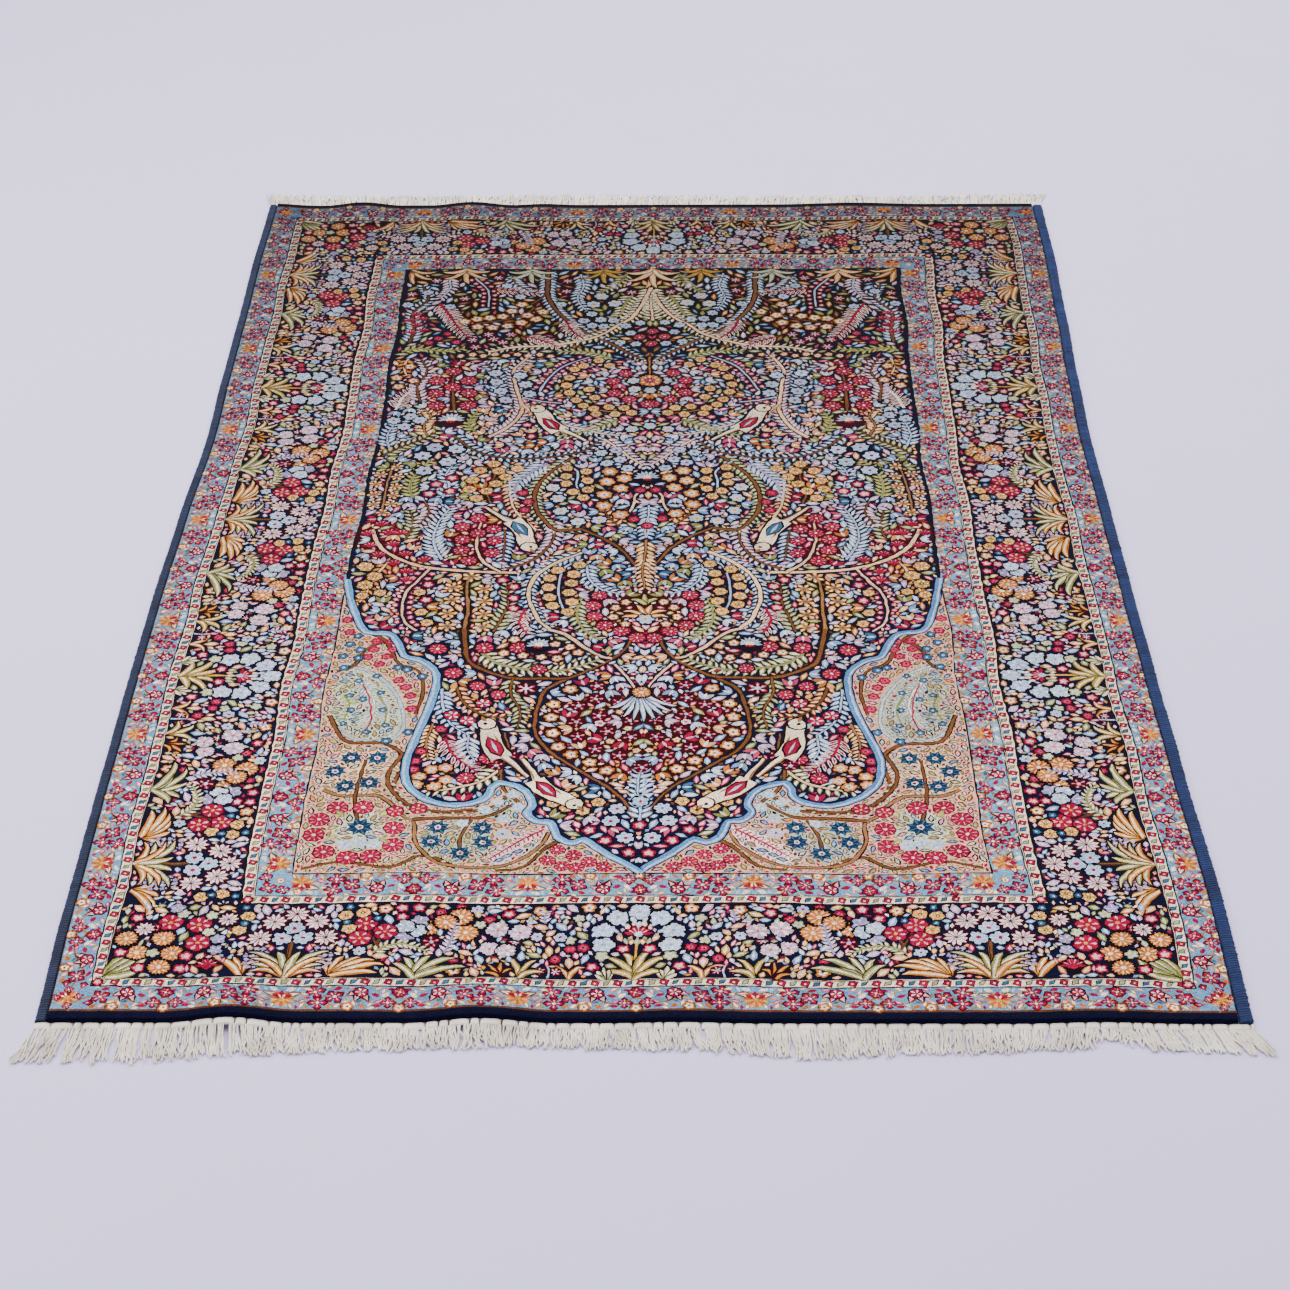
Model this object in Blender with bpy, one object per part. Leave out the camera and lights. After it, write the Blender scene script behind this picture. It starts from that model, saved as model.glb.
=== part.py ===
"""A hand-knotted floral rug, lying on a floor.

Metres, +Z up. The floor is Z = 0 and the origin is on it, under the middle of the rug.
+Y runs along the rug, away from its near end, and +X runs to the right.

The rug is one knotted carpet of wool pile, an overcast side cord along each of its
long sides, and at each end a strip of warps that ends in a fringe of cotton locks.
"""

import math
import random
from collections import namedtuple

import bmesh
import bpy
from mathutils import Vector

# Driving sizes of the carpet, in metres
HALF_WIDTH = 0.680  # over the side cords, before the sides wander
HALF_LENGTH = 1.100  # over the knotted pile
THICKNESS = 0.009  # foundation and pile together
PILE_SHOULDER = 0.0025  # the clipped pile rounds off at its rim
GAP = 0.0003  # between neighbouring pieces

# Side cords: warps overcast with navy wool
LEFT_CORD_WIDTH = 0.0135
RIGHT_CORD_WIDTH = 0.0175
CORD_HEIGHT = 0.0075
CORD_ROUNDING = 0.0024

# Warp strips and fringe
STRIP_DEPTH = 0.009
STRIP_HEIGHT = 0.0040
LOCKS_PER_END = 120
LOCK_SHARE = 0.62  # of its pitch that a lock's root is wide
TIP_SHARE = 0.62  # of its root's width that a lock's tip is wide
LOCK_RIDGE_SHARE = 0.7  # of a lock's width that its upper face is wide
LOCK_HEIGHTS = (0.0032, 0.0020)  # halfway along a lock and at its tip
LENGTH_SPREAD = 0.0045  # most that a lock is longer or shorter than its neighbours
SWAY_SPREAD = 0.0008  # most that a tip stands off its even place
FRINGE_SEED = 7

# Mesh steps
COLUMNS = 40
ROWS = 28

# Where the long sides stand, measured outwards from HALF_WIDTH
SideRow = namedtuple("SideRow", "y left right")
SIDE_ROWS = (
    SideRow(-1.100, -0.006, 0.009),
    SideRow(-0.900, -0.001, 0.010),
    SideRow(-0.600, 0.002, 0.002),
    SideRow(-0.400, 0.004, -0.002),
    SideRow(-0.200, 0.004, -0.005),
    SideRow(0.000, 0.001, -0.007),
    SideRow(0.250, -0.006, -0.010),
    SideRow(0.450, -0.002, -0.006),
    SideRow(0.650, 0.000, 0.000),
    SideRow(0.900, 0.004, 0.006),
    SideRow(1.100, 0.002, 0.006),
)

# Ripples that lift the carpet off the floor: end is -1 at the near end and 1 at the far end
Ripple = namedtuple("Ripple", "end x height half_width reach")
RIPPLES = (
    Ripple(-1, -0.455, 0.0085, 0.075, 0.150),
    Ripple(-1, -0.175, 0.0075, 0.085, 0.130),
    Ripple(-1, 0.050, 0.0020, 0.090, 0.100),
    Ripple(-1, 0.520, 0.0025, 0.100, 0.110),
    Ripple(1, -0.690, 0.0050, 0.100, 0.160),
    Ripple(1, -0.515, 0.0065, 0.070, 0.140),
    Ripple(1, -0.322, 0.0065, 0.075, 0.150),
    Ripple(1, -0.195, 0.0022, 0.060, 0.110),
    Ripple(1, 0.350, 0.0030, 0.130, 0.140),
)

# How long the fringe is along each end, and how far its tips lean to +X
FringeRow = namedtuple("FringeRow", "x length lean")
NEAR_FRINGE = (
    FringeRow(-0.680, 0.062, -0.012),
    FringeRow(-0.560, 0.063, 0.003),
    FringeRow(-0.430, 0.048, 0.005),
    FringeRow(-0.280, 0.041, 0.002),
    FringeRow(-0.130, 0.034, 0.000),
    FringeRow(0.030, 0.040, 0.004),
    FringeRow(0.180, 0.053, 0.003),
    FringeRow(0.360, 0.046, -0.002),
    FringeRow(0.490, 0.038, -0.004),
    FringeRow(0.530, 0.020, 0.002),
    FringeRow(0.570, 0.040, 0.006),
    FringeRow(0.680, 0.046, 0.014),
)
FAR_FRINGE = (
    FringeRow(-0.680, 0.060, -0.012),
    FringeRow(-0.450, 0.050, -0.003),
    FringeRow(-0.150, 0.054, 0.002),
    FringeRow(0.200, 0.048, 0.003),
    FringeRow(0.450, 0.046, -0.002),
    FringeRow(0.680, 0.052, 0.006),
)

# Colours, as linear red, green and blue
NAVY = (0.012, 0.022, 0.085)
CREAM = (0.72, 0.66, 0.56)
FIELD = (0.16, 0.15, 0.20)


def eased(rows, key, value, at):
    """Reads one column of a table at a place between its rows, easing from row to row."""
    low = rows[0]
    for high in rows[1:]:
        start, end = getattr(low, key), getattr(high, key)
        if at <= end:
            share = min(max((at - start) / (end - start), 0.0), 1.0)
            share = share * share * (3 - 2 * share)
            return getattr(low, value) * (1 - share) + getattr(high, value) * share
        low = high
    return getattr(low, value)


def hump(offset, half_width):
    """A smooth hump, 1 in its middle and 0 from half_width outwards."""
    share = min(abs(offset) / half_width, 1.0)
    return math.cos(share * math.pi / 2) ** 2


def side_x(x, y):
    """Moves a place on the even rectangle out or in with the side that it is nearer to."""
    offset = eased(SIDE_ROWS, "y", "left" if x < 0 else "right", y)
    return x + math.copysign(offset, x) * abs(x) / HALF_WIDTH


def lift(x, y):
    """How high the ripples carry the carpet's underside off the floor."""
    height = 0.0
    for ripple in RIPPLES:
        inward = HALF_LENGTH - ripple.end * y
        height += ripple.height * hump(x - ripple.x, ripple.half_width) * hump(inward, ripple.reach)
    return height


def row_places():
    """The rows' places along Y, close together at the ends, where the ripples are."""
    return [HALF_LENGTH * math.sin(math.pi / 2 * (2 * i / ROWS - 1)) for i in range(ROWS + 1)]


def wool(name, colour, roughness):
    """A plain yarn material."""
    material = bpy.data.materials.new(name)
    material.use_nodes = True
    shader = material.node_tree.nodes["Principled BSDF"]
    shader.inputs["Base Color"].default_value = (*colour, 1.0)
    shader.inputs["Roughness"].default_value = roughness
    shader.inputs["Metallic"].default_value = 0.0
    return material


def finished(name, mesh_builder, material):
    """Turns a bmesh into a named object with its faces pointing out."""
    bmesh.ops.recalc_face_normals(mesh_builder, faces=mesh_builder.faces)
    mesh = bpy.data.meshes.new(name)
    mesh_builder.to_mesh(mesh)
    mesh_builder.free()
    mesh.materials.append(material)
    rug_piece = bpy.data.objects.new(name, mesh)
    bpy.context.scene.collection.objects.link(rug_piece)
    return rug_piece


def rippled_band(low_x, high_x, columns, height, rounding, round_underside):
    """A flat band from low_x to high_x over the rug's whole length, lying on the ripples.

    Its upper rim is rounded off, and its lower one too where round_underside says so.
    """
    builder = bmesh.new()
    rows = row_places()
    bmesh.ops.create_grid(builder, x_segments=columns, y_segments=ROWS, size=1.0)
    for vertex in builder.verts:
        share = (vertex.co.x + 1) / 2
        y = rows[round((vertex.co.y + 1) / 2 * ROWS)]
        x = side_x(low_x + (high_x - low_x) * share, y)
        vertex.co = (x, y, lift(x, y))
    under_rim = [edge for edge in builder.edges if edge.is_boundary]
    raised = bmesh.ops.extrude_face_region(builder, geom=builder.faces[:])["geom"]
    top = [item for item in raised if isinstance(item, bmesh.types.BMVert)]
    bmesh.ops.translate(builder, verts=top, vec=Vector((0, 0, height)))
    top_points = set(top)
    top_faces = {face for face in builder.faces if top_points.issuperset(face.verts)}
    rim = [edge for edge in builder.edges if len(top_faces.intersection(edge.link_faces)) == 1]
    if round_underside:
        rim += [edge for edge in under_rim if edge.is_valid]
    bmesh.ops.bevel(builder, geom=rim, offset=rounding, segments=1, affect="EDGES", clamp_overlap=True)
    return builder


def fringe(end, rows, seed):
    """One end's warp strip, with its locks grown out of the strip's outer face.

    end is -1 for the near end and 1 for the far end.
    """
    dice = random.Random(seed)
    builder = bmesh.new()
    inner_y = end * (HALF_LENGTH + GAP)
    outer_y = inner_y + end * STRIP_DEPTH
    left, right = side_x(-HALF_WIDTH, end * HALF_LENGTH), side_x(HALF_WIDTH, end * HALF_LENGTH)
    pitch = (right - left) / LOCKS_PER_END
    half_root = pitch * LOCK_SHARE / 2

    stations = [left]
    for index in range(LOCKS_PER_END):
        middle = left + pitch * (index + 0.5)
        stations += [middle - half_root, middle + half_root]
    stations.append(right)

    sections = []
    for x in stations:
        floor = lift(x, end * HALF_LENGTH)
        ceiling = floor + STRIP_HEIGHT
        corners = ((inner_y, floor), (outer_y, floor), (outer_y, ceiling), (inner_y, ceiling))
        sections.append([builder.verts.new((x, y, z)) for y, z in corners])
    builder.faces.new(sections[0])
    builder.faces.new(sections[-1])
    for index, (here, there) in enumerate(zip(sections, sections[1:])):
        has_lock = index % 2 == 1
        for corner in range(4):
            after = (corner + 1) % 4
            if has_lock and corner == 1:
                continue
            builder.faces.new((here[corner], here[after], there[after], there[corner]))
        if has_lock:
            grow_lock(builder, (here[1], there[1], there[2], here[2]), end, rows, half_root, dice)
    return builder


def grow_lock(builder, root, end, rows, half_root, dice):
    """Adds one four-sided lock to a root of four corners: two on the underside, then two above."""
    middle = (root[0].co + root[1].co) / 2
    x = middle.x
    length = eased(rows, "x", "length", x) - dice.uniform(0, LENGTH_SPREAD)
    lean = eased(rows, "x", "lean", x) + dice.uniform(-SWAY_SPREAD, SWAY_SPREAD)
    ring = list(root)
    for step, height in enumerate(LOCK_HEIGHTS, start=1):
        share = step / len(LOCK_HEIGHTS)
        half = half_root * (1 - share * (1 - TIP_SHARE))
        centre = x + lean * share ** 1.5
        y = middle.y + end * length * share
        floor = middle.z * (1 - share) ** 2
        ridge = half * LOCK_RIDGE_SHARE
        places = ((-half, 0), (half, 0), (ridge, height), (-ridge, height))
        following = [builder.verts.new((centre + dx, y, floor + dz)) for dx, dz in places]
        for corner in range(4):
            after = (corner + 1) % 4
            builder.faces.new((ring[corner], ring[after], following[after], following[corner]))
        ring = following
    builder.faces.new(ring)


def main():
    """Clears the scene and builds the rug's five pieces."""
    for item in list(bpy.data.objects):
        bpy.data.objects.remove(item, do_unlink=True)

    pile = wool("pile_wool", FIELD, 0.95)
    cord_wool = wool("cord_wool", NAVY, 0.85)
    warp_cotton = wool("warp_cotton", CREAM, 0.90)

    carpet_left = -HALF_WIDTH + LEFT_CORD_WIDTH + GAP
    carpet_right = HALF_WIDTH - RIGHT_CORD_WIDTH - GAP
    carpet = rippled_band(carpet_left, carpet_right, COLUMNS, THICKNESS, PILE_SHOULDER, False)
    finished("pile_carpet", carpet, pile)

    left_cord = rippled_band(-HALF_WIDTH, carpet_left - GAP, 1, CORD_HEIGHT, CORD_ROUNDING, True)
    finished("side_cord_left", left_cord, cord_wool)
    right_cord = rippled_band(carpet_right + GAP, HALF_WIDTH, 1, CORD_HEIGHT, CORD_ROUNDING, True)
    finished("side_cord_right", right_cord, cord_wool)

    finished("fringe_near", fringe(-1, NEAR_FRINGE, FRINGE_SEED), warp_cotton)
    finished("fringe_far", fringe(1, FAR_FRINGE, FRINGE_SEED + 1), warp_cotton)


main()
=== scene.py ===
"""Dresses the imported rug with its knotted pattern, woven back, side cords and fringes.

The pattern is drawn as a weaver's cartoon in millimetres: closed outlines in yarn colours,
painted one over the other around the middle of the rug. The loom cuts the cartoon into
faces of one yarn each, and the lie of the rug carries them onto the floor.
"""

import logging
import math
import random
from dataclasses import dataclass, field
from enum import Enum, auto
from typing import Callable, Iterable, Iterator, Sequence

import bmesh
import bpy
import numpy as np
from mathutils import Matrix, Vector
from mathutils.bvhtree import BVHTree
from mathutils.geometry import delaunay_2d_cdt


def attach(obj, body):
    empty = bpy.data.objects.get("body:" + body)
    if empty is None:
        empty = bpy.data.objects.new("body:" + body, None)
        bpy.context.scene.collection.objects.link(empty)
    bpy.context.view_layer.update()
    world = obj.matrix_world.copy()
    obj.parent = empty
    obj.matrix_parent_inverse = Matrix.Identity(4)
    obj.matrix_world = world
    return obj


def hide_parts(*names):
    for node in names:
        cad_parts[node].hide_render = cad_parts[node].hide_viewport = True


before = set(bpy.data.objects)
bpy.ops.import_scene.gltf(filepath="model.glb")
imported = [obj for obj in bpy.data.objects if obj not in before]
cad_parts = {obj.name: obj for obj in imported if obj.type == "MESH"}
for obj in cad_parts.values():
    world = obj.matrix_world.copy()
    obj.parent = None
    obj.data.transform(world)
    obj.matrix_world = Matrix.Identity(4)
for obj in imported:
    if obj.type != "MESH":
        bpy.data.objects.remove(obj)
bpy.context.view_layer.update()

MM = 0.001
RIM_CALM = 60  # millimetres over which the rug's own wander grows from its true rim
KNOT_SHAKE = 0.42  # half the most that a knot strays along either axis, in millimetres
BODY = "root"

Point = tuple[float, float]
Outline = np.ndarray  # closed outline, one row of x and y for each corner
log = logging.getLogger("rug")


# ------------------------------------------------------------------ yarns

WARMTH = np.array((0.98, 0.89, 0.90))  # how warm old dyes have grown, in red, green and blue


class Yarn(Enum):
    """The dyed yarns, each as the red, green and blue bytes that it shows in daylight."""

    NAVY = 0x0A0A28
    INK = 0x0A0512
    MAROON = 0x34040F
    CRIMSON = 0x920E34
    ROSE = 0xBC4464
    PINK = 0xE8A4AC
    BLUSH = 0xF4D8D6
    LILAC = 0xBCA8C2
    LAVENDER = 0x8C8CB4
    SKY = 0x7C9EC4
    POWDER = 0xB0C8E2
    ICE = 0xDEE4EC
    AZURE = 0x5890C4
    GUARD = 0x6C9EC2
    TEAL = 0x34607E
    PETROL = 0x122A42
    MINT = 0xC8CEB2
    SAGE = 0x9AA074
    OLIVE = 0x82843E
    LIME = 0xBEBE74
    GOLD = 0xD6983C
    AMBER = 0xB46A28
    APRICOT = 0xE29C60
    PEACH = 0xF6CCA0
    CREAM = 0xF8E6C6
    IVORY = 0xFAEEE0
    TAN = 0x94683E
    BROWN = 0x5C361E
    UMBER = 0x180A08
    BARK = 0x6E4626
    SAND = 0xDCAF92
    CELADON = 0xB4BEA6

    def linear(self) -> np.ndarray:
        """Gives the yarn's linear red, green and blue."""
        channels = np.array([self.value >> 16 & 255, self.value >> 8 & 255, self.value & 255]) / 255
        dyed = np.where(channels <= 0.04045, channels / 12.92, ((channels + 0.055) / 1.055) ** 2.4)
        return dyed * WARMTH


# ------------------------------------------------------------------ outlines

@dataclass(frozen=True)
class Place:
    """Where a motif goes: moved, turned by degrees, sized, and flipped left for right."""

    x: float = 0.0
    y: float = 0.0
    turn: float = 0.0
    size: float = 1.0
    flip: bool = False

    def carry(self, outline: Outline) -> Outline:
        """Carries an outline to this place."""
        angle = math.radians(self.turn)
        across = -self.size if self.flip else self.size
        spun = np.array([[math.cos(angle), math.sin(angle)], [-math.sin(angle), math.cos(angle)]])
        return (outline * (across, self.size)) @ spun + (self.x, self.y)


def polar(radii: Sequence[float], angles: Sequence[float]) -> Outline:
    """Makes an outline from distances and turns, 0 being up and turns running clockwise."""
    turns = np.asarray(angles, dtype=float)
    reach = np.asarray(radii, dtype=float)
    return np.column_stack((reach * np.sin(turns), reach * np.cos(turns)))


def disc(radius: float, sides: int = 5) -> Outline:
    """Makes a small round spot."""
    return polar([radius] * sides, np.arange(sides) * math.tau / sides + 0.3)


def lobed(radius: float, lobes: int, depth: float) -> Outline:
    """Makes a round flower with a scalloped edge.

    Args:
        radius: From the middle to the tip of a lobe.
        lobes: How many lobes there are.
        depth: How deep the notches are, as a share of the radius.

    Returns:
        A notch and a tip for each lobe, and a tip with two shoulders where there are few lobes.
    """
    shares = (0, 0.5) if lobes > 6 or radius < 0.6 else (0, 0.3, 0.7)
    radii = [radius * (1 - depth)] + [radius] * (len(shares) - 1)
    angles = [(lobe + share) * math.tau / lobes for lobe in range(lobes) for share in shares]
    return polar(radii * lobes, angles)


def petal(start: float, end: float, width: float, turn: float) -> Outline:
    """Makes one slim petal that points away from the middle of its flower."""
    if width < 0.24 * abs(end):
        shape = np.array([(0, start), (width / 2, end), (-width / 2, end)])
    else:
        middle = start + (end - start) * 0.66
        shape = np.array([(0, start), (width / 2, middle), (0, end), (-width / 2, middle)])
    return Place(turn=-math.degrees(turn)).carry(shape)


def sliver(length: float, width: float) -> Outline:
    """Makes the slim core of a leaf."""
    return np.array([(0, 0), (width / 2, length * 0.45), (0, length), (-width / 2, length * 0.45)])


def blade(length: float, width: float, bend: float = 0.0) -> Outline:
    """Makes a pointed leaf that stands on its stalk at the origin and points up.

    Args:
        length: From stalk to tip.
        width: Across its widest place.
        bend: How far the tip leans to the right.

    Returns:
        The leaf's outline, with seven corners.
    """
    up = np.array([0.0, 0.28, 0.62, 1.0, 0.62, 0.28])
    out = np.array([0.0, 0.42, 0.44, 0.0, -0.44, -0.42])
    return np.column_stack((out * width + bend * up ** 2, up * length))


def rectangle(low: Point, high: Point, step: float = 12.0) -> Outline:
    """Makes an upright rectangle with corners all along its sides."""
    across = np.linspace(low[0], high[0], max(int((high[0] - low[0]) / step), 1) + 1)[:-1]
    up = np.linspace(low[1], high[1], max(int((high[1] - low[1]) / step), 1) + 1)[:-1]
    sides = ((across, np.full_like(across, low[1])), (np.full_like(up, high[0]), up),
             (low[0] + high[0] - across, np.full_like(across, high[1])),
             (np.full_like(up, low[0]), low[1] + high[1] - up))
    return np.vstack([np.column_stack(side) for side in sides])


def smoothed(points: Sequence[Point], steps: int = 4) -> np.ndarray:
    """Runs a smooth curve through points.

    Args:
        points: The places that the curve passes.
        steps: How many pieces there are between two of them.

    Returns:
        The curve's points, ends included.
    """
    knots = np.asarray(points, dtype=float)
    padded = np.vstack((2 * knots[0] - knots[1], knots, 2 * knots[-1] - knots[-2]))
    share = np.linspace(0, 1, steps, endpoint=False)[:, None]
    runs = []
    for before, start, end, after in zip(padded, padded[1:], padded[2:], padded[3:]):
        runs.append(0.5 * (2 * start + (end - before) * share
                           + (2 * before - 5 * start + 4 * end - after) * share ** 2
                           + (3 * start - before - 3 * end + after) * share ** 3))
    return np.vstack((*runs, knots[-1:]))


def sideways(curve: np.ndarray) -> np.ndarray:
    """Gives the direction to the right of a curve at each of its points."""
    ahead = np.gradient(curve, axis=0)
    ahead /= np.maximum(np.linalg.norm(ahead, axis=1, keepdims=True), 1e-9)
    return np.column_stack((ahead[:, 1], -ahead[:, 0]))


def ribbon(curve: np.ndarray, start: float, end: float, shift: float = 0.0) -> Outline:
    """Makes a band along a curve.

    Args:
        curve: The band's middle line.
        start: The band's width where it starts.
        end: Its width where it ends.
        shift: How far it lies to the right of the curve, as a share of its width.

    Returns:
        The band's outline, out along its right side and back along its left.
    """
    out = sideways(curve)
    widths = np.linspace(start, end, len(curve))[:, None]
    return np.vstack((curve + out * widths * (0.5 + shift), (curve - out * widths * (0.5 - shift))[::-1]))


def frond(curve: np.ndarray, width: float, shift: float = 0.0) -> Outline:
    """Makes a curved blade along a spine: narrow at its foot, widest in the middle, pointed at its tip."""
    out = sideways(curve)
    share = np.linspace(0.16, 1, len(curve))
    widths = (width * np.sin(math.pi * share) ** 0.7)[:, None] / 2
    middle = curve + out * width * shift * (share * (1 - share))[:, None]
    return np.vstack(((middle + out * widths)[:-1], curve[-1:], (middle - out * widths)[-2::-1]))


def along(curve: np.ndarray, spacing: float) -> Iterator[tuple[float, float, float, float]]:
    """Walks a curve with even steps.

    Args:
        curve: The curve's points.
        spacing: The length of a step.

    Yields:
        The step's x and y, the curve's heading there in degrees from up, and the share of it walked.
    """
    lengths = np.r_[0, np.cumsum(np.linalg.norm(np.diff(curve, axis=0), axis=1))]
    stops = np.arange(spacing / 2, lengths[-1], spacing)
    for stop in stops:
        x = float(np.interp(stop, lengths, curve[:, 0]))
        y = float(np.interp(stop, lengths, curve[:, 1]))
        span = min(max(int(np.searchsorted(lengths, stop)) - 1, 0), len(curve) - 2)
        ahead = curve[span + 1] - curve[span]
        yield x, y, math.degrees(math.atan2(ahead[0], ahead[1])), stop / lengths[-1]


# ------------------------------------------------------------------ cartoon

class Cartoon:
    """A drawn design: closed outlines, each in one yarn, painted one over the other."""

    def __init__(self) -> None:
        """Starts with nothing drawn."""
        self.outlines: list[Outline] = []
        self.yarns: list[Yarn] = []
        self.place = Place()

    def at(self, place: Place) -> "Cartoon":
        """Says where the next outlines go, until the next call."""
        self.place = place
        return self

    def paint(self, outline: Outline, yarn: Yarn) -> None:
        """Paints an outline, over what is there already."""
        self.outlines.append(self.place.carry(outline))
        self.yarns.append(yarn)

    def stamp(self, other: "Cartoon", carry: Callable[[Outline], Outline],
              keep: Callable[[Outline], bool] | None = None) -> None:
        """Copies another cartoon into this one.

        Args:
            other: The cartoon to copy.
            carry: Carries an outline to its new place.
            keep: Tells from an outline's new middle whether it is copied.
        """
        for outline, yarn in zip(other.outlines, other.yarns):
            copy = carry(outline)
            if keep is None or keep(copy.mean(axis=0)):
                self.outlines.append(copy)
                self.yarns.append(yarn)

    def band(self, low: Point, high: Point, yarn: Yarn) -> None:
        """Paints an upright rectangle."""
        self.outlines.append(rectangle(low, high))
        self.yarns.append(yarn)


class Form(Enum):
    """The forms that the layers of a flower take."""

    LOBES = auto()
    PETALS = auto()
    SPOT = auto()


@dataclass(frozen=True)
class Layer:
    """One yarn's part of a flower, sized as shares of the flower's radius."""

    form: Form
    yarn: Yarn
    reach: float
    count: int = 5
    depth: float = 0.22
    start: float = 0.2
    width: float = 0.4
    half_step: bool = False
    spread: float = 1.0

    def draw(self, cartoon: Cartoon, radius: float) -> None:
        """Paints this layer around the cartoon's present place."""
        if self.form is Form.SPOT:
            cartoon.paint(disc(self.reach * radius), self.yarn)
        elif self.form is Form.LOBES:
            cartoon.paint(lobed(self.reach * radius, self.count, self.depth), self.yarn)
        else:
            offset = 0.5 if self.half_step else 0.0
            full = math.tau * self.spread
            for index in range(self.count):
                if self.spread < 1:
                    turn = full * ((index + 0.5) / self.count - 0.5)
                else:
                    turn = full * (index + offset) / self.count
                cartoon.paint(petal(self.start * radius, self.reach * radius, self.width * radius, turn),
                              self.yarn)


LOBES, PETALS, SPOT = Form.LOBES, Form.PETALS, Form.SPOT


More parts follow.
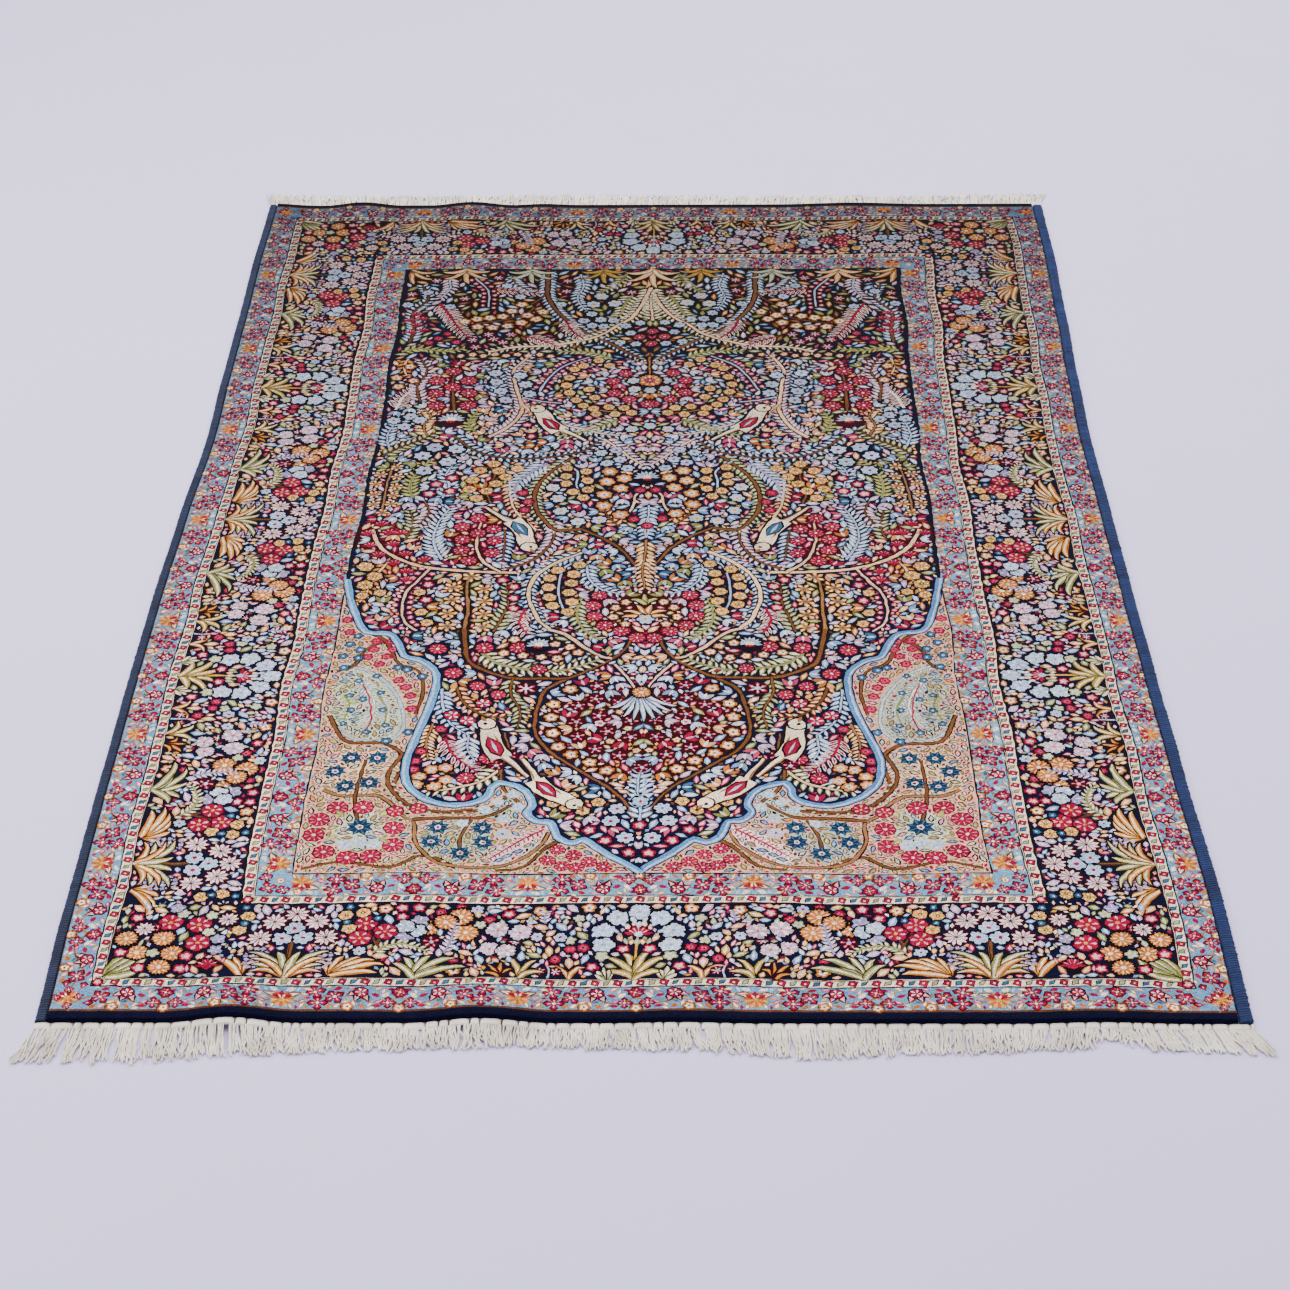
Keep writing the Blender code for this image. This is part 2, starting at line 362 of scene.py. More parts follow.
class Bloom(Enum):
    """The flowers of the design, each as its layers from the lowest up."""

    ROSETTE = (Layer(LOBES, Yarn.MAROON, 1.06, 8, 0.1), Layer(LOBES, Yarn.CRIMSON, 1.0, 10, 0.14),
               Layer(PETALS, Yarn.PINK, 0.84, 9, start=0.34, width=0.11), Layer(SPOT, Yarn.BLUSH, 0.2))
    CABBAGE = (Layer(LOBES, Yarn.MAROON, 1.12, 6, 0.1), Layer(LOBES, Yarn.CRIMSON, 1.0, 6, 0.16),
               Layer(PETALS, Yarn.PINK, 0.88, 6, start=0.3, width=0.3), Layer(LOBES, Yarn.CRIMSON, 0.4, 5),
               Layer(SPOT, Yarn.GOLD, 0.2))
    DAISY = (Layer(LOBES, Yarn.MAROON, 1.12, 8, 0.1),
             Layer(PETALS, Yarn.BLUSH, 1.0, 11, start=0.1, width=0.3),
             Layer(PETALS, Yarn.LILAC, 0.7, 5, start=0.2, width=0.14, half_step=True))
    STAR_BLUSH = (Layer(LOBES, Yarn.MAROON, 1.1, 6, 0.1),
                  Layer(PETALS, Yarn.ROSE, 1.0, 6, start=0.1, width=0.42),
                  Layer(PETALS, Yarn.BLUSH, 0.74, 6, start=0.2, width=0.22), Layer(SPOT, Yarn.POWDER, 0.3))
    CRIMSON_STAR = (Layer(LOBES, Yarn.MAROON, 1.15, 7, 0.08),
                    Layer(PETALS, Yarn.CRIMSON, 1.0, 5, start=0.15, width=0.56),
                    Layer(PETALS, Yarn.PINK, 0.86, 5, start=0.35, width=0.2),
                    Layer(SPOT, Yarn.POWDER, 0.32))
    SKY_FLOWER = (Layer(LOBES, Yarn.POWDER, 1.0, 6, 0.26),
                  Layer(PETALS, Yarn.SKY, 0.86, 6, start=0.3, width=0.16, half_step=True),
                  Layer(SPOT, Yarn.CRIMSON, 0.26))
    SKY_RING = (Layer(LOBES, Yarn.POWDER, 1.0, 7, 0.22),
                Layer(PETALS, Yarn.SKY, 0.78, 7, start=0.34, width=0.14),
                Layer(SPOT, Yarn.CRIMSON, 0.24))
    SKY_GOLD = (Layer(LOBES, Yarn.POWDER, 1.0, 6, 0.24), Layer(LOBES, Yarn.PEACH, 0.45, 5),
                Layer(SPOT, Yarn.GOLD, 0.26))
    ICE_BLOSSOM = (Layer(LOBES, Yarn.POWDER, 1.0, 5, 0.32),
                   Layer(PETALS, Yarn.ICE, 0.88, 5, start=0.15, width=0.34),
                   Layer(SPOT, Yarn.SKY, 0.18))
    CREAM_EYED = (Layer(LOBES, Yarn.GOLD, 1.0, 6, 0.24),
                  Layer(PETALS, Yarn.CREAM, 0.9, 6, start=0.3, width=0.26),
                  Layer(SPOT, Yarn.UMBER, 0.28), Layer(SPOT, Yarn.CREAM, 0.12))
    GOLD_STAR = (Layer(PETALS, Yarn.GOLD, 1.0, 6, start=0.1, width=0.52),
                 Layer(PETALS, Yarn.CREAM, 0.92, 6, start=0.4, width=0.28),
                 Layer(LOBES, Yarn.AMBER, 0.4, 6), Layer(SPOT, Yarn.TEAL, 0.24))
    GOLD_ROUND = (Layer(LOBES, Yarn.AMBER, 1.0, 6, 0.22), Layer(LOBES, Yarn.APRICOT, 0.84, 6, 0.26),
                  Layer(LOBES, Yarn.CREAM, 0.55, 6, 0.3), Layer(SPOT, Yarn.LAVENDER, 0.24))
    GOLD_BURST = (Layer(LOBES, Yarn.AMBER, 1.0, 9, 0.26),
                  Layer(PETALS, Yarn.APRICOT, 0.96, 9, start=0.2, width=0.3),
                  Layer(PETALS, Yarn.CREAM, 0.7, 9, start=0.4, width=0.12), Layer(SPOT, Yarn.CREAM, 0.24))
    GOLD_SMALL = (Layer(LOBES, Yarn.AMBER, 1.0, 5, 0.24), Layer(LOBES, Yarn.CREAM, 0.7, 5, 0.3),
                  Layer(SPOT, Yarn.CRIMSON, 0.24))
    BLUSH_BLOSSOM = (Layer(LOBES, Yarn.LILAC, 1.0, 5, 0.34),
                     Layer(PETALS, Yarn.BLUSH, 0.94, 5, start=0.1, width=0.44),
                     Layer(SPOT, Yarn.ROSE, 0.16))
    LILAC_BLOSSOM = (Layer(LOBES, Yarn.LAVENDER, 1.0, 5, 0.28),
                     Layer(PETALS, Yarn.BLUSH, 0.8, 4, start=0.1, width=0.2))
    ROSE_SMALL = (Layer(LOBES, Yarn.CRIMSON, 1.0, 5, 0.24), Layer(LOBES, Yarn.PINK, 0.66, 5, 0.34),
                  Layer(SPOT, Yarn.CREAM, 0.24))
    ROSE_KNOT = (Layer(LOBES, Yarn.CRIMSON, 1.0, 6, 0.2), Layer(LOBES, Yarn.ROSE, 0.6, 4, 0.3),
                 Layer(SPOT, Yarn.MAROON, 0.2))
    GUARD_ROSE = (Layer(PETALS, Yarn.MAROON, 1.14, 4, start=-0.1, width=1.0),
                  Layer(PETALS, Yarn.CRIMSON, 0.96, 4, start=-0.05, width=0.74),
                  Layer(PETALS, Yarn.PINK, 0.66, 4, start=0.2, width=0.18), Layer(SPOT, Yarn.CREAM, 0.2))
    PALMETTE = (Layer(LOBES, Yarn.AMBER, 1.0, 7, 0.34),
                Layer(PETALS, Yarn.APRICOT, 0.98, 7, start=0.2, width=0.34),
                Layer(PETALS, Yarn.CRIMSON, 1.04, 3, start=-0.1, width=0.44, spread=0.42),
                Layer(PETALS, Yarn.CREAM, 0.6, 2, start=0.1, width=0.2, spread=0.24),
                Layer(SPOT, Yarn.GOLD, 0.26))
    LOTUS = (Layer(PETALS, Yarn.MAROON, 1.1, 7, start=-0.2, width=0.5, spread=0.56),
             Layer(PETALS, Yarn.CRIMSON, 1.0, 7, start=-0.1, width=0.36, spread=0.54),
             Layer(PETALS, Yarn.PINK, 0.7, 5, start=0.1, width=0.12, spread=0.4),
             Layer(SPOT, Yarn.POWDER, 0.3))
    TEAL_STAR = (Layer(LOBES, Yarn.PETROL, 1.06, 8, 0.36),
                 Layer(PETALS, Yarn.TEAL, 0.84, 8, start=0.25, width=0.2, half_step=True),
                 Layer(SPOT, Yarn.ICE, 0.3), Layer(SPOT, Yarn.CRIMSON, 0.16))
    TEAL_SMALL = (Layer(LOBES, Yarn.PETROL, 1.0, 5, 0.24), Layer(LOBES, Yarn.TEAL, 0.74, 5, 0.2),
                  Layer(SPOT, Yarn.POWDER, 0.3))
    MINT_BLOSSOM = (Layer(LOBES, Yarn.SAGE, 1.0, 5, 0.3), Layer(LOBES, Yarn.MINT, 0.8, 5, 0.36),
                    Layer(SPOT, Yarn.LIME, 0.24))
    THISTLE = (Layer(PETALS, Yarn.CRIMSON, 1.15, 7, start=0.0, width=0.34, spread=0.55),
               Layer(PETALS, Yarn.PINK, 0.95, 4, start=0.3, width=0.12, spread=0.4),
               Layer(LOBES, Yarn.CRIMSON, 0.5, 5))
    FAN = (Layer(PETALS, Yarn.POWDER, 1.0, 9, start=0.1, width=0.24, spread=0.6),
           Layer(LOBES, Yarn.CREAM, 0.42, 6), Layer(PETALS, Yarn.CRIMSON, -0.55, 3, start=-0.1, width=0.3,
                                                    spread=0.3))
    CUP = (Layer(LOBES, Yarn.CRIMSON, 1.0, 5, 0.26),
           Layer(PETALS, Yarn.BLUSH, 0.9, 5, start=0.1, width=0.36),
           Layer(SPOT, Yarn.CRIMSON, 0.2))

    def draw(self, cartoon: Cartoon, place: Place, halo: Yarn | None = None) -> None:
        """Paints the flower.

        Args:
            cartoon: What it is painted into.
            place: Where it goes; its size is the flower's radius.
            halo: A dark yarn to set it off from what it lies over.
        """
        cartoon.at(place)
        if halo is not None:
            cartoon.paint(disc(1.22, 7), halo)
        for layer in self.value:
            layer.draw(cartoon, 1.0)


@dataclass(frozen=True)
class Foliage:
    """The leaves, beads or small flowers that grow along a stem, on both of its sides."""

    edge: Yarn
    core: Yarn | None
    length: float
    width: float
    spacing: float
    slant: float = 50.0
    offset: float = 0.0
    taper: float = 0.35
    bend: float = 0.0
    bloom: Bloom | None = None

    def draw(self, cartoon: Cartoon, curve: np.ndarray) -> None:
        """Paints the foliage along a stem."""
        for x, y, heading, share in along(curve, self.spacing):
            size = 1 - self.taper * share
            for side in (1, -1):
                turn = -(heading + side * self.slant)
                if self.bloom is not None:
                    away = math.radians(heading + 90 * side)
                    stagger = self.spacing * 0.25 * side
                    ahead = math.radians(heading)
                    middle_x = x + self.offset * math.sin(away) + stagger * math.sin(ahead)
                    middle_y = y + self.offset * math.cos(away) + stagger * math.cos(ahead)
                    self.bloom.draw(cartoon, Place(middle_x, middle_y, turn, self.width / 2 * size))
                    continue
                cartoon.at(Place(x, y, turn, size, flip=side < 0))
                lifted = blade(self.length, self.width, self.bend) + (0, self.offset)
                cartoon.paint(lifted, self.edge)
                if self.core is not None:
                    inner = sliver(self.length * 0.8, self.width * 0.6)
                    cartoon.paint(inner + (0, self.offset + self.length * 0.1), self.core)


@dataclass(frozen=True)
class Stem:
    """A stem through a few places, in one yarn on another, with or without foliage."""

    path: tuple[Point, ...]
    yarns: tuple[Yarn, ...] = (Yarn.UMBER, Yarn.CREAM)
    widths: Point = (6.0, 3.0)
    foliage: Foliage | None = None

    def draw(self, cartoon: Cartoon) -> None:
        """Paints the foliage, and then the stem over the stalks."""
        curve = smoothed(self.path)
        if self.foliage is not None:
            self.foliage.draw(cartoon, curve)
        cartoon.at(Place())
        shares = np.linspace(1.15, 0.66, len(self.yarns))
        for share, yarn in zip(shares, self.yarns):
            cartoon.paint(ribbon(curve, self.widths[0] * share, self.widths[1] * share), yarn)


@dataclass(frozen=True)
class Blooms:
    """Flowers of one kind and size, at several places."""

    bloom: Bloom
    radius: float
    places: tuple[Point, ...]
    turn: float = 0.0
    halo: Yarn | None = Yarn.INK

    def draw(self, cartoon: Cartoon) -> None:
        """Paints the flowers, each turned a little further than the one before."""
        for index, (x, y) in enumerate(self.places):
            step = 0 if self.bloom in (Bloom.THISTLE, Bloom.FAN, Bloom.CUP, Bloom.LOTUS,
                                       Bloom.PALMETTE) else 17
            self.bloom.draw(cartoon, Place(x, y, -self.turn + step * index, self.radius), self.halo)


@dataclass(frozen=True)
class Tuft:
    """A tuft of curved blades that springs from one place, as acanthus does."""

    x: float
    y: float
    blades: tuple[tuple[float, float, float], ...]  # turn in degrees, length, lean of the tip
    yarns: tuple[Yarn, ...] = (Yarn.OLIVE, Yarn.GOLD, Yarn.CREAM)
    width: float = 9.0
    turn: float = 0.0

    def draw(self, cartoon: Cartoon) -> None:
        """Paints the blades, each with its yarns from the edge to the middle."""
        for turn, length, lean in self.blades:
            tip = lean * 3.2 + 0.03 * length
            spine = smoothed(((0, 0), (tip * 0.02, length * 0.4), (tip * 0.34, length * 0.78),
                              (tip, length)), 3)
            cartoon.at(Place(self.x, self.y, -(self.turn + turn)))
            cartoon.paint(frond(spine, self.width * 0.92 + 2.4), Yarn.UMBER)
            for index, yarn in enumerate(self.yarns):
                cartoon.paint(frond(spine[:-1], self.width * (0.88 - 0.3 * index), 0.4 * index), yarn)


@dataclass(frozen=True)
class Leaves:
    """Single leaves at several places: x, y, turn in degrees and length."""

    edge: Yarn
    core: Yarn | None
    spots: tuple[tuple[float, float, float, float], ...]
    slim: float = 0.52
    halo: Yarn | None = None

    def draw(self, cartoon: Cartoon) -> None:
        """Paints the leaves."""
        for x, y, turn, length in self.spots:
            cartoon.at(Place(x, y, -turn))
            if self.halo is not None:
                cartoon.paint(blade(length + 4, length * self.slim + 4) - (0, 2), self.halo)
            cartoon.paint(blade(length, length * self.slim), self.edge)
            if self.core is not None:
                cartoon.paint(sliver(length * 0.8, length * self.slim * 0.6) + (0, length * 0.1), self.core)


@dataclass(frozen=True)
class Spike:
    """A hyacinth: an upright heap of small bells."""

    x: float
    y: float
    height: float
    width: float
    turn: float = 0.0
    yarns: tuple[Yarn, ...] = (Yarn.LAVENDER, Yarn.LILAC)

    def draw(self, cartoon: Cartoon) -> None:
        """Paints the bells, row over row."""
        pitch = 7.0
        base = Place(self.x, self.y, -self.turn)
        rows = max(int(self.height / pitch), 1)
        for row in range(rows):
            half = self.width / 2 * math.sin(math.pi * (row + 0.9) / (rows + 0.8))
            across = max(int(2 * half / pitch), 1)
            for column in range(across):
                x = (column - (across - 1) / 2) * pitch + (row % 2) * 1.5
                x, y = base.carry(np.array([[x, (row + 0.5) * pitch]]))[0]
                cartoon.at(Place(float(x), float(y), 40 * (row + column)))
                cartoon.paint(lobed(3.4, 4, 0.35), self.yarns[(row + column) % len(self.yarns)])


@dataclass(frozen=True)
class Bird:
    """A small bird with a long tail, seen from its side, its bill pointing along its turn."""

    x: float
    y: float
    turn: float
    size: float = 1.0
    flip: bool = False
    wing: Yarn = Yarn.CRIMSON

    def draw(self, cartoon: Cartoon) -> None:
        """Paints the tail, body, wing, head and eye."""
        cartoon.at(Place(self.x, self.y, -self.turn, self.size, self.flip))
        tail = smoothed(((-14, -70), (-7, -44), (0, -24), (0, 0)), 3)
        body = smoothed(((1, -30), (3, -14), (2, 2), (-2, 16), (-4, 30)), 3)
        cartoon.paint(ribbon(tail, 7, 16), Yarn.UMBER)
        cartoon.paint(ribbon(body, 29, 22), Yarn.UMBER)
        cartoon.paint(ribbon(tail, 3.5, 11), Yarn.CREAM)
        cartoon.paint(ribbon(tail, 1.5, 2.5, 1.2), Yarn.TAN)
        cartoon.paint(ribbon(body, 24, 17.5), Yarn.CREAM)
        cartoon.paint(sliver(18, 3) + (-5, -6), Yarn.TAN)
        cartoon.paint(blade(40, 20, 2) + (1, -29), Yarn.UMBER)
        cartoon.paint(blade(35, 15.5, 2) + (1, -26), self.wing)
        cartoon.paint(sliver(24, 3.6) + (2, -21), Yarn.POWDER)
        cartoon.paint(disc(11.5, 9) + (-4, 33), Yarn.UMBER)
        cartoon.paint(blade(14, 8, 1) + (-4, 36), Yarn.UMBER)
        cartoon.paint(disc(9.4, 9) + (-4, 33), Yarn.CREAM)
        cartoon.paint(blade(11, 5, 1) + (-4, 37), Yarn.TAN)
        cartoon.paint(disc(2.4, 6) + (-2.5, 34), Yarn.UMBER)


@dataclass(frozen=True)
class Patch:
    """A plain ground in one yarn, with a smooth edge through a few places."""

    yarn: Yarn
    edge: tuple[Point, ...]

    def draw(self, cartoon: Cartoon) -> None:
        """Paints the ground."""
        cartoon.at(Place())
        cartoon.paint(smoothed(self.edge + self.edge[:1], 3)[:-1], self.yarn)


Item = Patch | Blooms | Stem | Tuft | Leaves | Spike | Bird


def drawn(items: Iterable[Item]) -> Cartoon:
    """Draws a chart's items into a cartoon of their own."""
    cartoon = Cartoon()
    for item in items:
        item.draw(cartoon)
    return cartoon


# ------------------------------------------------------------------ stems and foliage

DARK = (Yarn.UMBER, Yarn.BARK)
PALE = (Yarn.UMBER, Yarn.PEACH)
BLUE = (Yarn.NAVY, Yarn.POWDER)
WARM = (Yarn.UMBER, Yarn.TAN)
SOFT = (Yarn.SAGE, Yarn.OLIVE)

MINT_PAIRS = Foliage(Yarn.OLIVE, Yarn.MINT, 20, 8, 10.5)
CREAM_PAIRS = Foliage(Yarn.OLIVE, Yarn.IVORY, 22, 8.5, 10.5, slant=58)
ICE_PAIRS = Foliage(Yarn.SKY, Yarn.ICE, 21, 8, 10.5)
BLUSH_PAIRS = Foliage(Yarn.LILAC, Yarn.BLUSH, 21, 8, 10.5)
PEACH_PAIRS = Foliage(Yarn.AMBER, Yarn.PEACH, 18, 8, 11)
GOLD_PAIRS = Foliage(Yarn.AMBER, Yarn.GOLD, 17, 7.5, 12)
GREEN_PAIRS = Foliage(Yarn.OLIVE, Yarn.LIME, 19, 7.5, 10.5)
ROSE_FEATHER = Foliage(Yarn.BLUSH, Yarn.CRIMSON, 24, 6.4, 9.5, slant=44)
ICE_FEATHER = Foliage(Yarn.POWDER, Yarn.ICE, 26, 7, 10, slant=44)
STRIPED = Foliage(Yarn.IVORY, Yarn.CRIMSON, 24, 6.4, 9.5, slant=46)
BEADS = Foliage(Yarn.CRIMSON, None, 0, 11.5, 15, offset=9, taper=0.15, bloom=Bloom.ROSE_SMALL)


# ------------------------------------------------------------------ field

# Each chart holds the right half. Its left half is the same, seen in a mirror.
FIELD_GROUNDS: tuple[Item, ...] = (
    Patch(Yarn.MAROON, ((-4, -432), (70, -442), (120, -485), (128, -535), (100, -592), (50, -628),
                        (-4, -640))),
    Patch(Yarn.MAROON, ((208, 14), (245, 16), (280, -18), (285, -85), (262, -128), (212, -125),
                        (202, -60))),
    Patch(Yarn.MAROON, ((272, 470), (312, 482), (352, 440), (354, 350), (330, 325), (284, 325),
                        (268, 400))),
    Patch(Yarn.UMBER, ((205, 712), (245, 718), (312, 662), (318, 600), (240, 596), (170, 640), (168, 694))),
    Patch(Yarn.UMBER, ((222, -150), (265, -160), (288, -230), (282, -310), (215, -310), (206, -230))),
    Patch(Yarn.MAROON, ((30, -195), (75, -205), (84, -260), (62, -296), (10, -320), (-4, -300),
                        (-4, -200))),
    Patch(Yarn.UMBER, ((190, 170), (240, 175), (272, 110), (262, 50), (228, 55), (205, 110))),
    Patch(Yarn.MAROON, ((20, 340), (60, 355), (72, 400), (66, 450), (30, 472), (-4, 460), (-4, 335))),
    Patch(Yarn.UMBER, ((-4, 815), (190, 822), (380, 815), (396, 760), (380, 700), (300, 640), (200, 560),
                       (60, 520),
                       (-4, 600))),
    Patch(Yarn.MAROON, ((372, 590), (402, 600), (408, 660), (385, 680), (365, 640))),
    Patch(Yarn.MAROON, ((352, -18), (408, -10), (408, -90), (378, -128), (325, -160), (318, -115),
                        (350, -70))),
)

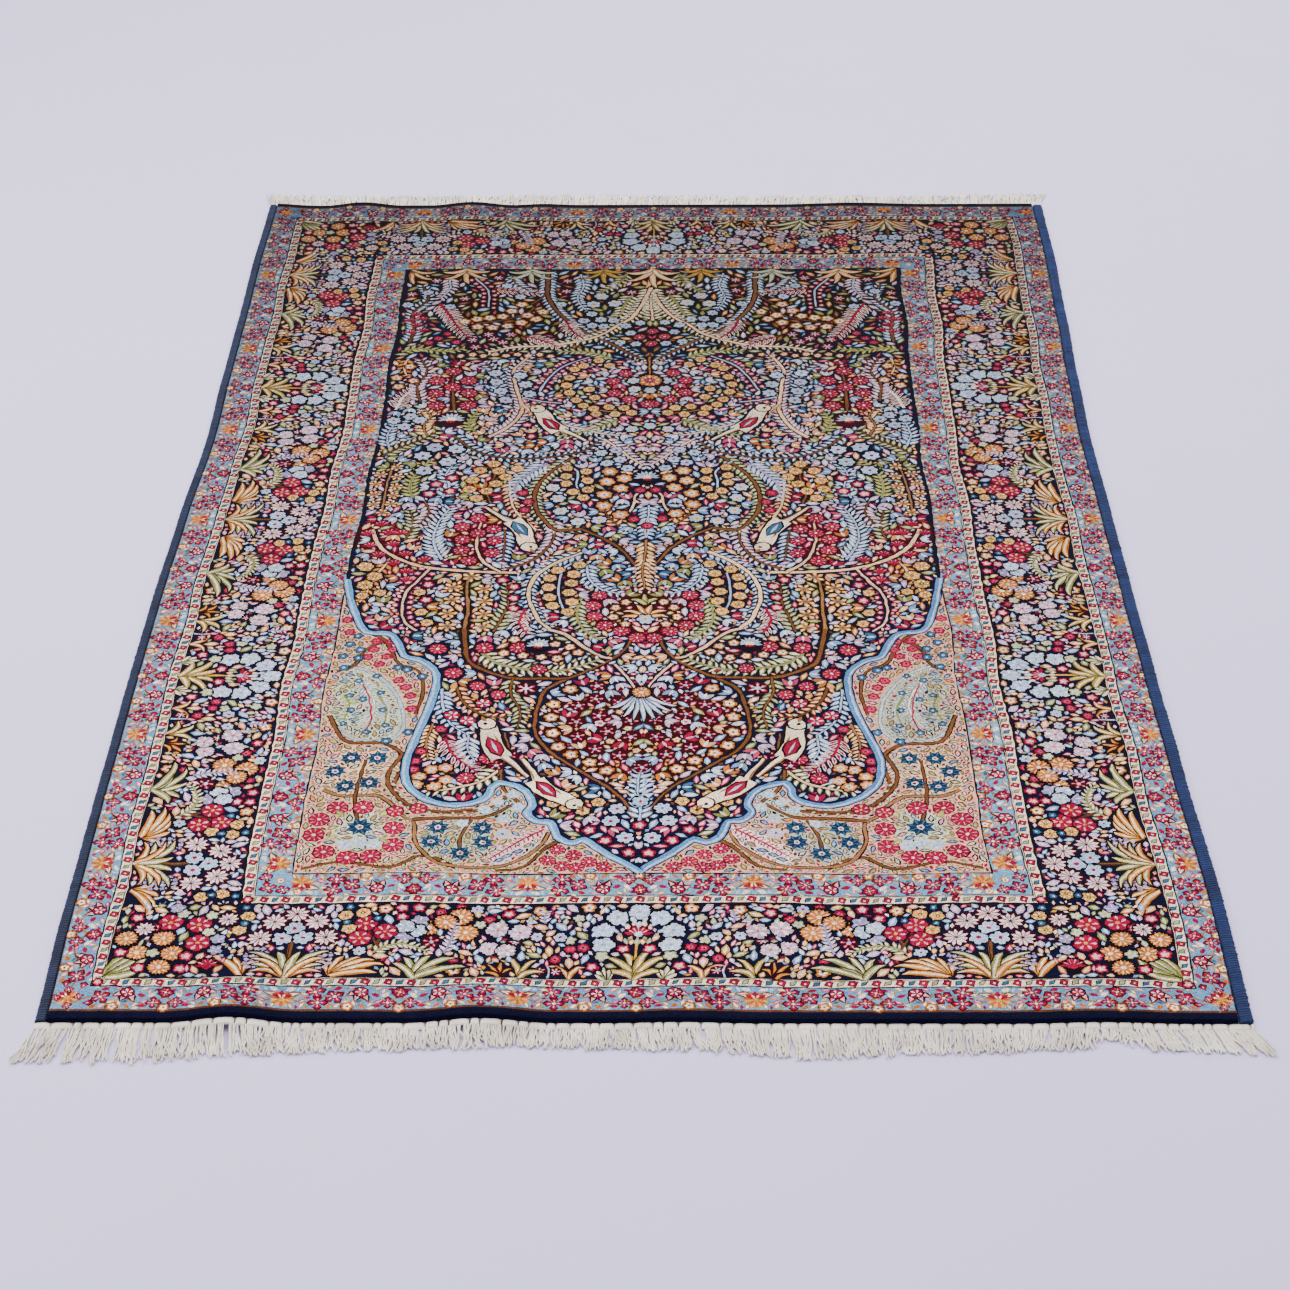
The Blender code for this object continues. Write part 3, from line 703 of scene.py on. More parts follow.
FIELD_STEMS: tuple[Item, ...] = (
    # lowest medallion
    Stem(((95, -412), (125, -440), (134, -470), (138, -505), (136, -545), (118, -580), (95, -605),
          (60, -640),
          (40, -660), (20, -690), (8, -725)), DARK, (7, 5)),
    Stem(((38, -380), (20, -410), (6, -442)), PALE, (6, 4)),
    Stem(((0, -730), (0, -700), (4, -660), (0, -610)), BLUE, (5, 3), ICE_PAIRS),
    # trunk and leaf garland over it
    Stem(((245, -290), (240, -330), (230, -375), (200, -400), (170, -413), (130, -414), (95, -412),
          (65, -390),
          (40, -365), (25, -340), (18, -308)), DARK, (9, 5)),
    Stem(((215, -352), (190, -378), (152, -392), (112, -396), (82, -384), (58, -368)), SOFT, (5, 3),
         CREAM_PAIRS),
    Stem(((140, -290), (110, -305), (80, -340), (55, -362), (42, -366)), PALE, (8, 6)),
    Stem(((245, -430), (232, -470), (205, -500), (175, -505)), DARK, (6, 3), PEACH_PAIRS),
    Stem(((262, -440), (258, -480), (246, -520), (222, -545)), BLUE, (5, 3), ICE_PAIRS),
    Stem(((170, -413), (172, -450), (158, -490), (160, -530)), DARK, (5, 3), MINT_PAIRS),
    # sprays inside the lower bulge
    Stem(((268, -520), (276, -560), (272, -600)), WARM, (4, 3), Foliage(Yarn.GOLD, Yarn.CREAM, 18, 6, 8)),
    Stem(((252, -552), (240, -590), (205, -632)), (Yarn.CRIMSON,), (4, 2), ROSE_FEATHER),
    Stem(((222, -545), (222, -580), (212, -606)), BLUE, (4, 2), ICE_FEATHER),
    Stem(((178, -620), (200, -646), (232, -662), (262, -668)), PALE, (6, 4), CREAM_PAIRS),
    Stem(((150, -690), (172, -662), (178, -620), (170, -580), (176, -540)), DARK, (6, 4)),
    # thistle branch and the branch that droops from it
    Stem(((395, -30), (378, -75), (356, -102), (330, -121), (300, -135), (260, -143), (215, -147),
          (178, -147)),
         PALE, (9, 8)),
    Stem(((300, -138), (315, -170), (330, -200), (333, -240), (326, -278), (308, -300)), PALE, (6, 4),
         Foliage(Yarn.CRIMSON, None, 0, 11, 14, offset=10, taper=0.1, bloom=Bloom.ROSE_SMALL)),
    Stem(((240, 0), (243, -50), (238, -90), (225, -122), (200, -147)), PALE, (4, 7)),
    Stem(((285, -112), (304, -62), (302, -10), (288, 30)), BLUE, (5, 3), ICE_FEATHER),
    Stem(((135, 0), (133, -50), (145, -90), (165, -120), (192, -137)), DARK, (4, 6), BLUSH_PAIRS),
    Stem(((345, -60), (338, -20), (345, 20)), DARK, (4, 3), MINT_PAIRS),
    Stem(((205, -30), (202, -70), (200, -110)), DARK, (4, 3), ICE_PAIRS),
    # gold tree
    Stem(((244, -158), (246, -200), (243, -245), (245, -292)), WARM, (5, 7)),
    Stem(((360, -120), (372, -150), (382, -190), (392, -225)), PALE, (5, 3), GOLD_PAIRS),
    Stem(((205, -300), (196, -262), (188, -225), (190, -180)), DARK, (5, 3), MINT_PAIRS),
    # second medallion from below
    Stem(((90, -92), (120, -114), (146, -146), (158, -182), (159, -220), (151, -252), (145, -272),
          (130, -292)),
         PALE, (8, 8), Foliage(Yarn.SKY, Yarn.ICE, 19, 7.5, 10.5)),
    Stem(((88, -110), (112, -132), (118, -180), (116, -225), (104, -262)), BLUE, (5, 4)),
    Stem(((95, -25), (60, -55), (35, -85), (14, -128)), DARK, (6, 6)),
    Stem(((0, -60), (0, -95), (4, -140), (0, -190)), WARM, (5, 3),
         Foliage(Yarn.GOLD, Yarn.CREAM, 22, 7, 11, slant=-42)),
    Stem(((82, -120), (78, -160), (60, -190), (34, -205)), BLUE, (5, 3), ICE_PAIRS),
    Stem(((165, -240), (172, -275), (160, -305)), (Yarn.CRIMSON,), (4, 3), STRIPED),
    Stem(((88, -215), (94, -260), (84, -295), (60, -322)), SOFT, (4, 3), MINT_PAIRS),
    # middle medallion
    Stem(((110, 185), (150, 130), (166, 80), (162, 30), (150, 0), (130, -30), (95, -26)), DARK, (7, 8),
         MINT_PAIRS),
    Stem(((205, 110), (200, 60), (190, 20), (160, -30)), PALE, (5, 6), PEACH_PAIRS),
    Stem(((300, 250), (270, 210), (232, 186), (182, 180), (132, 188), (96, 204), (78, 232)), DARK, (6, 5),
         Foliage(Yarn.SKY, Yarn.ICE, 17, 7.5, 11, slant=60)),
    Stem(((128, 168), (104, 140), (106, 100), (98, 58)), BLUE, (5, 4)),
    Stem(((70, 240), (46, 212), (28, 186), (5, 158)), PALE, (6, 5), BLUSH_PAIRS),
    Stem(((4, 100), (20, 66), (22, 40), (36, 2)), PALE, (5, 5)),
    Stem(((150, 165), (178, 132), (196, 95), (190, 62)), (Yarn.LAVENDER,), (4, 3), ICE_FEATHER),
    Stem(((345, 60), (350, 100), (342, 145), (325, 172)), SOFT, (4, 3), GREEN_PAIRS),
    Stem(((388, 10), (386, 60), (384, 110), (380, 165)), WARM, (5, 4)),
    Stem(((228, 45), (236, 80), (228, 130), (240, 165)), DARK, (4, 4)),
    Stem(((300, 60), (292, 95), (300, 130), (288, 172)), BLUE, (5, 3), ICE_PAIRS),
    Stem(((0, 40), (0, 10), (3, -25), (0, -55)), BLUE, (4, 3), ICE_PAIRS),
    Stem(((40, -20), (62, 20), (60, 55)), DARK, (4, 3), PEACH_PAIRS),
    Stem(((326, 50), (318, 20), (330, -15)), DARK, (4, 3), BLUSH_PAIRS),
    Stem(((402, 190), (378, 215), (350, 235), (326, 262)), DARK, (5, 4), MINT_PAIRS),
    # third medallion
    Stem(((245, 245), (220, 275), (205, 310), (200, 340), (205, 380), (212, 430), (214, 470), (190, 520)),
         PALE, (9, 7), BLUSH_PAIRS),
    Stem(((200, 350), (180, 320), (160, 298)), PALE, (6, 5), PEACH_PAIRS),
    Stem(((145, 292), (110, 275), (72, 256), (45, 250)), PALE, (7, 5), ICE_PAIRS),
    Stem(((308, 452), (310, 400), (306, 330)), DARK, (4, 7)),
    Stem(((396, 335), (388, 372), (372, 405)), (Yarn.IVORY,), (4, 3), STRIPED),
    Stem(((386, 505), (390, 475), (384, 448)), PALE, (5, 4), GOLD_PAIRS),
    Stem(((172, 395), (158, 440), (138, 480), (98, 512)), BLUE, (5, 4), BEADS),
    Stem(((196, 372), (168, 362), (138, 356)), BLUE, (5, 4), BEADS),
    Stem(((240, 370), (236, 410), (240, 450), (262, 490)), DARK, (4, 3), ICE_PAIRS),
    Stem(((50, 300), (72, 284), (104, 262), (138, 250)), SOFT, (4, 3), MINT_PAIRS),
    Stem(((0, 510), (0, 475), (0, 450)), WARM, (5, 4)),
    Stem(((118, 472), (136, 430), (126, 385), (96, 345), (62, 326), (20, 320)), WARM, (4, 4)),
    Stem(((340, 250), (348, 280), (340, 312), (352, 335)), WARM, (5, 4),
         Foliage(Yarn.GOLD, Yarn.CREAM, 20, 8, 10)),
    Stem(((268, 262), (280, 290), (270, 325)), SOFT, (4, 3), GREEN_PAIRS),
    Stem(((395, 215), (402, 250), (392, 300)), BLUE, (5, 3), ICE_PAIRS),
    Stem(((360, 360), (366, 410), (352, 460), (366, 505)), DARK, (5, 3), BLUSH_PAIRS),
    # upper branches
    Stem(((175, 833), (172, 780), (172, 740), (165, 700), (150, 660), (125, 620), (100, 590), (85, 578),
          (65, 560),
          (40, 530), (18, 508)), DARK, (10, 7), ICE_PAIRS),
    Stem(((175, 740), (184, 722), (200, 702)), DARK, (6, 4)),
    Stem(((195, 690), (206, 668), (238, 645), (290, 628)), DARK, (6, 4)),
    Stem(((0, 762), (14, 702), (34, 652), (60, 620), (80, 592), (110, 571), (160, 551), (218, 545),
          (262, 528)),
         PALE, (9, 8), CREAM_PAIRS),
    Stem(((0, 640), (0, 680), (0, 735)), PALE, (6, 4), CREAM_PAIRS),
    Stem(((30, 735), (44, 700), (52, 664), (72, 640)), SOFT, (4, 3), CREAM_PAIRS),
    Stem(((262, 760), (230, 752), (190, 744)), (Yarn.CRIMSON,), (4, 3), STRIPED),
    Stem(((350, 702), (332, 660), (318, 620), (298, 578)), (Yarn.CRIMSON,), (5, 3),
         Foliage(Yarn.IVORY, Yarn.CRIMSON, 30, 7, 10, slant=46)),
    Stem(((142, 642), (130, 605), (108, 572)), (Yarn.CRIMSON,), (4, 3), STRIPED),
    Stem(((204, 584), (180, 570), (148, 546)), (Yarn.CRIMSON,), (4, 3), STRIPED),
    Stem(((296, 798), (272, 752), (270, 690)), BLUE, (5, 4), BEADS),
    Stem(((392, 560), (388, 610), (392, 670), (370, 720), (382, 770)), DARK, (7, 5), ICE_PAIRS),
    Stem(((120, 815), (112, 770), (122, 722), (110, 680)), BLUE, (5, 3), ICE_PAIRS),
    Stem(((235, 812), (226, 780), (204, 752)), DARK, (4, 3), ICE_PAIRS),
    Stem(((340, 800), (336, 760), (350, 722)), BLUE, (5, 3), BLUSH_PAIRS),
    Stem(((44, 815), (54, 780), (84, 742)), SOFT, (4, 3), MINT_PAIRS),
    Stem(((400, 530), (370, 540), (335, 530), (300, 540)), SOFT, (5, 3), GREEN_PAIRS),
    Stem(((60, 505), (100, 530), (150, 530)), SOFT, (4, 3), MINT_PAIRS),
)

FIELD_FLOWERS: tuple[Item, ...] = (
    # lowest medallion
    Blooms(Bloom.GOLD_SMALL, 10, ((93, -440), (115, -475), (118, -505), (115, -540), (107, -570),
                                  (90, -587),
                                  (66, -604), (44, -622)), halo=Yarn.UMBER),
    Blooms(Bloom.CRIMSON_STAR, 10, ((83, -478), (57, -500), (86, -515), (46, -535), (83, -547), (60, -462),
                                    (16, -512),
                                    (16, -550), (60, -575), (30, -590), (30, -470), (0, -618), (58, -432)),
           halo=None),
    Tuft(0, -446, tuple((turn, 74 - abs(turn - 180) * 0.35, (turn - 180) * 0.12) for turn in range(140, 221,
                                                                                                   10)),
         (Yarn.SKY, Yarn.ICE), 7.5),
    Blooms(Bloom.GOLD_BURST, 13, ((0, -447),)),
    Blooms(Bloom.GOLD_SMALL, 6, ((30, -492), (20, -530), (42, -558), (8, -580))),
    Blooms(Bloom.SKY_FLOWER, 11, ((35, -730), (16, -765), (0, -690), (28, -705))),
    Blooms(Bloom.ROSE_SMALL, 9, ((40, -770), (60, -748), (12, -795), (0, -740))),
    Leaves(Yarn.ROSE, Yarn.BLUSH, ((72, -742, 30, 16), (52, -722, -20, 14), (34, -800, 40, 13))),
    Blooms(Bloom.CREAM_EYED, 9, ((90, -700), (108, -690), (70, -708), (86, -676), (52, -690))),
    Blooms(Bloom.CRIMSON_STAR, 10, ((185, -612), (128, -668), (150, -715), (168, -590))),
    # trunk and garland
    Blooms(Bloom.ROSETTE, 13, ((275, -345), (213, -340), (168, -338), (250, -402))),
    Blooms(Bloom.FAN, 17, ((142, -332),), turn=0),
    Blooms(Bloom.ROSETTE, 12, ((32, -300),)),
    Blooms(Bloom.GOLD_SMALL, 8, ((175, -318), (186, -352), (160, -358), (136, -362), (114, -366),
                                 (100, -338),
                                 (120, -330), (88, -352))),
    Blooms(Bloom.STAR_BLUSH, 14, ((152, -438),)),
    Blooms(Bloom.ROSETTE, 11, ((188, -452), (136, -392), (216, -432))),
    Blooms(Bloom.CUP, 11, ((245, -500), (225, -512), (206, -472)), turn=20),
    Leaves(Yarn.GOLD, Yarn.APRICOT, ((250, -440, -20, 18), (214, -462, 30, 16), (196, -480, 200, 15))),
    Leaves(Yarn.SKY, Yarn.ICE, ((235, -318, -30, 17), (258, -320, 40, 17), (66, -330, 20, 16),
                                (82, -310, 60, 16),
                                (50, -314, -20, 14), (35, -345, 160, 14), (226, -300, 10, 15),
                                (262, -372, 100, 15),
                                (192, -322, 60, 14), (10, -350, 10, 16), (6, -385, 0, 16))),
    # inside the lower bulge
    Blooms(Bloom.GOLD_ROUND, 10, ((265, -622), (279, -637), (245, -645), (281, -654), (258, -658),
                                  (248, -618))),
    Blooms(Bloom.ROSE_KNOT, 8, ((287, -603), (288, -622), (282, -582), (258, -532))),
    Blooms(Bloom.ROSETTE, 12, ((221, -640), (196, -598))),
    Leaves(Yarn.SKY, Yarn.POWDER, ((196, -560, 10, 17), (210, -530, 30, 16), (238, -640, 200, 15),
                                   (196, -680, 40, 14))),
    # thistles
    Blooms(Bloom.THISTLE, 11, ((400, -42), (370, -40), (391, -76), (360, -72), (376, -102), (338, -99),
                               (352, -124),
                               (310, -114), (332, -146), (331, -168), (384, -16), (352, -42)), turn=0,
           halo=None),
    Blooms(Bloom.ROSETTE, 12.5, ((245, 2), (267, -22), (221, -28), (263, -57), (217, -61), (261, -87),
                                 (217, -95),
                                 (247, -116), (243, -40)), halo=None),
    # gold tree
    Blooms(Bloom.GOLD_STAR, 14, ((240, -160), (266, -188), (222, -192), (266, -222), (221, -224),
                                 (270, -256),
                                 (221, -257), (268, -289), (221, -289)), halo=None),
    Blooms(Bloom.CREAM_EYED, 12, ((391, -132), (376, -157), (388, -180))),
    Blooms(Bloom.ROSE_SMALL, 9, ((180, -185), (181, -214), (181, -240), (196, -168), (300, -180),
                                 (302, -220))),
    Blooms(Bloom.CREAM_EYED, 9, ((306, -252), (296, -280), (312, -200), (390, -208), (400, -232),
                                 (366, -200))),
    # second medallion from below
    Blooms(Bloom.CREAM_EYED, 10, ((122, -139), (131, -160), (98, -150), (92, -125), (132, -184),
                                  (101, -173),
                                  (131, -210), (104, -198), (127, -232), (100, -223), (106, -249)),
           halo=Yarn.UMBER),
    Blooms(Bloom.ROSETTE, 12, ((62, -208), (71, -234), (70, -261), (56, -285), (34, -300), (12, -316)),
           halo=None),
    Tuft(0, -268, ((-32, 34, -6), (-62, 32, -5), (-10, 38, -2), (10, 38, 2), (32, 34, 6), (62, 32, 5)),
         (Yarn.AMBER, Yarn.GOLD, Yarn.CREAM), 10),
    Blooms(Bloom.SKY_GOLD, 12, ((0, -270),)),
    Tuft(0, -232, ((-30, 22, -4), (0, 28, 0), (30, 22, 4)), (Yarn.OLIVE, Yarn.LIME), 9),
    Blooms(Bloom.GOLD_SMALL, 8, ((40, -240), (44, -264), (28, -282), (26, -226))),
    # middle medallion
    Blooms(Bloom.GOLD_STAR, 11, ((375, 152), (396, 131), (371, 124), (401, 103), (371, 95), (402, 72),
                                 (373, 68),
                                 (401, 44), (375, 43), (386, 18)), halo=None),
    Blooms(Bloom.SKY_RING, 14, ((325, 212), (291, 206), (301, 168), (334, 141), (341, 186))),
    Blooms(Bloom.ROSE_SMALL, 10, ((290, 119), (290, 80), (312, 100), (320, 72))),
    Blooms(Bloom.CREAM_EYED, 10.5, ((231, 163), (250, 143), (194, 149), (259, 113), (211, 124), (224, 104),
                                    (262, 87),
                                    (237, 82), (250, 61), (222, 142)), halo=None),
    Blooms(Bloom.CREAM_EYED, 9.5, ((119, 150), (90, 140), (121, 126), (89, 113), (121, 104), (89, 86),
                                   (111, 80),
                                   (95, 63)), halo=Yarn.UMBER),
    Blooms(Bloom.SKY_FLOWER, 10, ((70, 196), (40, 176), (60, 165), (28, 150), (48, 205))),
    Blooms(Bloom.GOLD_ROUND, 12.5, ((55, 140), (60, 110), (65, 72), (65, 40), (40, 14), (34, 120),
                                    (40, 90))),
    Blooms(Bloom.SKY_GOLD, 11, ((126, 24), (100, -6), (70, 0), (132, 60), (140, 92))),
    Blooms(Bloom.FAN, 20, ((0, 122),)),
    Blooms(Bloom.ROSE_KNOT, 9, ((175, 50), (178, 27), (12, 84), (20, 0), (184, 76), (0, -20))),
    Leaves(Yarn.GOLD, Yarn.CREAM, ((0, 60, 0, 20), (14, 46, 40, 14), (20, 132, 60, 15), (218, 20, 20, 16))),
    # third medallion
    Blooms(Bloom.ROSETTE, 14, ((310, 461), (335, 429), (284, 429), (336, 387), (284, 387), (334, 346),
                               (285, 346),
                               (310, 408)), halo=None),
    Blooms(Bloom.SKY_RING, 12, ((243, 454), (204, 446), (240, 424), (194, 416), (233, 393), (188, 386),
                                (226, 364))),
    Blooms(Bloom.GOLD_SMALL, 10, ((396, 410), (372, 430), (400, 440), (380, 478))),
    Blooms(Bloom.SKY_FLOWER, 11, ((371, 312), (396, 300), (378, 280), (356, 300))),
    Blooms(Bloom.FAN, 21, ((308, 300),), halo=Yarn.MAROON),
    Blooms(Bloom.CREAM_EYED, 9.5, ((120, 470), (126, 441), (130, 416), (125, 391), (114, 366), (104, 348),
                                   (88, 338),
                                   (64, 342), (40, 338), (28, 322), (54, 318), (84, 320), (94, 402),
                                   (86, 374),
                                   (82, 500), (106, 482), (64, 482)), halo=Yarn.UMBER),
    Blooms(Bloom.ROSETTE, 12, ((38, 453), (57, 428), (55, 388), (32, 366), (4, 350)), halo=None),
    Blooms(Bloom.GOLD_BURST, 20, ((0, 428),)),
    Blooms(Bloom.ROSETTE, 9, ((0, 428),), halo=None),
    Leaves(Yarn.SKY, Yarn.ICE, ((35, 476, 20, 18), (18, 462, 0, 18), (24, 392, 150, 14), (52, 470, 60, 14),
                                (88, 440, 10, 15), (72, 410, 30, 14), (130, 330, 60, 16),
                                (160, 340, 100, 15))),
    Blooms(Bloom.SKY_GOLD, 10, ((0, 395), (24, 400), (26, 428), (0, 280), (28, 270))),
    Blooms(Bloom.ROSE_SMALL, 8, ((18, 300), (0, 310), (116, 300), (96, 308), (180, 250), (156, 262),
                                 (190, 285))),
    Leaves(Yarn.GOLD, Yarn.CREAM, ((0, 240, 0, 22), (12, 225, 40, 16), (20, 250, 60, 14))),
    # upper branches
    Blooms(Bloom.GOLD_SMALL, 11, ((215, 701), (231, 676), (180, 673), (245, 656), (266, 650), (286, 646),
                                  (306, 636),
                                  (213, 633), (190, 646), (235, 621), (259, 615), (284, 617), (205, 660)),
           halo=None),
    Blooms(Bloom.THISTLE, 11, ((386, 662), (396, 640), (384, 622), (374, 603), (392, 596), (378, 644)),
           halo=None),
    Blooms(Bloom.SKY_FLOWER, 10, ((112, 640), (98, 622), (85, 644), (64, 642), (80, 620), (44, 622))),
    Blooms(Bloom.SKY_GOLD, 12, ((82, 730), (60, 704), (96, 700))),
    Leaves(Yarn.LAVENDER, Yarn.BLUSH, ((60, 758, 10, 24), (40, 770, -20, 18), (76, 762, 30, 18))),
    Blooms(Bloom.STAR_BLUSH, 10, ((265, 590), (290, 570), (284, 545), (240, 562), (256, 574), (228, 590))),
    Blooms(Bloom.ROSE_KNOT, 8, ((316, 562), (346, 575), (332, 592), (360, 560))),
    Blooms(Bloom.GOLD_SMALL, 7, tuple((160 + 18 * step, 514 + (step % 2) * 5) for step in range(9))),
    Blooms(Bloom.SKY_FLOWER, 9, ((35, 596), (50, 562), (20, 632), (24, 556))),
    Blooms(Bloom.ROSETTE, 10, ((0, 556), (0, 600), (20, 580)), halo=Yarn.MAROON),
    Tuft(0, 833, ((180, 76, 3), (158, 62, -10), (202, 62, 10), (135, 44, -10)),
         (Yarn.GOLD, Yarn.PEACH, Yarn.CREAM), 12),
    Tuft(82, 833, ((180, 58, 2), (155, 50, -8), (205, 50, 8), (130, 36, -8), (230, 36, 8)),
         (Yarn.OLIVE, Yarn.GOLD), 10),
    Tuft(202, 833, ((180, 56, 2), (155, 50, -8), (205, 50, 8), (130, 38, -8), (230, 38, 8)),
         (Yarn.SAGE, Yarn.MINT), 10),
    Tuft(312, 833, ((180, 60, 2), (155, 52, -8), (205, 52, 8), (130, 38, -8), (230, 38, 8)),
         (Yarn.GOLD, Yarn.PEACH), 11),
    Tuft(404, 833, ((180, 58, 2), (205, 54, 8), (232, 40, 8)), (Yarn.AMBER, Yarn.GOLD, Yarn.CREAM), 11),
    Blooms(Bloom.STAR_BLUSH, 10, ((140, 790), (256, 800), (360, 790), (32, 745), (140, 750), (310, 720),
                                  (398, 740))),
    Blooms(Bloom.SKY_RING, 10, ((218, 730), (332, 690), (402, 700), (150, 700), (240, 770), (372, 745),
                                (100, 665))),
    Bird(158, 300, 32, 1.25),
    Bird(180, -38, 206, 1.25, wing=Yarn.TEAL),
    Bird(190, -560, 20, 1.25),
    Bird(110, -668, 222, 1.15, True),
)

# ------------------------------------------------------------------ corners of the field

SCALLOPS = ((414, -165), (405, -215), (392, -262), (376, -300), (345, -306), (330, -330), (319, -362),
            (300, -371),
            (283, -386), (272, -408), (271, -450), (278, -500), (292, -560), (299, -600), (296, -640),
            (284, -666),
            (262, -687), (235, -698), (208, -694), (190, -680), (187, -662), (180, -651), (175, -650),
            (155, -657),
            (140, -672), (133, -695), (138, -712), (125, -728), (108, -731), (102, -748), (95, -764),
            (80, -773),
            (66, -767), (52, -782), (35, -800), (15, -817), (-1, -833))

SPANDREL_GROUNDS: tuple[Item, ...] = (
    Patch(Yarn.CELADON, ((390, -385), (360, -400), (335, -428), (314, -470), (306, -520), (316, -550),
                         (342, -561),
                         (375, -552), (400, -520), (404, -450))),
    Patch(Yarn.MINT, ((316, -712), (350, -708), (374, -735), (366, -780), (335, -788), (310, -760))),
    Patch(Yarn.CELADON, ((180, -735), (230, -728), (262, -745), (262, -790), (222, -812), (186, -795))),
    Patch(Yarn.PEACH, ((320, -580), (395, -580), (400, -668), (350, -672), (322, -640))),
    Patch(Yarn.BLUSH, ((110, -738), (150, -758), (195, -808), (160, -817), (120, -782))),
    Patch(Yarn.CELADON, ((205, -704), (180, -694), (160, -655), (150, -668), (142, -700), (160, -730),
                         (190, -722))),
)

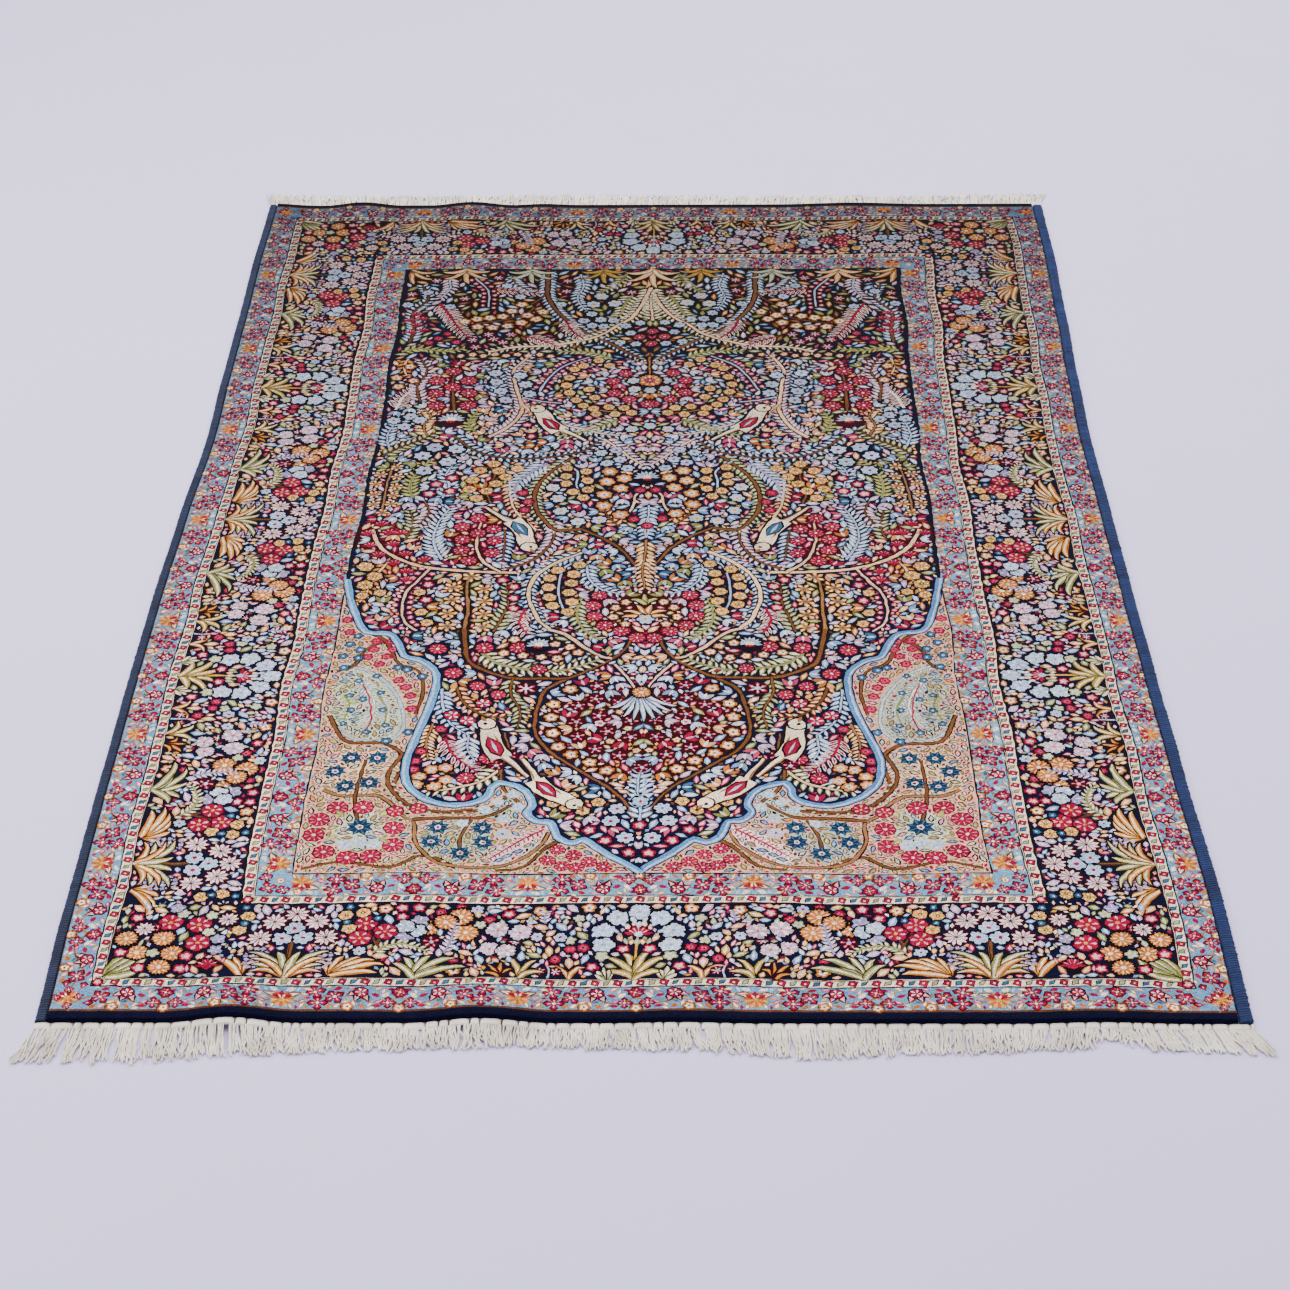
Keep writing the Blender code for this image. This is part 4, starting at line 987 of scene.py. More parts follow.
SPANDREL: tuple[Item, ...] = (
    Stem(((404, -384), (384, -387), (360, -400), (335, -428), (314, -470), (306, -520), (316, -550),
          (342, -561),
          (375, -552), (400, -520)), (Yarn.OLIVE, Yarn.POWDER), (6, 5),
         Foliage(Yarn.OLIVE, Yarn.ICE, 11, 5.5, 8, slant=60)),
    Stem(((372, -420), (352, -455), (346, -490), (360, -530)), (Yarn.OLIVE, Yarn.IVORY), (4, 3),
         Foliage(Yarn.TEAL, Yarn.ICE, 22, 7, 12, slant=48)),
    Stem(((404, -500), (380, -560), (330, -566), (300, -600), (308, -655), (285, -700), (240, -714),
          (190, -706),
          (165, -680)), DARK, (6.6, 4.4), Foliage(Yarn.BROWN, None, 11, 2.2, 15, slant=40)),
    Stem(((220, -826), (262, -800), (300, -824), (360, -812), (406, -826)), DARK, (6, 4.2),
         Foliage(Yarn.UMBER, Yarn.LIME, 15, 6, 17, slant=45)),
    Stem(((345, -322), (372, -345), (384, -384), (404, -396)), DARK, (6.6, 4.4),
         Foliage(Yarn.UMBER, Yarn.SAGE, 13, 5.5, 13, slant=45)),
    Stem(((90, -765), (112, -782), (140, -820), (176, -828)), DARK, (6, 4.2),
         Foliage(Yarn.UMBER, Yarn.LIME, 14, 5.5, 14, slant=45)),
    Stem(((362, -548), (350, -520), (350, -490), (356, -455), (366, -428)), (Yarn.CRIMSON,), (2.4, 1.6)),
    Stem(((388, -452), (378, -480), (386, -512)), (Yarn.OLIVE,), (2.6, 2),
         Foliage(Yarn.UMBER, Yarn.LIME, 12, 5.5, 9)),
    Stem(((346, -450), (330, -486), (332, -520)), (Yarn.OLIVE,), (2.6, 2),
         Foliage(Yarn.TEAL, Yarn.ICE, 12, 5.5, 9)),
    Stem(((395, -665), (370, -678), (330, -677), (310, -690), (290, -720), (275, -735), (272, -775),
          (250, -810),
          (220, -822), (180, -822), (150, -810), (120, -780), (108, -750)), (Yarn.UMBER, Yarn.TAN),
         (6.5, 5),
         Foliage(Yarn.BARK, Yarn.MINT, 15, 7.5, 21)),
    Stem(((278, -728), (240, -725), (190, -722), (155, -694)), (Yarn.UMBER, Yarn.BARK), (7, 5)),
    Stem(((217, -800), (217, -765), (205, -728)), DARK, (6, 4.2)),
    Stem(((342, -745), (352, -690), (352, -640), (350, -600)), DARK, (6, 4.2)),
    Stem(((115, -745), (145, -770), (182, -806)), (Yarn.CRIMSON,), (3, 2),
         Foliage(Yarn.CRIMSON, None, 11, 3, 7, slant=60)),
    Leaves(Yarn.CRIMSON, None, tuple((398 + 5 * (step % 2), -556 - 11 * step, 70 - 25 * (step % 3), 9)
                                     for step in range(12)), slim=0.3),
    Leaves(Yarn.CRIMSON, None, tuple((404 - 14 * step, -824 + 4 * (step % 2), 20 + 40 * (step % 3), 8)
                                     for step in range(8)), slim=0.3),
    Stem(((395, -232), (384, -290), (352, -318), (338, -345), (325, -380), (296, -400), (286, -450),
          (292, -500)),
         (Yarn.UMBER, Yarn.BARK), (7, 5)),
    Stem(((306, -590), (318, -630), (310, -665), (280, -700), (240, -712), (205, -706)), DARK, (6.2, 4.2),
         Foliage(Yarn.BARK, Yarn.MINT, 16, 8, 14)),
    Blooms(Bloom.ROSETTE, 14, ((372, -703), (340, -702), (393, -727), (397, -758), (299, -745), (299, -780),
                               (382, -792), (353, -804), (325, -802)), halo=None),
    Blooms(Bloom.TEAL_STAR, 18, ((342, -742),), halo=None),
    Leaves(Yarn.OLIVE, Yarn.LIME, ((318, -722, -30, 20), (362, -722, 40, 18), (366, -760, 110, 18),
                                   (318, -765, 230, 18))),
    Blooms(Bloom.ICE_BLOSSOM, 10, ((340, -772), (358, -778), (322, -778)), halo=None),
    Blooms(Bloom.TEAL_STAR, 15, ((369, -597), (336, -597), (385, -626), (368, -657), (339, -650),
                                 (245, -744),
                                 (253, -773), (190, -744), (189, -773), (217, -795)), halo=None),
    Blooms(Bloom.ROSETTE, 10.5, ((110, -807), (98, -786), (78, -798), (93, -819), (76, -823), (60, -812),
                                 (42, -822)),
           halo=None),
    Blooms(Bloom.SKY_RING, 10, ((165, -755),), halo=None),
    Blooms(Bloom.CABBAGE, 11, ((272, -705), (300, -710)), halo=None),
    Blooms(Bloom.ICE_BLOSSOM, 8, ((190, -707), (175, -690), (160, -675), (150, -700), (165, -725),
                                  (215, -735)),
           halo=None),
    Blooms(Bloom.ROSE_KNOT, 9, ((360, -325), (340, -326), (361, -345), (336, -346), (368, -363),
                                (343, -363),
                                (351, -381), (320, -421), (309, -437), (302, -457), (297, -487),
                                (398, -300),
                                (404, -270)), halo=None),
    Blooms(Bloom.TEAL_SMALL, 8.5, ((395, -330), (380, -345), (380, -365), (401, -360), (325, -390),
                                   (312, -396),
                                 (290, -412), (386, -310), (328, -560), (300, -540), (396, -388)),
           halo=None),
    Blooms(Bloom.TEAL_SMALL, 6.5, ((372, -420), (340, -450), (380, -455), (335, -490), (376, -490),
                                   (330, -525),
                                 (385, -520), (355, -540), (350, -410), (362, -465)), halo=None),
)

# ------------------------------------------------------------------ borders

# In each border chart x runs along the border and y from its outer to its inner side.
BORDER_LENGTH = 402.0
BORDER_DEPTH = 136.0

BORDER: tuple[Item, ...] = (
    # lotus
    Stem(((0, 0), (0, 40), (0, 76)), (Yarn.UMBER, Yarn.GOLD), (6, 4)),
    Tuft(0, 0, ((5, 56, 5), (24, 54, 8), (50, 36, 6)), (Yarn.OLIVE, Yarn.GOLD, Yarn.CREAM), 11),
    Blooms(Bloom.ICE_BLOSSOM, 14, ((0, 121), (25, 110), (40, 86), (38, 60))),
    Leaves(Yarn.SKY, Yarn.ICE, ((37, 118, 20, 13), (14, 94, 40, 12), (21, 83, 60, 11), (52, 98, 10, 13))),
    Leaves(Yarn.PEACH, Yarn.CREAM, ((13, 87, 0, 12), (7, 94, -10, 12))),
    Blooms(Bloom.LOTUS, 17, ((0, 80),), halo=None),
    Leaves(Yarn.POWDER, Yarn.ICE, ((0, 104, 180, 14), (9, 112, 200, 12), (-9, 112, 160, 12))),
    Leaves(Yarn.SAGE, Yarn.MINT, ((12, 61, 10, 13), (0, 60, 0, 14))),
    Blooms(Bloom.ROSE_SMALL, 8, ((15, 53),)),
    Blooms(Bloom.MINT_BLOSSOM, 9, ((39, 40),)),
    Tuft(36, -2, ((-50, 15, 0), (-25, 20, 0), (0, 24, 0), (25, 20, 0), (50, 15, 0)),
         (Yarn.SAGE, Yarn.CREAM), 7),
    # between lotus and leafy spray
    Tuft(76, 0, ((26, 32, 5), (-15, 26, -5)), (Yarn.AMBER, Yarn.GOLD, Yarn.CREAM), 8),
    Blooms(Bloom.ROSE_KNOT, 7, ((76, 52), (61, 55), (93, 34), (174, 107), (232, 119), (209, 129), (212, 34),
                                (385, 14))),
    Blooms(Bloom.ROSE_SMALL, 8, ((50, 21), (278, 126), (258, 127), (277, 110), (152, 118))),
    Blooms(Bloom.STAR_BLUSH, 7, ((110, 13), (92, 12), (142, 66))),
    Stem(((101, 0), (100, 12), (102, 24)), BLUE, (4, 3)),
    Leaves(Yarn.CRIMSON, Yarn.PINK, ((62, 6, 10, 13), (102, 20, 0, 13), (199, 53, 20, 13),
                                     (286, 20, 10, 13))),
    Tuft(133, 0, ((10, 42, 4), (-12, 38, -5), (-36, 26, -7)), (Yarn.OLIVE, Yarn.GOLD, Yarn.CREAM), 9),
    Tuft(158, 0, ((-28, 22, -3), (-6, 30, 0), (16, 28, 3), (36, 18, 4)),
         (Yarn.MAROON, Yarn.AMBER, Yarn.GOLD), 8),
    Blooms(Bloom.BLUSH_BLOSSOM, 14.5, ((163, 89), (136, 84))),
    Blooms(Bloom.BLUSH_BLOSSOM, 12.5, ((171, 54), (151, 50))),
    Blooms(Bloom.GOLD_BURST, 16, ((200, 83), (208, 112))),
    Blooms(Bloom.GOLD_BURST, 14.5, ((244, 91), (225, 102))),
    Blooms(Bloom.CRIMSON_STAR, 10, ((240, 65),)),
    Blooms(Bloom.MINT_BLOSSOM, 7.5, ((184, 98), (70, 109), (77, 68))),
    Blooms(Bloom.GOLD_SMALL, 9, ((116, 124), (210, 12), (60, 128), (298, 124))),
    Blooms(Bloom.SKY_FLOWER, 8, ((89, 74), (322, 46), (190, 126))),
    Blooms(Bloom.SKY_RING, 8, ((116, 75),), halo=Yarn.MAROON),
    Leaves(Yarn.SKY, Yarn.ICE, (
        (178, 122, -80, 18), (146, 124, -80, 16), (132, 106, -110, 16), (123, 106, 150, 12),
                                (59, 104, 0, 13),
        (100, 88, 20, 13), (52, 74, -20, 12), (163, 66, -30, 12), (208, 50, 30, 13), (188, 42, -20, 13),
        (146, 28, 10, 13), (334, 32, 20, 13), (338, 54, -10, 13), (353, 86, 10, 14), (374, 122, 60, 13),
        (281, 26, 20, 13), (256, 27, -20, 12), (230, 76, 0, 13), (86, 126, 80, 13), (110, 44, 20, 12))),
    Leaves(Yarn.SAGE, Yarn.MINT, (
        (67, 92, 10, 12), (125, 102, 10, 12), (158, 97, 10, 12), (85, 96, 0, 13), (129, 48, 20, 12),
                                  (208, 34, 10, 12),
        (158, 33, -10, 11), (176, 2, 10, 12), (292, 4, 0, 13), (222, 60, -30, 12), (312, 118, 70, 13))),
    Leaves(Yarn.ROSE, Yarn.BLUSH, (
        (122, 92, 40, 11), (80, 114, 30, 13), (82, 88, -30, 11), (176, 68, 20, 12), (96, 58, 10, 12),
                                   (107, 56, 20, 12),
        (260, 16, 10, 12), (284, 44, -40, 12), (94, 108, 20, 12), (68, 34, 10, 13), (236, 46, 20, 12))),
    Leaves(Yarn.GOLD, Yarn.CREAM, (
        (187, 110, 10, 14), (46, 116, -20, 13), (118, 48, 10, 12), (92, 45, -10, 12), (104, 34, 10, 11),
        (190, 58, 0, 12), (190, 28, 20, 12), (172, 28, -20, 11), (194, 0, 10, 12), (178, 18, 30, 11),
                                   (243, 34, 0, 12),
        (344, 44, 20, 12), (372, 8, 10, 13), (355, 50, 0, 12), (258, 52, 60, 12))),
    Stem(((108, 100), (110, 112), (108, 124)), (Yarn.LAVENDER,), (3, 2),
         Foliage(Yarn.LILAC, Yarn.BLUSH, 10, 4.5, 6)),
    # leafy spray
    Tuft(256, 0, ((8, 40, 3), (-12, 46, -4), (-34, 60, -8), (-47, 46, -8), (-60, 66, -6), (28, 36, 4)),
         (Yarn.OLIVE, Yarn.SAGE, Yarn.CREAM), 11),
    Stem(((223, 46), (217, 70), (213, 98)), (Yarn.LAVENDER,), (3, 2),
         Foliage(Yarn.LILAC, Yarn.BLUSH, 12, 5, 7)),
    Blooms(Bloom.LILAC_BLOSSOM, 12, ((271, 75), (256, 101))),
    Blooms(Bloom.ICE_BLOSSOM, 12, ((258, 85), (272, 92))),
    Stem(((306, 44), (292, 56), (275, 60), (258, 56), (246, 49)), SOFT, (3, 2),
         Foliage(Yarn.SAGE, Yarn.CREAM, 13, 5.5, 7)),
    Tuft(350, 3, ((14, 32, 5), (-8, 38, -3), (-28, 46, -6), (-43, 56, -7), (-60, 66, -6), (-76, 56, -4)),
         (Yarn.AMBER, Yarn.GOLD, Yarn.CREAM), 11),
    Stem(((300, 52), (310, 72), (319, 95)), (Yarn.BROWN,), (3, 3)),
    Stem(((304, 60), (298, 72), (295, 80)), (Yarn.BROWN,), (3, 3)),
    Blooms(Bloom.CABBAGE, 14, ((319, 97), (295, 82), (324, 70)), halo=None),
    Blooms(Bloom.CREAM_EYED, 9, ((344, 113), (324, 117), (338, 88))),
    Blooms(Bloom.TEAL_SMALL, 6, ((340, 129), (306, 106), (342, 100))),
    Spike(364, 8, 56, 34),
    # double spray
    Stem(((402, 0), (401, 50), (402, 92)), DARK, (5, 4)),
    Tuft(402, 0, ((-40, 46, -7), (-24, 66, -10), (-8, 52, -3)), (Yarn.OLIVE, Yarn.SAGE, Yarn.CREAM), 11),
    Tuft(400, 2, ((-52, 38, -8), (-30, 52, -8)), (Yarn.AMBER, Yarn.GOLD, Yarn.CREAM), 9),
    Blooms(Bloom.DAISY, 15, ((402, 117), (377, 103), (364, 73)), halo=None),
    Blooms(Bloom.SKY_FLOWER, 12, ((402, 91), (390, 73))),
)

# The corner squares of the main border, charted in one quarter from the middle of the rug.
BORDER_CORNER: tuple[Item, ...] = (
    Tuft(609, 1029, ((188, 44, 6), (208, 60, 8), (226, 78, 0), (244, 60, -8), (262, 44, -6)),
         (Yarn.OLIVE, Yarn.SAGE, Yarn.CREAM), 12),
    Blooms(Bloom.CABBAGE, 14.5, ((548, 928), (514, 932), (510, 966))),
    Blooms(Bloom.GOLD_BURST, 14, ((594, 958), (551, 958), (537, 985), (549, 1010), (578, 984))),
    Blooms(Bloom.ROSE_SMALL, 8.5, ((597, 984), (573, 1012), (588, 920), (524, 1012), (520, 990),
                                   (566, 938))),
    Leaves(Yarn.SAGE, Yarn.MINT, ((578, 972, 200, 13), (602, 914, 180, 13), (602, 940, 200, 13))),
    Blooms(Bloom.THISTLE, 13, ((493, 1008),), turn=180),
    Leaves(Yarn.AMBER, Yarn.PEACH, ((484, 1022, 210, 18), (503, 1022, 150, 18))),
    Leaves(Yarn.CRIMSON, Yarn.PINK, ((476, 1004, 190, 13), (516, 1018, 180, 13))),
    Leaves(Yarn.SKY, Yarn.ICE, ((577, 906, 160, 15), (570, 924, 200, 14), (558, 900, 220, 14),
                                (480, 940, 20, 14))),
    Blooms(Bloom.MINT_BLOSSOM, 8, ((536, 912), (502, 915), (501, 946), (560, 985))),
    Blooms(Bloom.LILAC_BLOSSOM, 9, ((545, 901), (488, 958), (488, 978))),
    Blooms(Bloom.DAISY, 12, ((482, 922), (576, 940))),
)

GUARD_LENGTH = 134.0
GUARD_DEPTH = 40.0

GUARD: tuple[Item, ...] = (
    Stem(((0, 22), (24, 13), (44, 20), (64, 30), (84, 22), (108, 12), (134, 22)), (Yarn.TAN,), (2.2, 2.2)),
    Leaves(Yarn.BROWN, Yarn.PEACH, ((-2, 24, -75, 21), (2, 24, 75, 21)), slim=0.5),
    Blooms(Bloom.PALMETTE, 15, ((0, 18),), halo=None),
    Blooms(Bloom.GUARD_ROSE, 11.5, ((41, 12), (38, 31), (60, 22)), halo=None),
    Leaves(Yarn.MAROON, Yarn.PINK, ((90, 34, 200, 22), (92, 32, 160, 20), (88, 32, 240, 17)), slim=0.56),
    Blooms(Bloom.CUP, 8, ((90, 30),), turn=200, halo=Yarn.MAROON),
    Blooms(Bloom.GUARD_ROSE, 9.5, ((121, 13), (134, 31)), halo=None),
    Blooms(Bloom.GOLD_SMALL, 7, ((134, 4), (75, 6)), halo=Yarn.BROWN),
    Leaves(Yarn.CRIMSON, Yarn.PINK, ((18, 12, 60, 12), (73, 36, 80, 12), (106, 12, 60, 11)), slim=0.5),
    Leaves(Yarn.AMBER, Yarn.CREAM, ((20, 3, 30, 13), (27, 22, -30, 11), (58, 3, 50, 13), (84, 6, -20, 12),
                                    (104, 34, 60, 12), (114, 27, 20, 11), (23, 37, 100, 12),
                                    (68, 12, 70, 11))),
    Leaves(Yarn.OLIVE, Yarn.CREAM, ((12, 2, -20, 11), (50, 37, 60, 11), (97, 5, 40, 11),
                                    (21, 28, 100, 10))),
)


# What fills the corners of the inner guard: its place, flower and radius.
CORNER_SPRAY = ((442, 862, Bloom.GUARD_ROSE, 11), (424, 866, Bloom.GUARD_ROSE, 9),
                (446, 842, Bloom.GUARD_ROSE, 9),
                (450, 824, Bloom.GOLD_SMALL, 6), (406, 870, Bloom.GOLD_SMALL, 6),
                (428, 848, Bloom.GOLD_SMALL, 6))


class Run:
    """A straight run that carries a chart of x along it and y across it onto the rug."""

    def __init__(self, origin: Point, ahead: Point, inward: Point) -> None:
        """Keeps where the run starts and where its two directions point."""
        self.origin = np.array(origin, dtype=float)
        self.axes = np.array([ahead, inward], dtype=float)

    def carry(self, outline: Outline) -> Outline:
        """Carries an outline onto the run."""
        return outline @ self.axes + self.origin


# ------------------------------------------------------------------ filling

@dataclass(frozen=True)
class Sprig:
    """A small leaf, pair of leaves or blossom that fills the ground between the larger motifs."""

    layers: tuple[tuple[str, float, float, Yarn], ...]
    weight: float

    def cartoon(self) -> Cartoon:
        """Draws the sprig standing up on its own middle."""
        drawing = Cartoon()
        for kind, length, width, yarn in self.layers:
            if kind == "leaf":
                drawing.paint(blade(length, width) - (0, length / 2), yarn)
            elif kind == "core":
                drawing.paint(sliver(length, width) - (0, length / 2), yarn)
            elif kind == "pair":
                for side in (-1, 1):
                    drawing.at(Place(side * width * 0.1, -length * 0.4, -side * 30))
                    drawing.paint(blade(length, width), yarn)
                drawing.at(Place())
            else:
                drawing.paint(lobed(length, int(width), 0.3), yarn)
        return drawing


def leaf_sprigs(length: float, width: float, weights: dict[tuple[Yarn, Yarn], float]) -> tuple[Sprig, ...]:
    """Makes leaves of one size in several pairs of yarns."""
    return tuple(Sprig((("leaf", length, width, edge), ("core", length * 0.7, width * 0.55, core)), weight)
                 for (edge, core), weight in weights.items())


def plain_sprigs(kind: str, length: float, width: float, weights: dict[Yarn, float]) -> tuple[Sprig, ...]:
    """Makes leaves or spots of one size in single yarns."""
    return tuple(Sprig(((kind, length, width, yarn),), weight) for yarn, weight in weights.items())


LEAF_YARNS = {(Yarn.SKY, Yarn.ICE): 18, (Yarn.LILAC, Yarn.BLUSH): 17, (Yarn.ROSE, Yarn.BLUSH): 9,
              (Yarn.APRICOT, Yarn.IVORY): 10, (Yarn.AMBER, Yarn.CREAM): 8, (Yarn.OLIVE, Yarn.MINT): 12,
              (Yarn.CRIMSON, Yarn.PINK): 9, (Yarn.TEAL, Yarn.POWDER): 5, (Yarn.POWDER, Yarn.IVORY): 12}
PLAIN_YARNS = {Yarn.POWDER: 14, Yarn.BLUSH: 12, Yarn.PEACH: 13, Yarn.GOLD: 12, Yarn.SKY: 10, Yarn.SAGE: 9,
               Yarn.CRIMSON: 14, Yarn.CREAM: 8, Yarn.BROWN: 8, Yarn.LILAC: 6, Yarn.APRICOT: 7}
PAIR_SPRIGS = tuple(Sprig((("pair", 19, 8.0, edge), ("leaf", 14, 5.0, core)), weight)
                    for (edge, core), weight in LEAF_YARNS.items())
BLOSSOMS = tuple(Sprig((("blossom", 6.6, 5, edge), ("blossom", 3, 4, core)), weight) for (edge, core),
                 weight in {
    (Yarn.BLUSH, Yarn.ROSE): 14, (Yarn.POWDER, Yarn.CRIMSON): 10, (Yarn.CREAM, Yarn.AMBER): 9,
    (Yarn.CRIMSON, Yarn.BLUSH): 12, (Yarn.APRICOT, Yarn.CREAM): 8, (Yarn.LAVENDER, Yarn.ICE): 6}.items())
TINY_LEAVES = plain_sprigs("core", 8, 4.6, PLAIN_YARNS)
DENSE_FILL = (PAIR_SPRIGS, leaf_sprigs(22, 9.4, LEAF_YARNS), leaf_sprigs(17, 8, LEAF_YARNS), BLOSSOMS,
              leaf_sprigs(12, 6.4, LEAF_YARNS), TINY_LEAVES)
BORDER_YARNS = {(Yarn.SKY, Yarn.ICE): 16, (Yarn.APRICOT, Yarn.CREAM): 18, (Yarn.GOLD, Yarn.IVORY): 12,
                (Yarn.LILAC, Yarn.BLUSH): 14, (Yarn.OLIVE, Yarn.MINT): 12, (Yarn.CRIMSON, Yarn.PINK): 12}
BORDER_BLOSSOMS = tuple(Sprig((("blossom", 8.4, 5, edge), ("blossom", 5.2, 5, middle),
                               ("blossom", 2, 4, core)), weight)
                        for (edge, middle, core), weight in {
    (Yarn.MAROON, Yarn.PINK, Yarn.CREAM): 12, (Yarn.CRIMSON, Yarn.BLUSH, Yarn.CRIMSON): 12,
    (Yarn.SKY, Yarn.ICE, Yarn.CRIMSON): 10, (Yarn.AMBER, Yarn.PEACH, Yarn.CRIMSON): 14,
    (Yarn.GOLD, Yarn.CREAM, Yarn.AMBER): 12}.items())
BORDER_FILL = (leaf_sprigs(20, 10.5, BORDER_YARNS), BORDER_BLOSSOMS, leaf_sprigs(14.5, 9, BORDER_YARNS),
               leaf_sprigs(10.5, 6.8, BORDER_YARNS), TINY_LEAVES)
GUARD_FILL = (plain_sprigs("leaf", 12, 6.4, {Yarn.AMBER: 10, Yarn.CRIMSON: 12, Yarn.CREAM: 8}),
              plain_sprigs("core", 9, 4.6, {Yarn.CRIMSON: 12, Yarn.APRICOT: 9, Yarn.CREAM: 6, Yarn.OLIVE: 6,
                                            Yarn.TEAL: 9, Yarn.POWDER: 10}))
SPANDREL_FILL = (leaf_sprigs(17, 8.6, {(Yarn.UMBER, Yarn.MINT): 14, (Yarn.BROWN, Yarn.LIME): 9,
                                       (Yarn.MAROON, Yarn.PINK): 12,
                                       (Yarn.PETROL, Yarn.SKY): 12, (Yarn.BROWN, Yarn.APRICOT): 8,
                                       (Yarn.BARK, Yarn.SAGE): 14}),
                 leaf_sprigs(12, 6.4, {(Yarn.UMBER, Yarn.MINT): 14, (Yarn.BROWN, Yarn.BLUSH): 12,
                                       (Yarn.MAROON, Yarn.PINK): 12,
                                       (Yarn.PETROL, Yarn.POWDER): 10, (Yarn.BROWN, Yarn.SAGE): 14}),
                 plain_sprigs("leaf", 9, 4.4, {Yarn.OLIVE: 12, Yarn.CRIMSON: 14, Yarn.PETROL: 9,
                                               Yarn.BROWN: 14,
                                               Yarn.TEAL: 9, Yarn.UMBER: 8}),
                 plain_sprigs("core", 6.5, 3.4, {Yarn.OLIVE: 9, Yarn.CRIMSON: 12, Yarn.BROWN: 14,
                                                 Yarn.UMBER: 8}))
UPPER_YARNS = {(Yarn.PETROL, Yarn.SKY): 12, (Yarn.LILAC, Yarn.BLUSH): 10, (Yarn.MAROON, Yarn.ROSE): 12,
               (Yarn.AMBER, Yarn.PEACH): 12, (Yarn.OLIVE, Yarn.SAGE): 16, (Yarn.SKY, Yarn.ICE): 12,
               (Yarn.BROWN, Yarn.TAN): 12, (Yarn.OLIVE, Yarn.MINT): 10}
UPPER_FILL = (leaf_sprigs(23, 9.4, UPPER_YARNS), leaf_sprigs(17, 7.8, UPPER_YARNS),
              leaf_sprigs(12, 6, UPPER_YARNS))


def inside(outline: Outline) -> np.ndarray:
    """Lists the whole-millimetre cells whose middles an outline holds."""
    low = np.floor(outline.min(axis=0)).astype(int)
    high = np.ceil(outline.max(axis=0)).astype(int) + 1
    x, y = np.meshgrid(np.arange(low[0], high[0]), np.arange(low[1], high[1]), indexing="ij")
    held = np.zeros(x.shape, dtype=bool)
    for (ax, ay), (bx, by) in zip(outline, np.roll(outline, -1, axis=0)):
        if ay != by:
            cross = (y + 0.5 > ay) != (y + 0.5 > by)
            held ^= cross & (x + 0.5 < ax + (y + 0.5 - ay) * (bx - ax) / (by - ay))
    return np.column_stack((x[held], y[held]))


class Ground:
    """A millimetre grid that knows which cells of a panel are still bare."""

    def __init__(self, low: Point, high: Point) -> None:
        """Starts with the whole panel bare."""
        self.low = np.array([math.floor(low[0]), math.floor(low[1])])
        self.size = np.array([math.ceil(high[0]), math.ceil(high[1])]) - self.low
        self.bare = np.ones(self.size, dtype=bool)

    def take(self, cells: np.ndarray) -> None:
        """Marks cells as covered, leaving out those beyond the panel."""
        spots = cells - self.low
        spots = spots[((spots >= 0) & (spots < self.size)).all(axis=1)]
        self.bare[spots[:, 0], spots[:, 1]] = False

    def take_all(self, cartoon: Cartoon) -> None:
        """Marks all that a cartoon covers, and a millimetre around it."""
        for outline in cartoon.outlines:
            self.take(inside(outline))
        covered = ~self.bare
        grown = covered.copy()
        for axis in (0, 1):
            for step in (-1, 1):
                grown |= np.roll(covered, step, axis)
        self.bare = ~grown

    def fill(self, cartoon: Cartoon, passes: Sequence[Sequence[Sprig]], seed: int, rim: int = 1,
             tries: int = 60000) -> None:
        """Sets sprigs into the bare ground, larger ones first.

        Args:
            cartoon: What they are painted into.
            passes: For each pass, the sprigs to choose from.
            seed: The seed of the random choices.
            rim: How much bare ground is kept around a sprig.
            tries: The most places that a pass tries.
        """
        dice = np.random.default_rng(seed)
        for sprigs in passes:
            drawings = [sprig.cartoon() for sprig in sprigs]
            weights = np.array([sprig.weight for sprig in sprigs], dtype=float)
            turns = [self.footprints(drawing, rim) for drawing in drawings]
            bare = np.argwhere(self.bare)
            order = dice.permutation(len(bare))[:tries]
            kinds = dice.choice(len(sprigs), len(order), p=weights / weights.sum())
            swings = dice.normal(0, 1.3, len(order))
            for spot, kind, swing in zip(bare[order], kinds, swings):
                flow = 2.4 * math.sin(spot[0] * 0.021 + 1.7 * math.sin(spot[1] * 0.013)) + spot[1] * 0.012
                turn = int((flow + swing) / math.tau * 16) % 16
                core, edge = turns[kind][turn]
                place = spot + core
                if (place < 0).any() or (place >= self.size).any() or not self.bare[place[:, 0],
                                                                                    place[:, 1]].all():
                    continue
                self.take(spot + edge + self.low)
                x, y = (spot + self.low + 0.5).tolist()
                cartoon.stamp(drawings[kind], Place(x, y, turn * 22.5).carry)

    @staticmethod
    def footprints(drawing: Cartoon, rim: int) -> list[tuple[np.ndarray, np.ndarray]]:
        """Lists a sprig's cells, and those with a rim around them, for 16 turns of it."""
        prints = []
        for turn in range(16):
            place = Place(0.5, 0.5, turn * 22.5)
            core = np.unique(np.vstack([inside(place.carry(outline)) for outline in drawing.outlines]),
                             axis=0)
            reach = range(-rim, rim + 1)
            steps = np.array([(a, b) for a in reach for b in reach])
            edge = np.unique((core[:, None, :] + steps[None]).reshape(-1, 2), axis=0)
            prints.append((core, edge))
        return prints


# ------------------------------------------------------------------ design

UPPER_FIELD = 500  # above this the field's leaves are darker and stand further apart


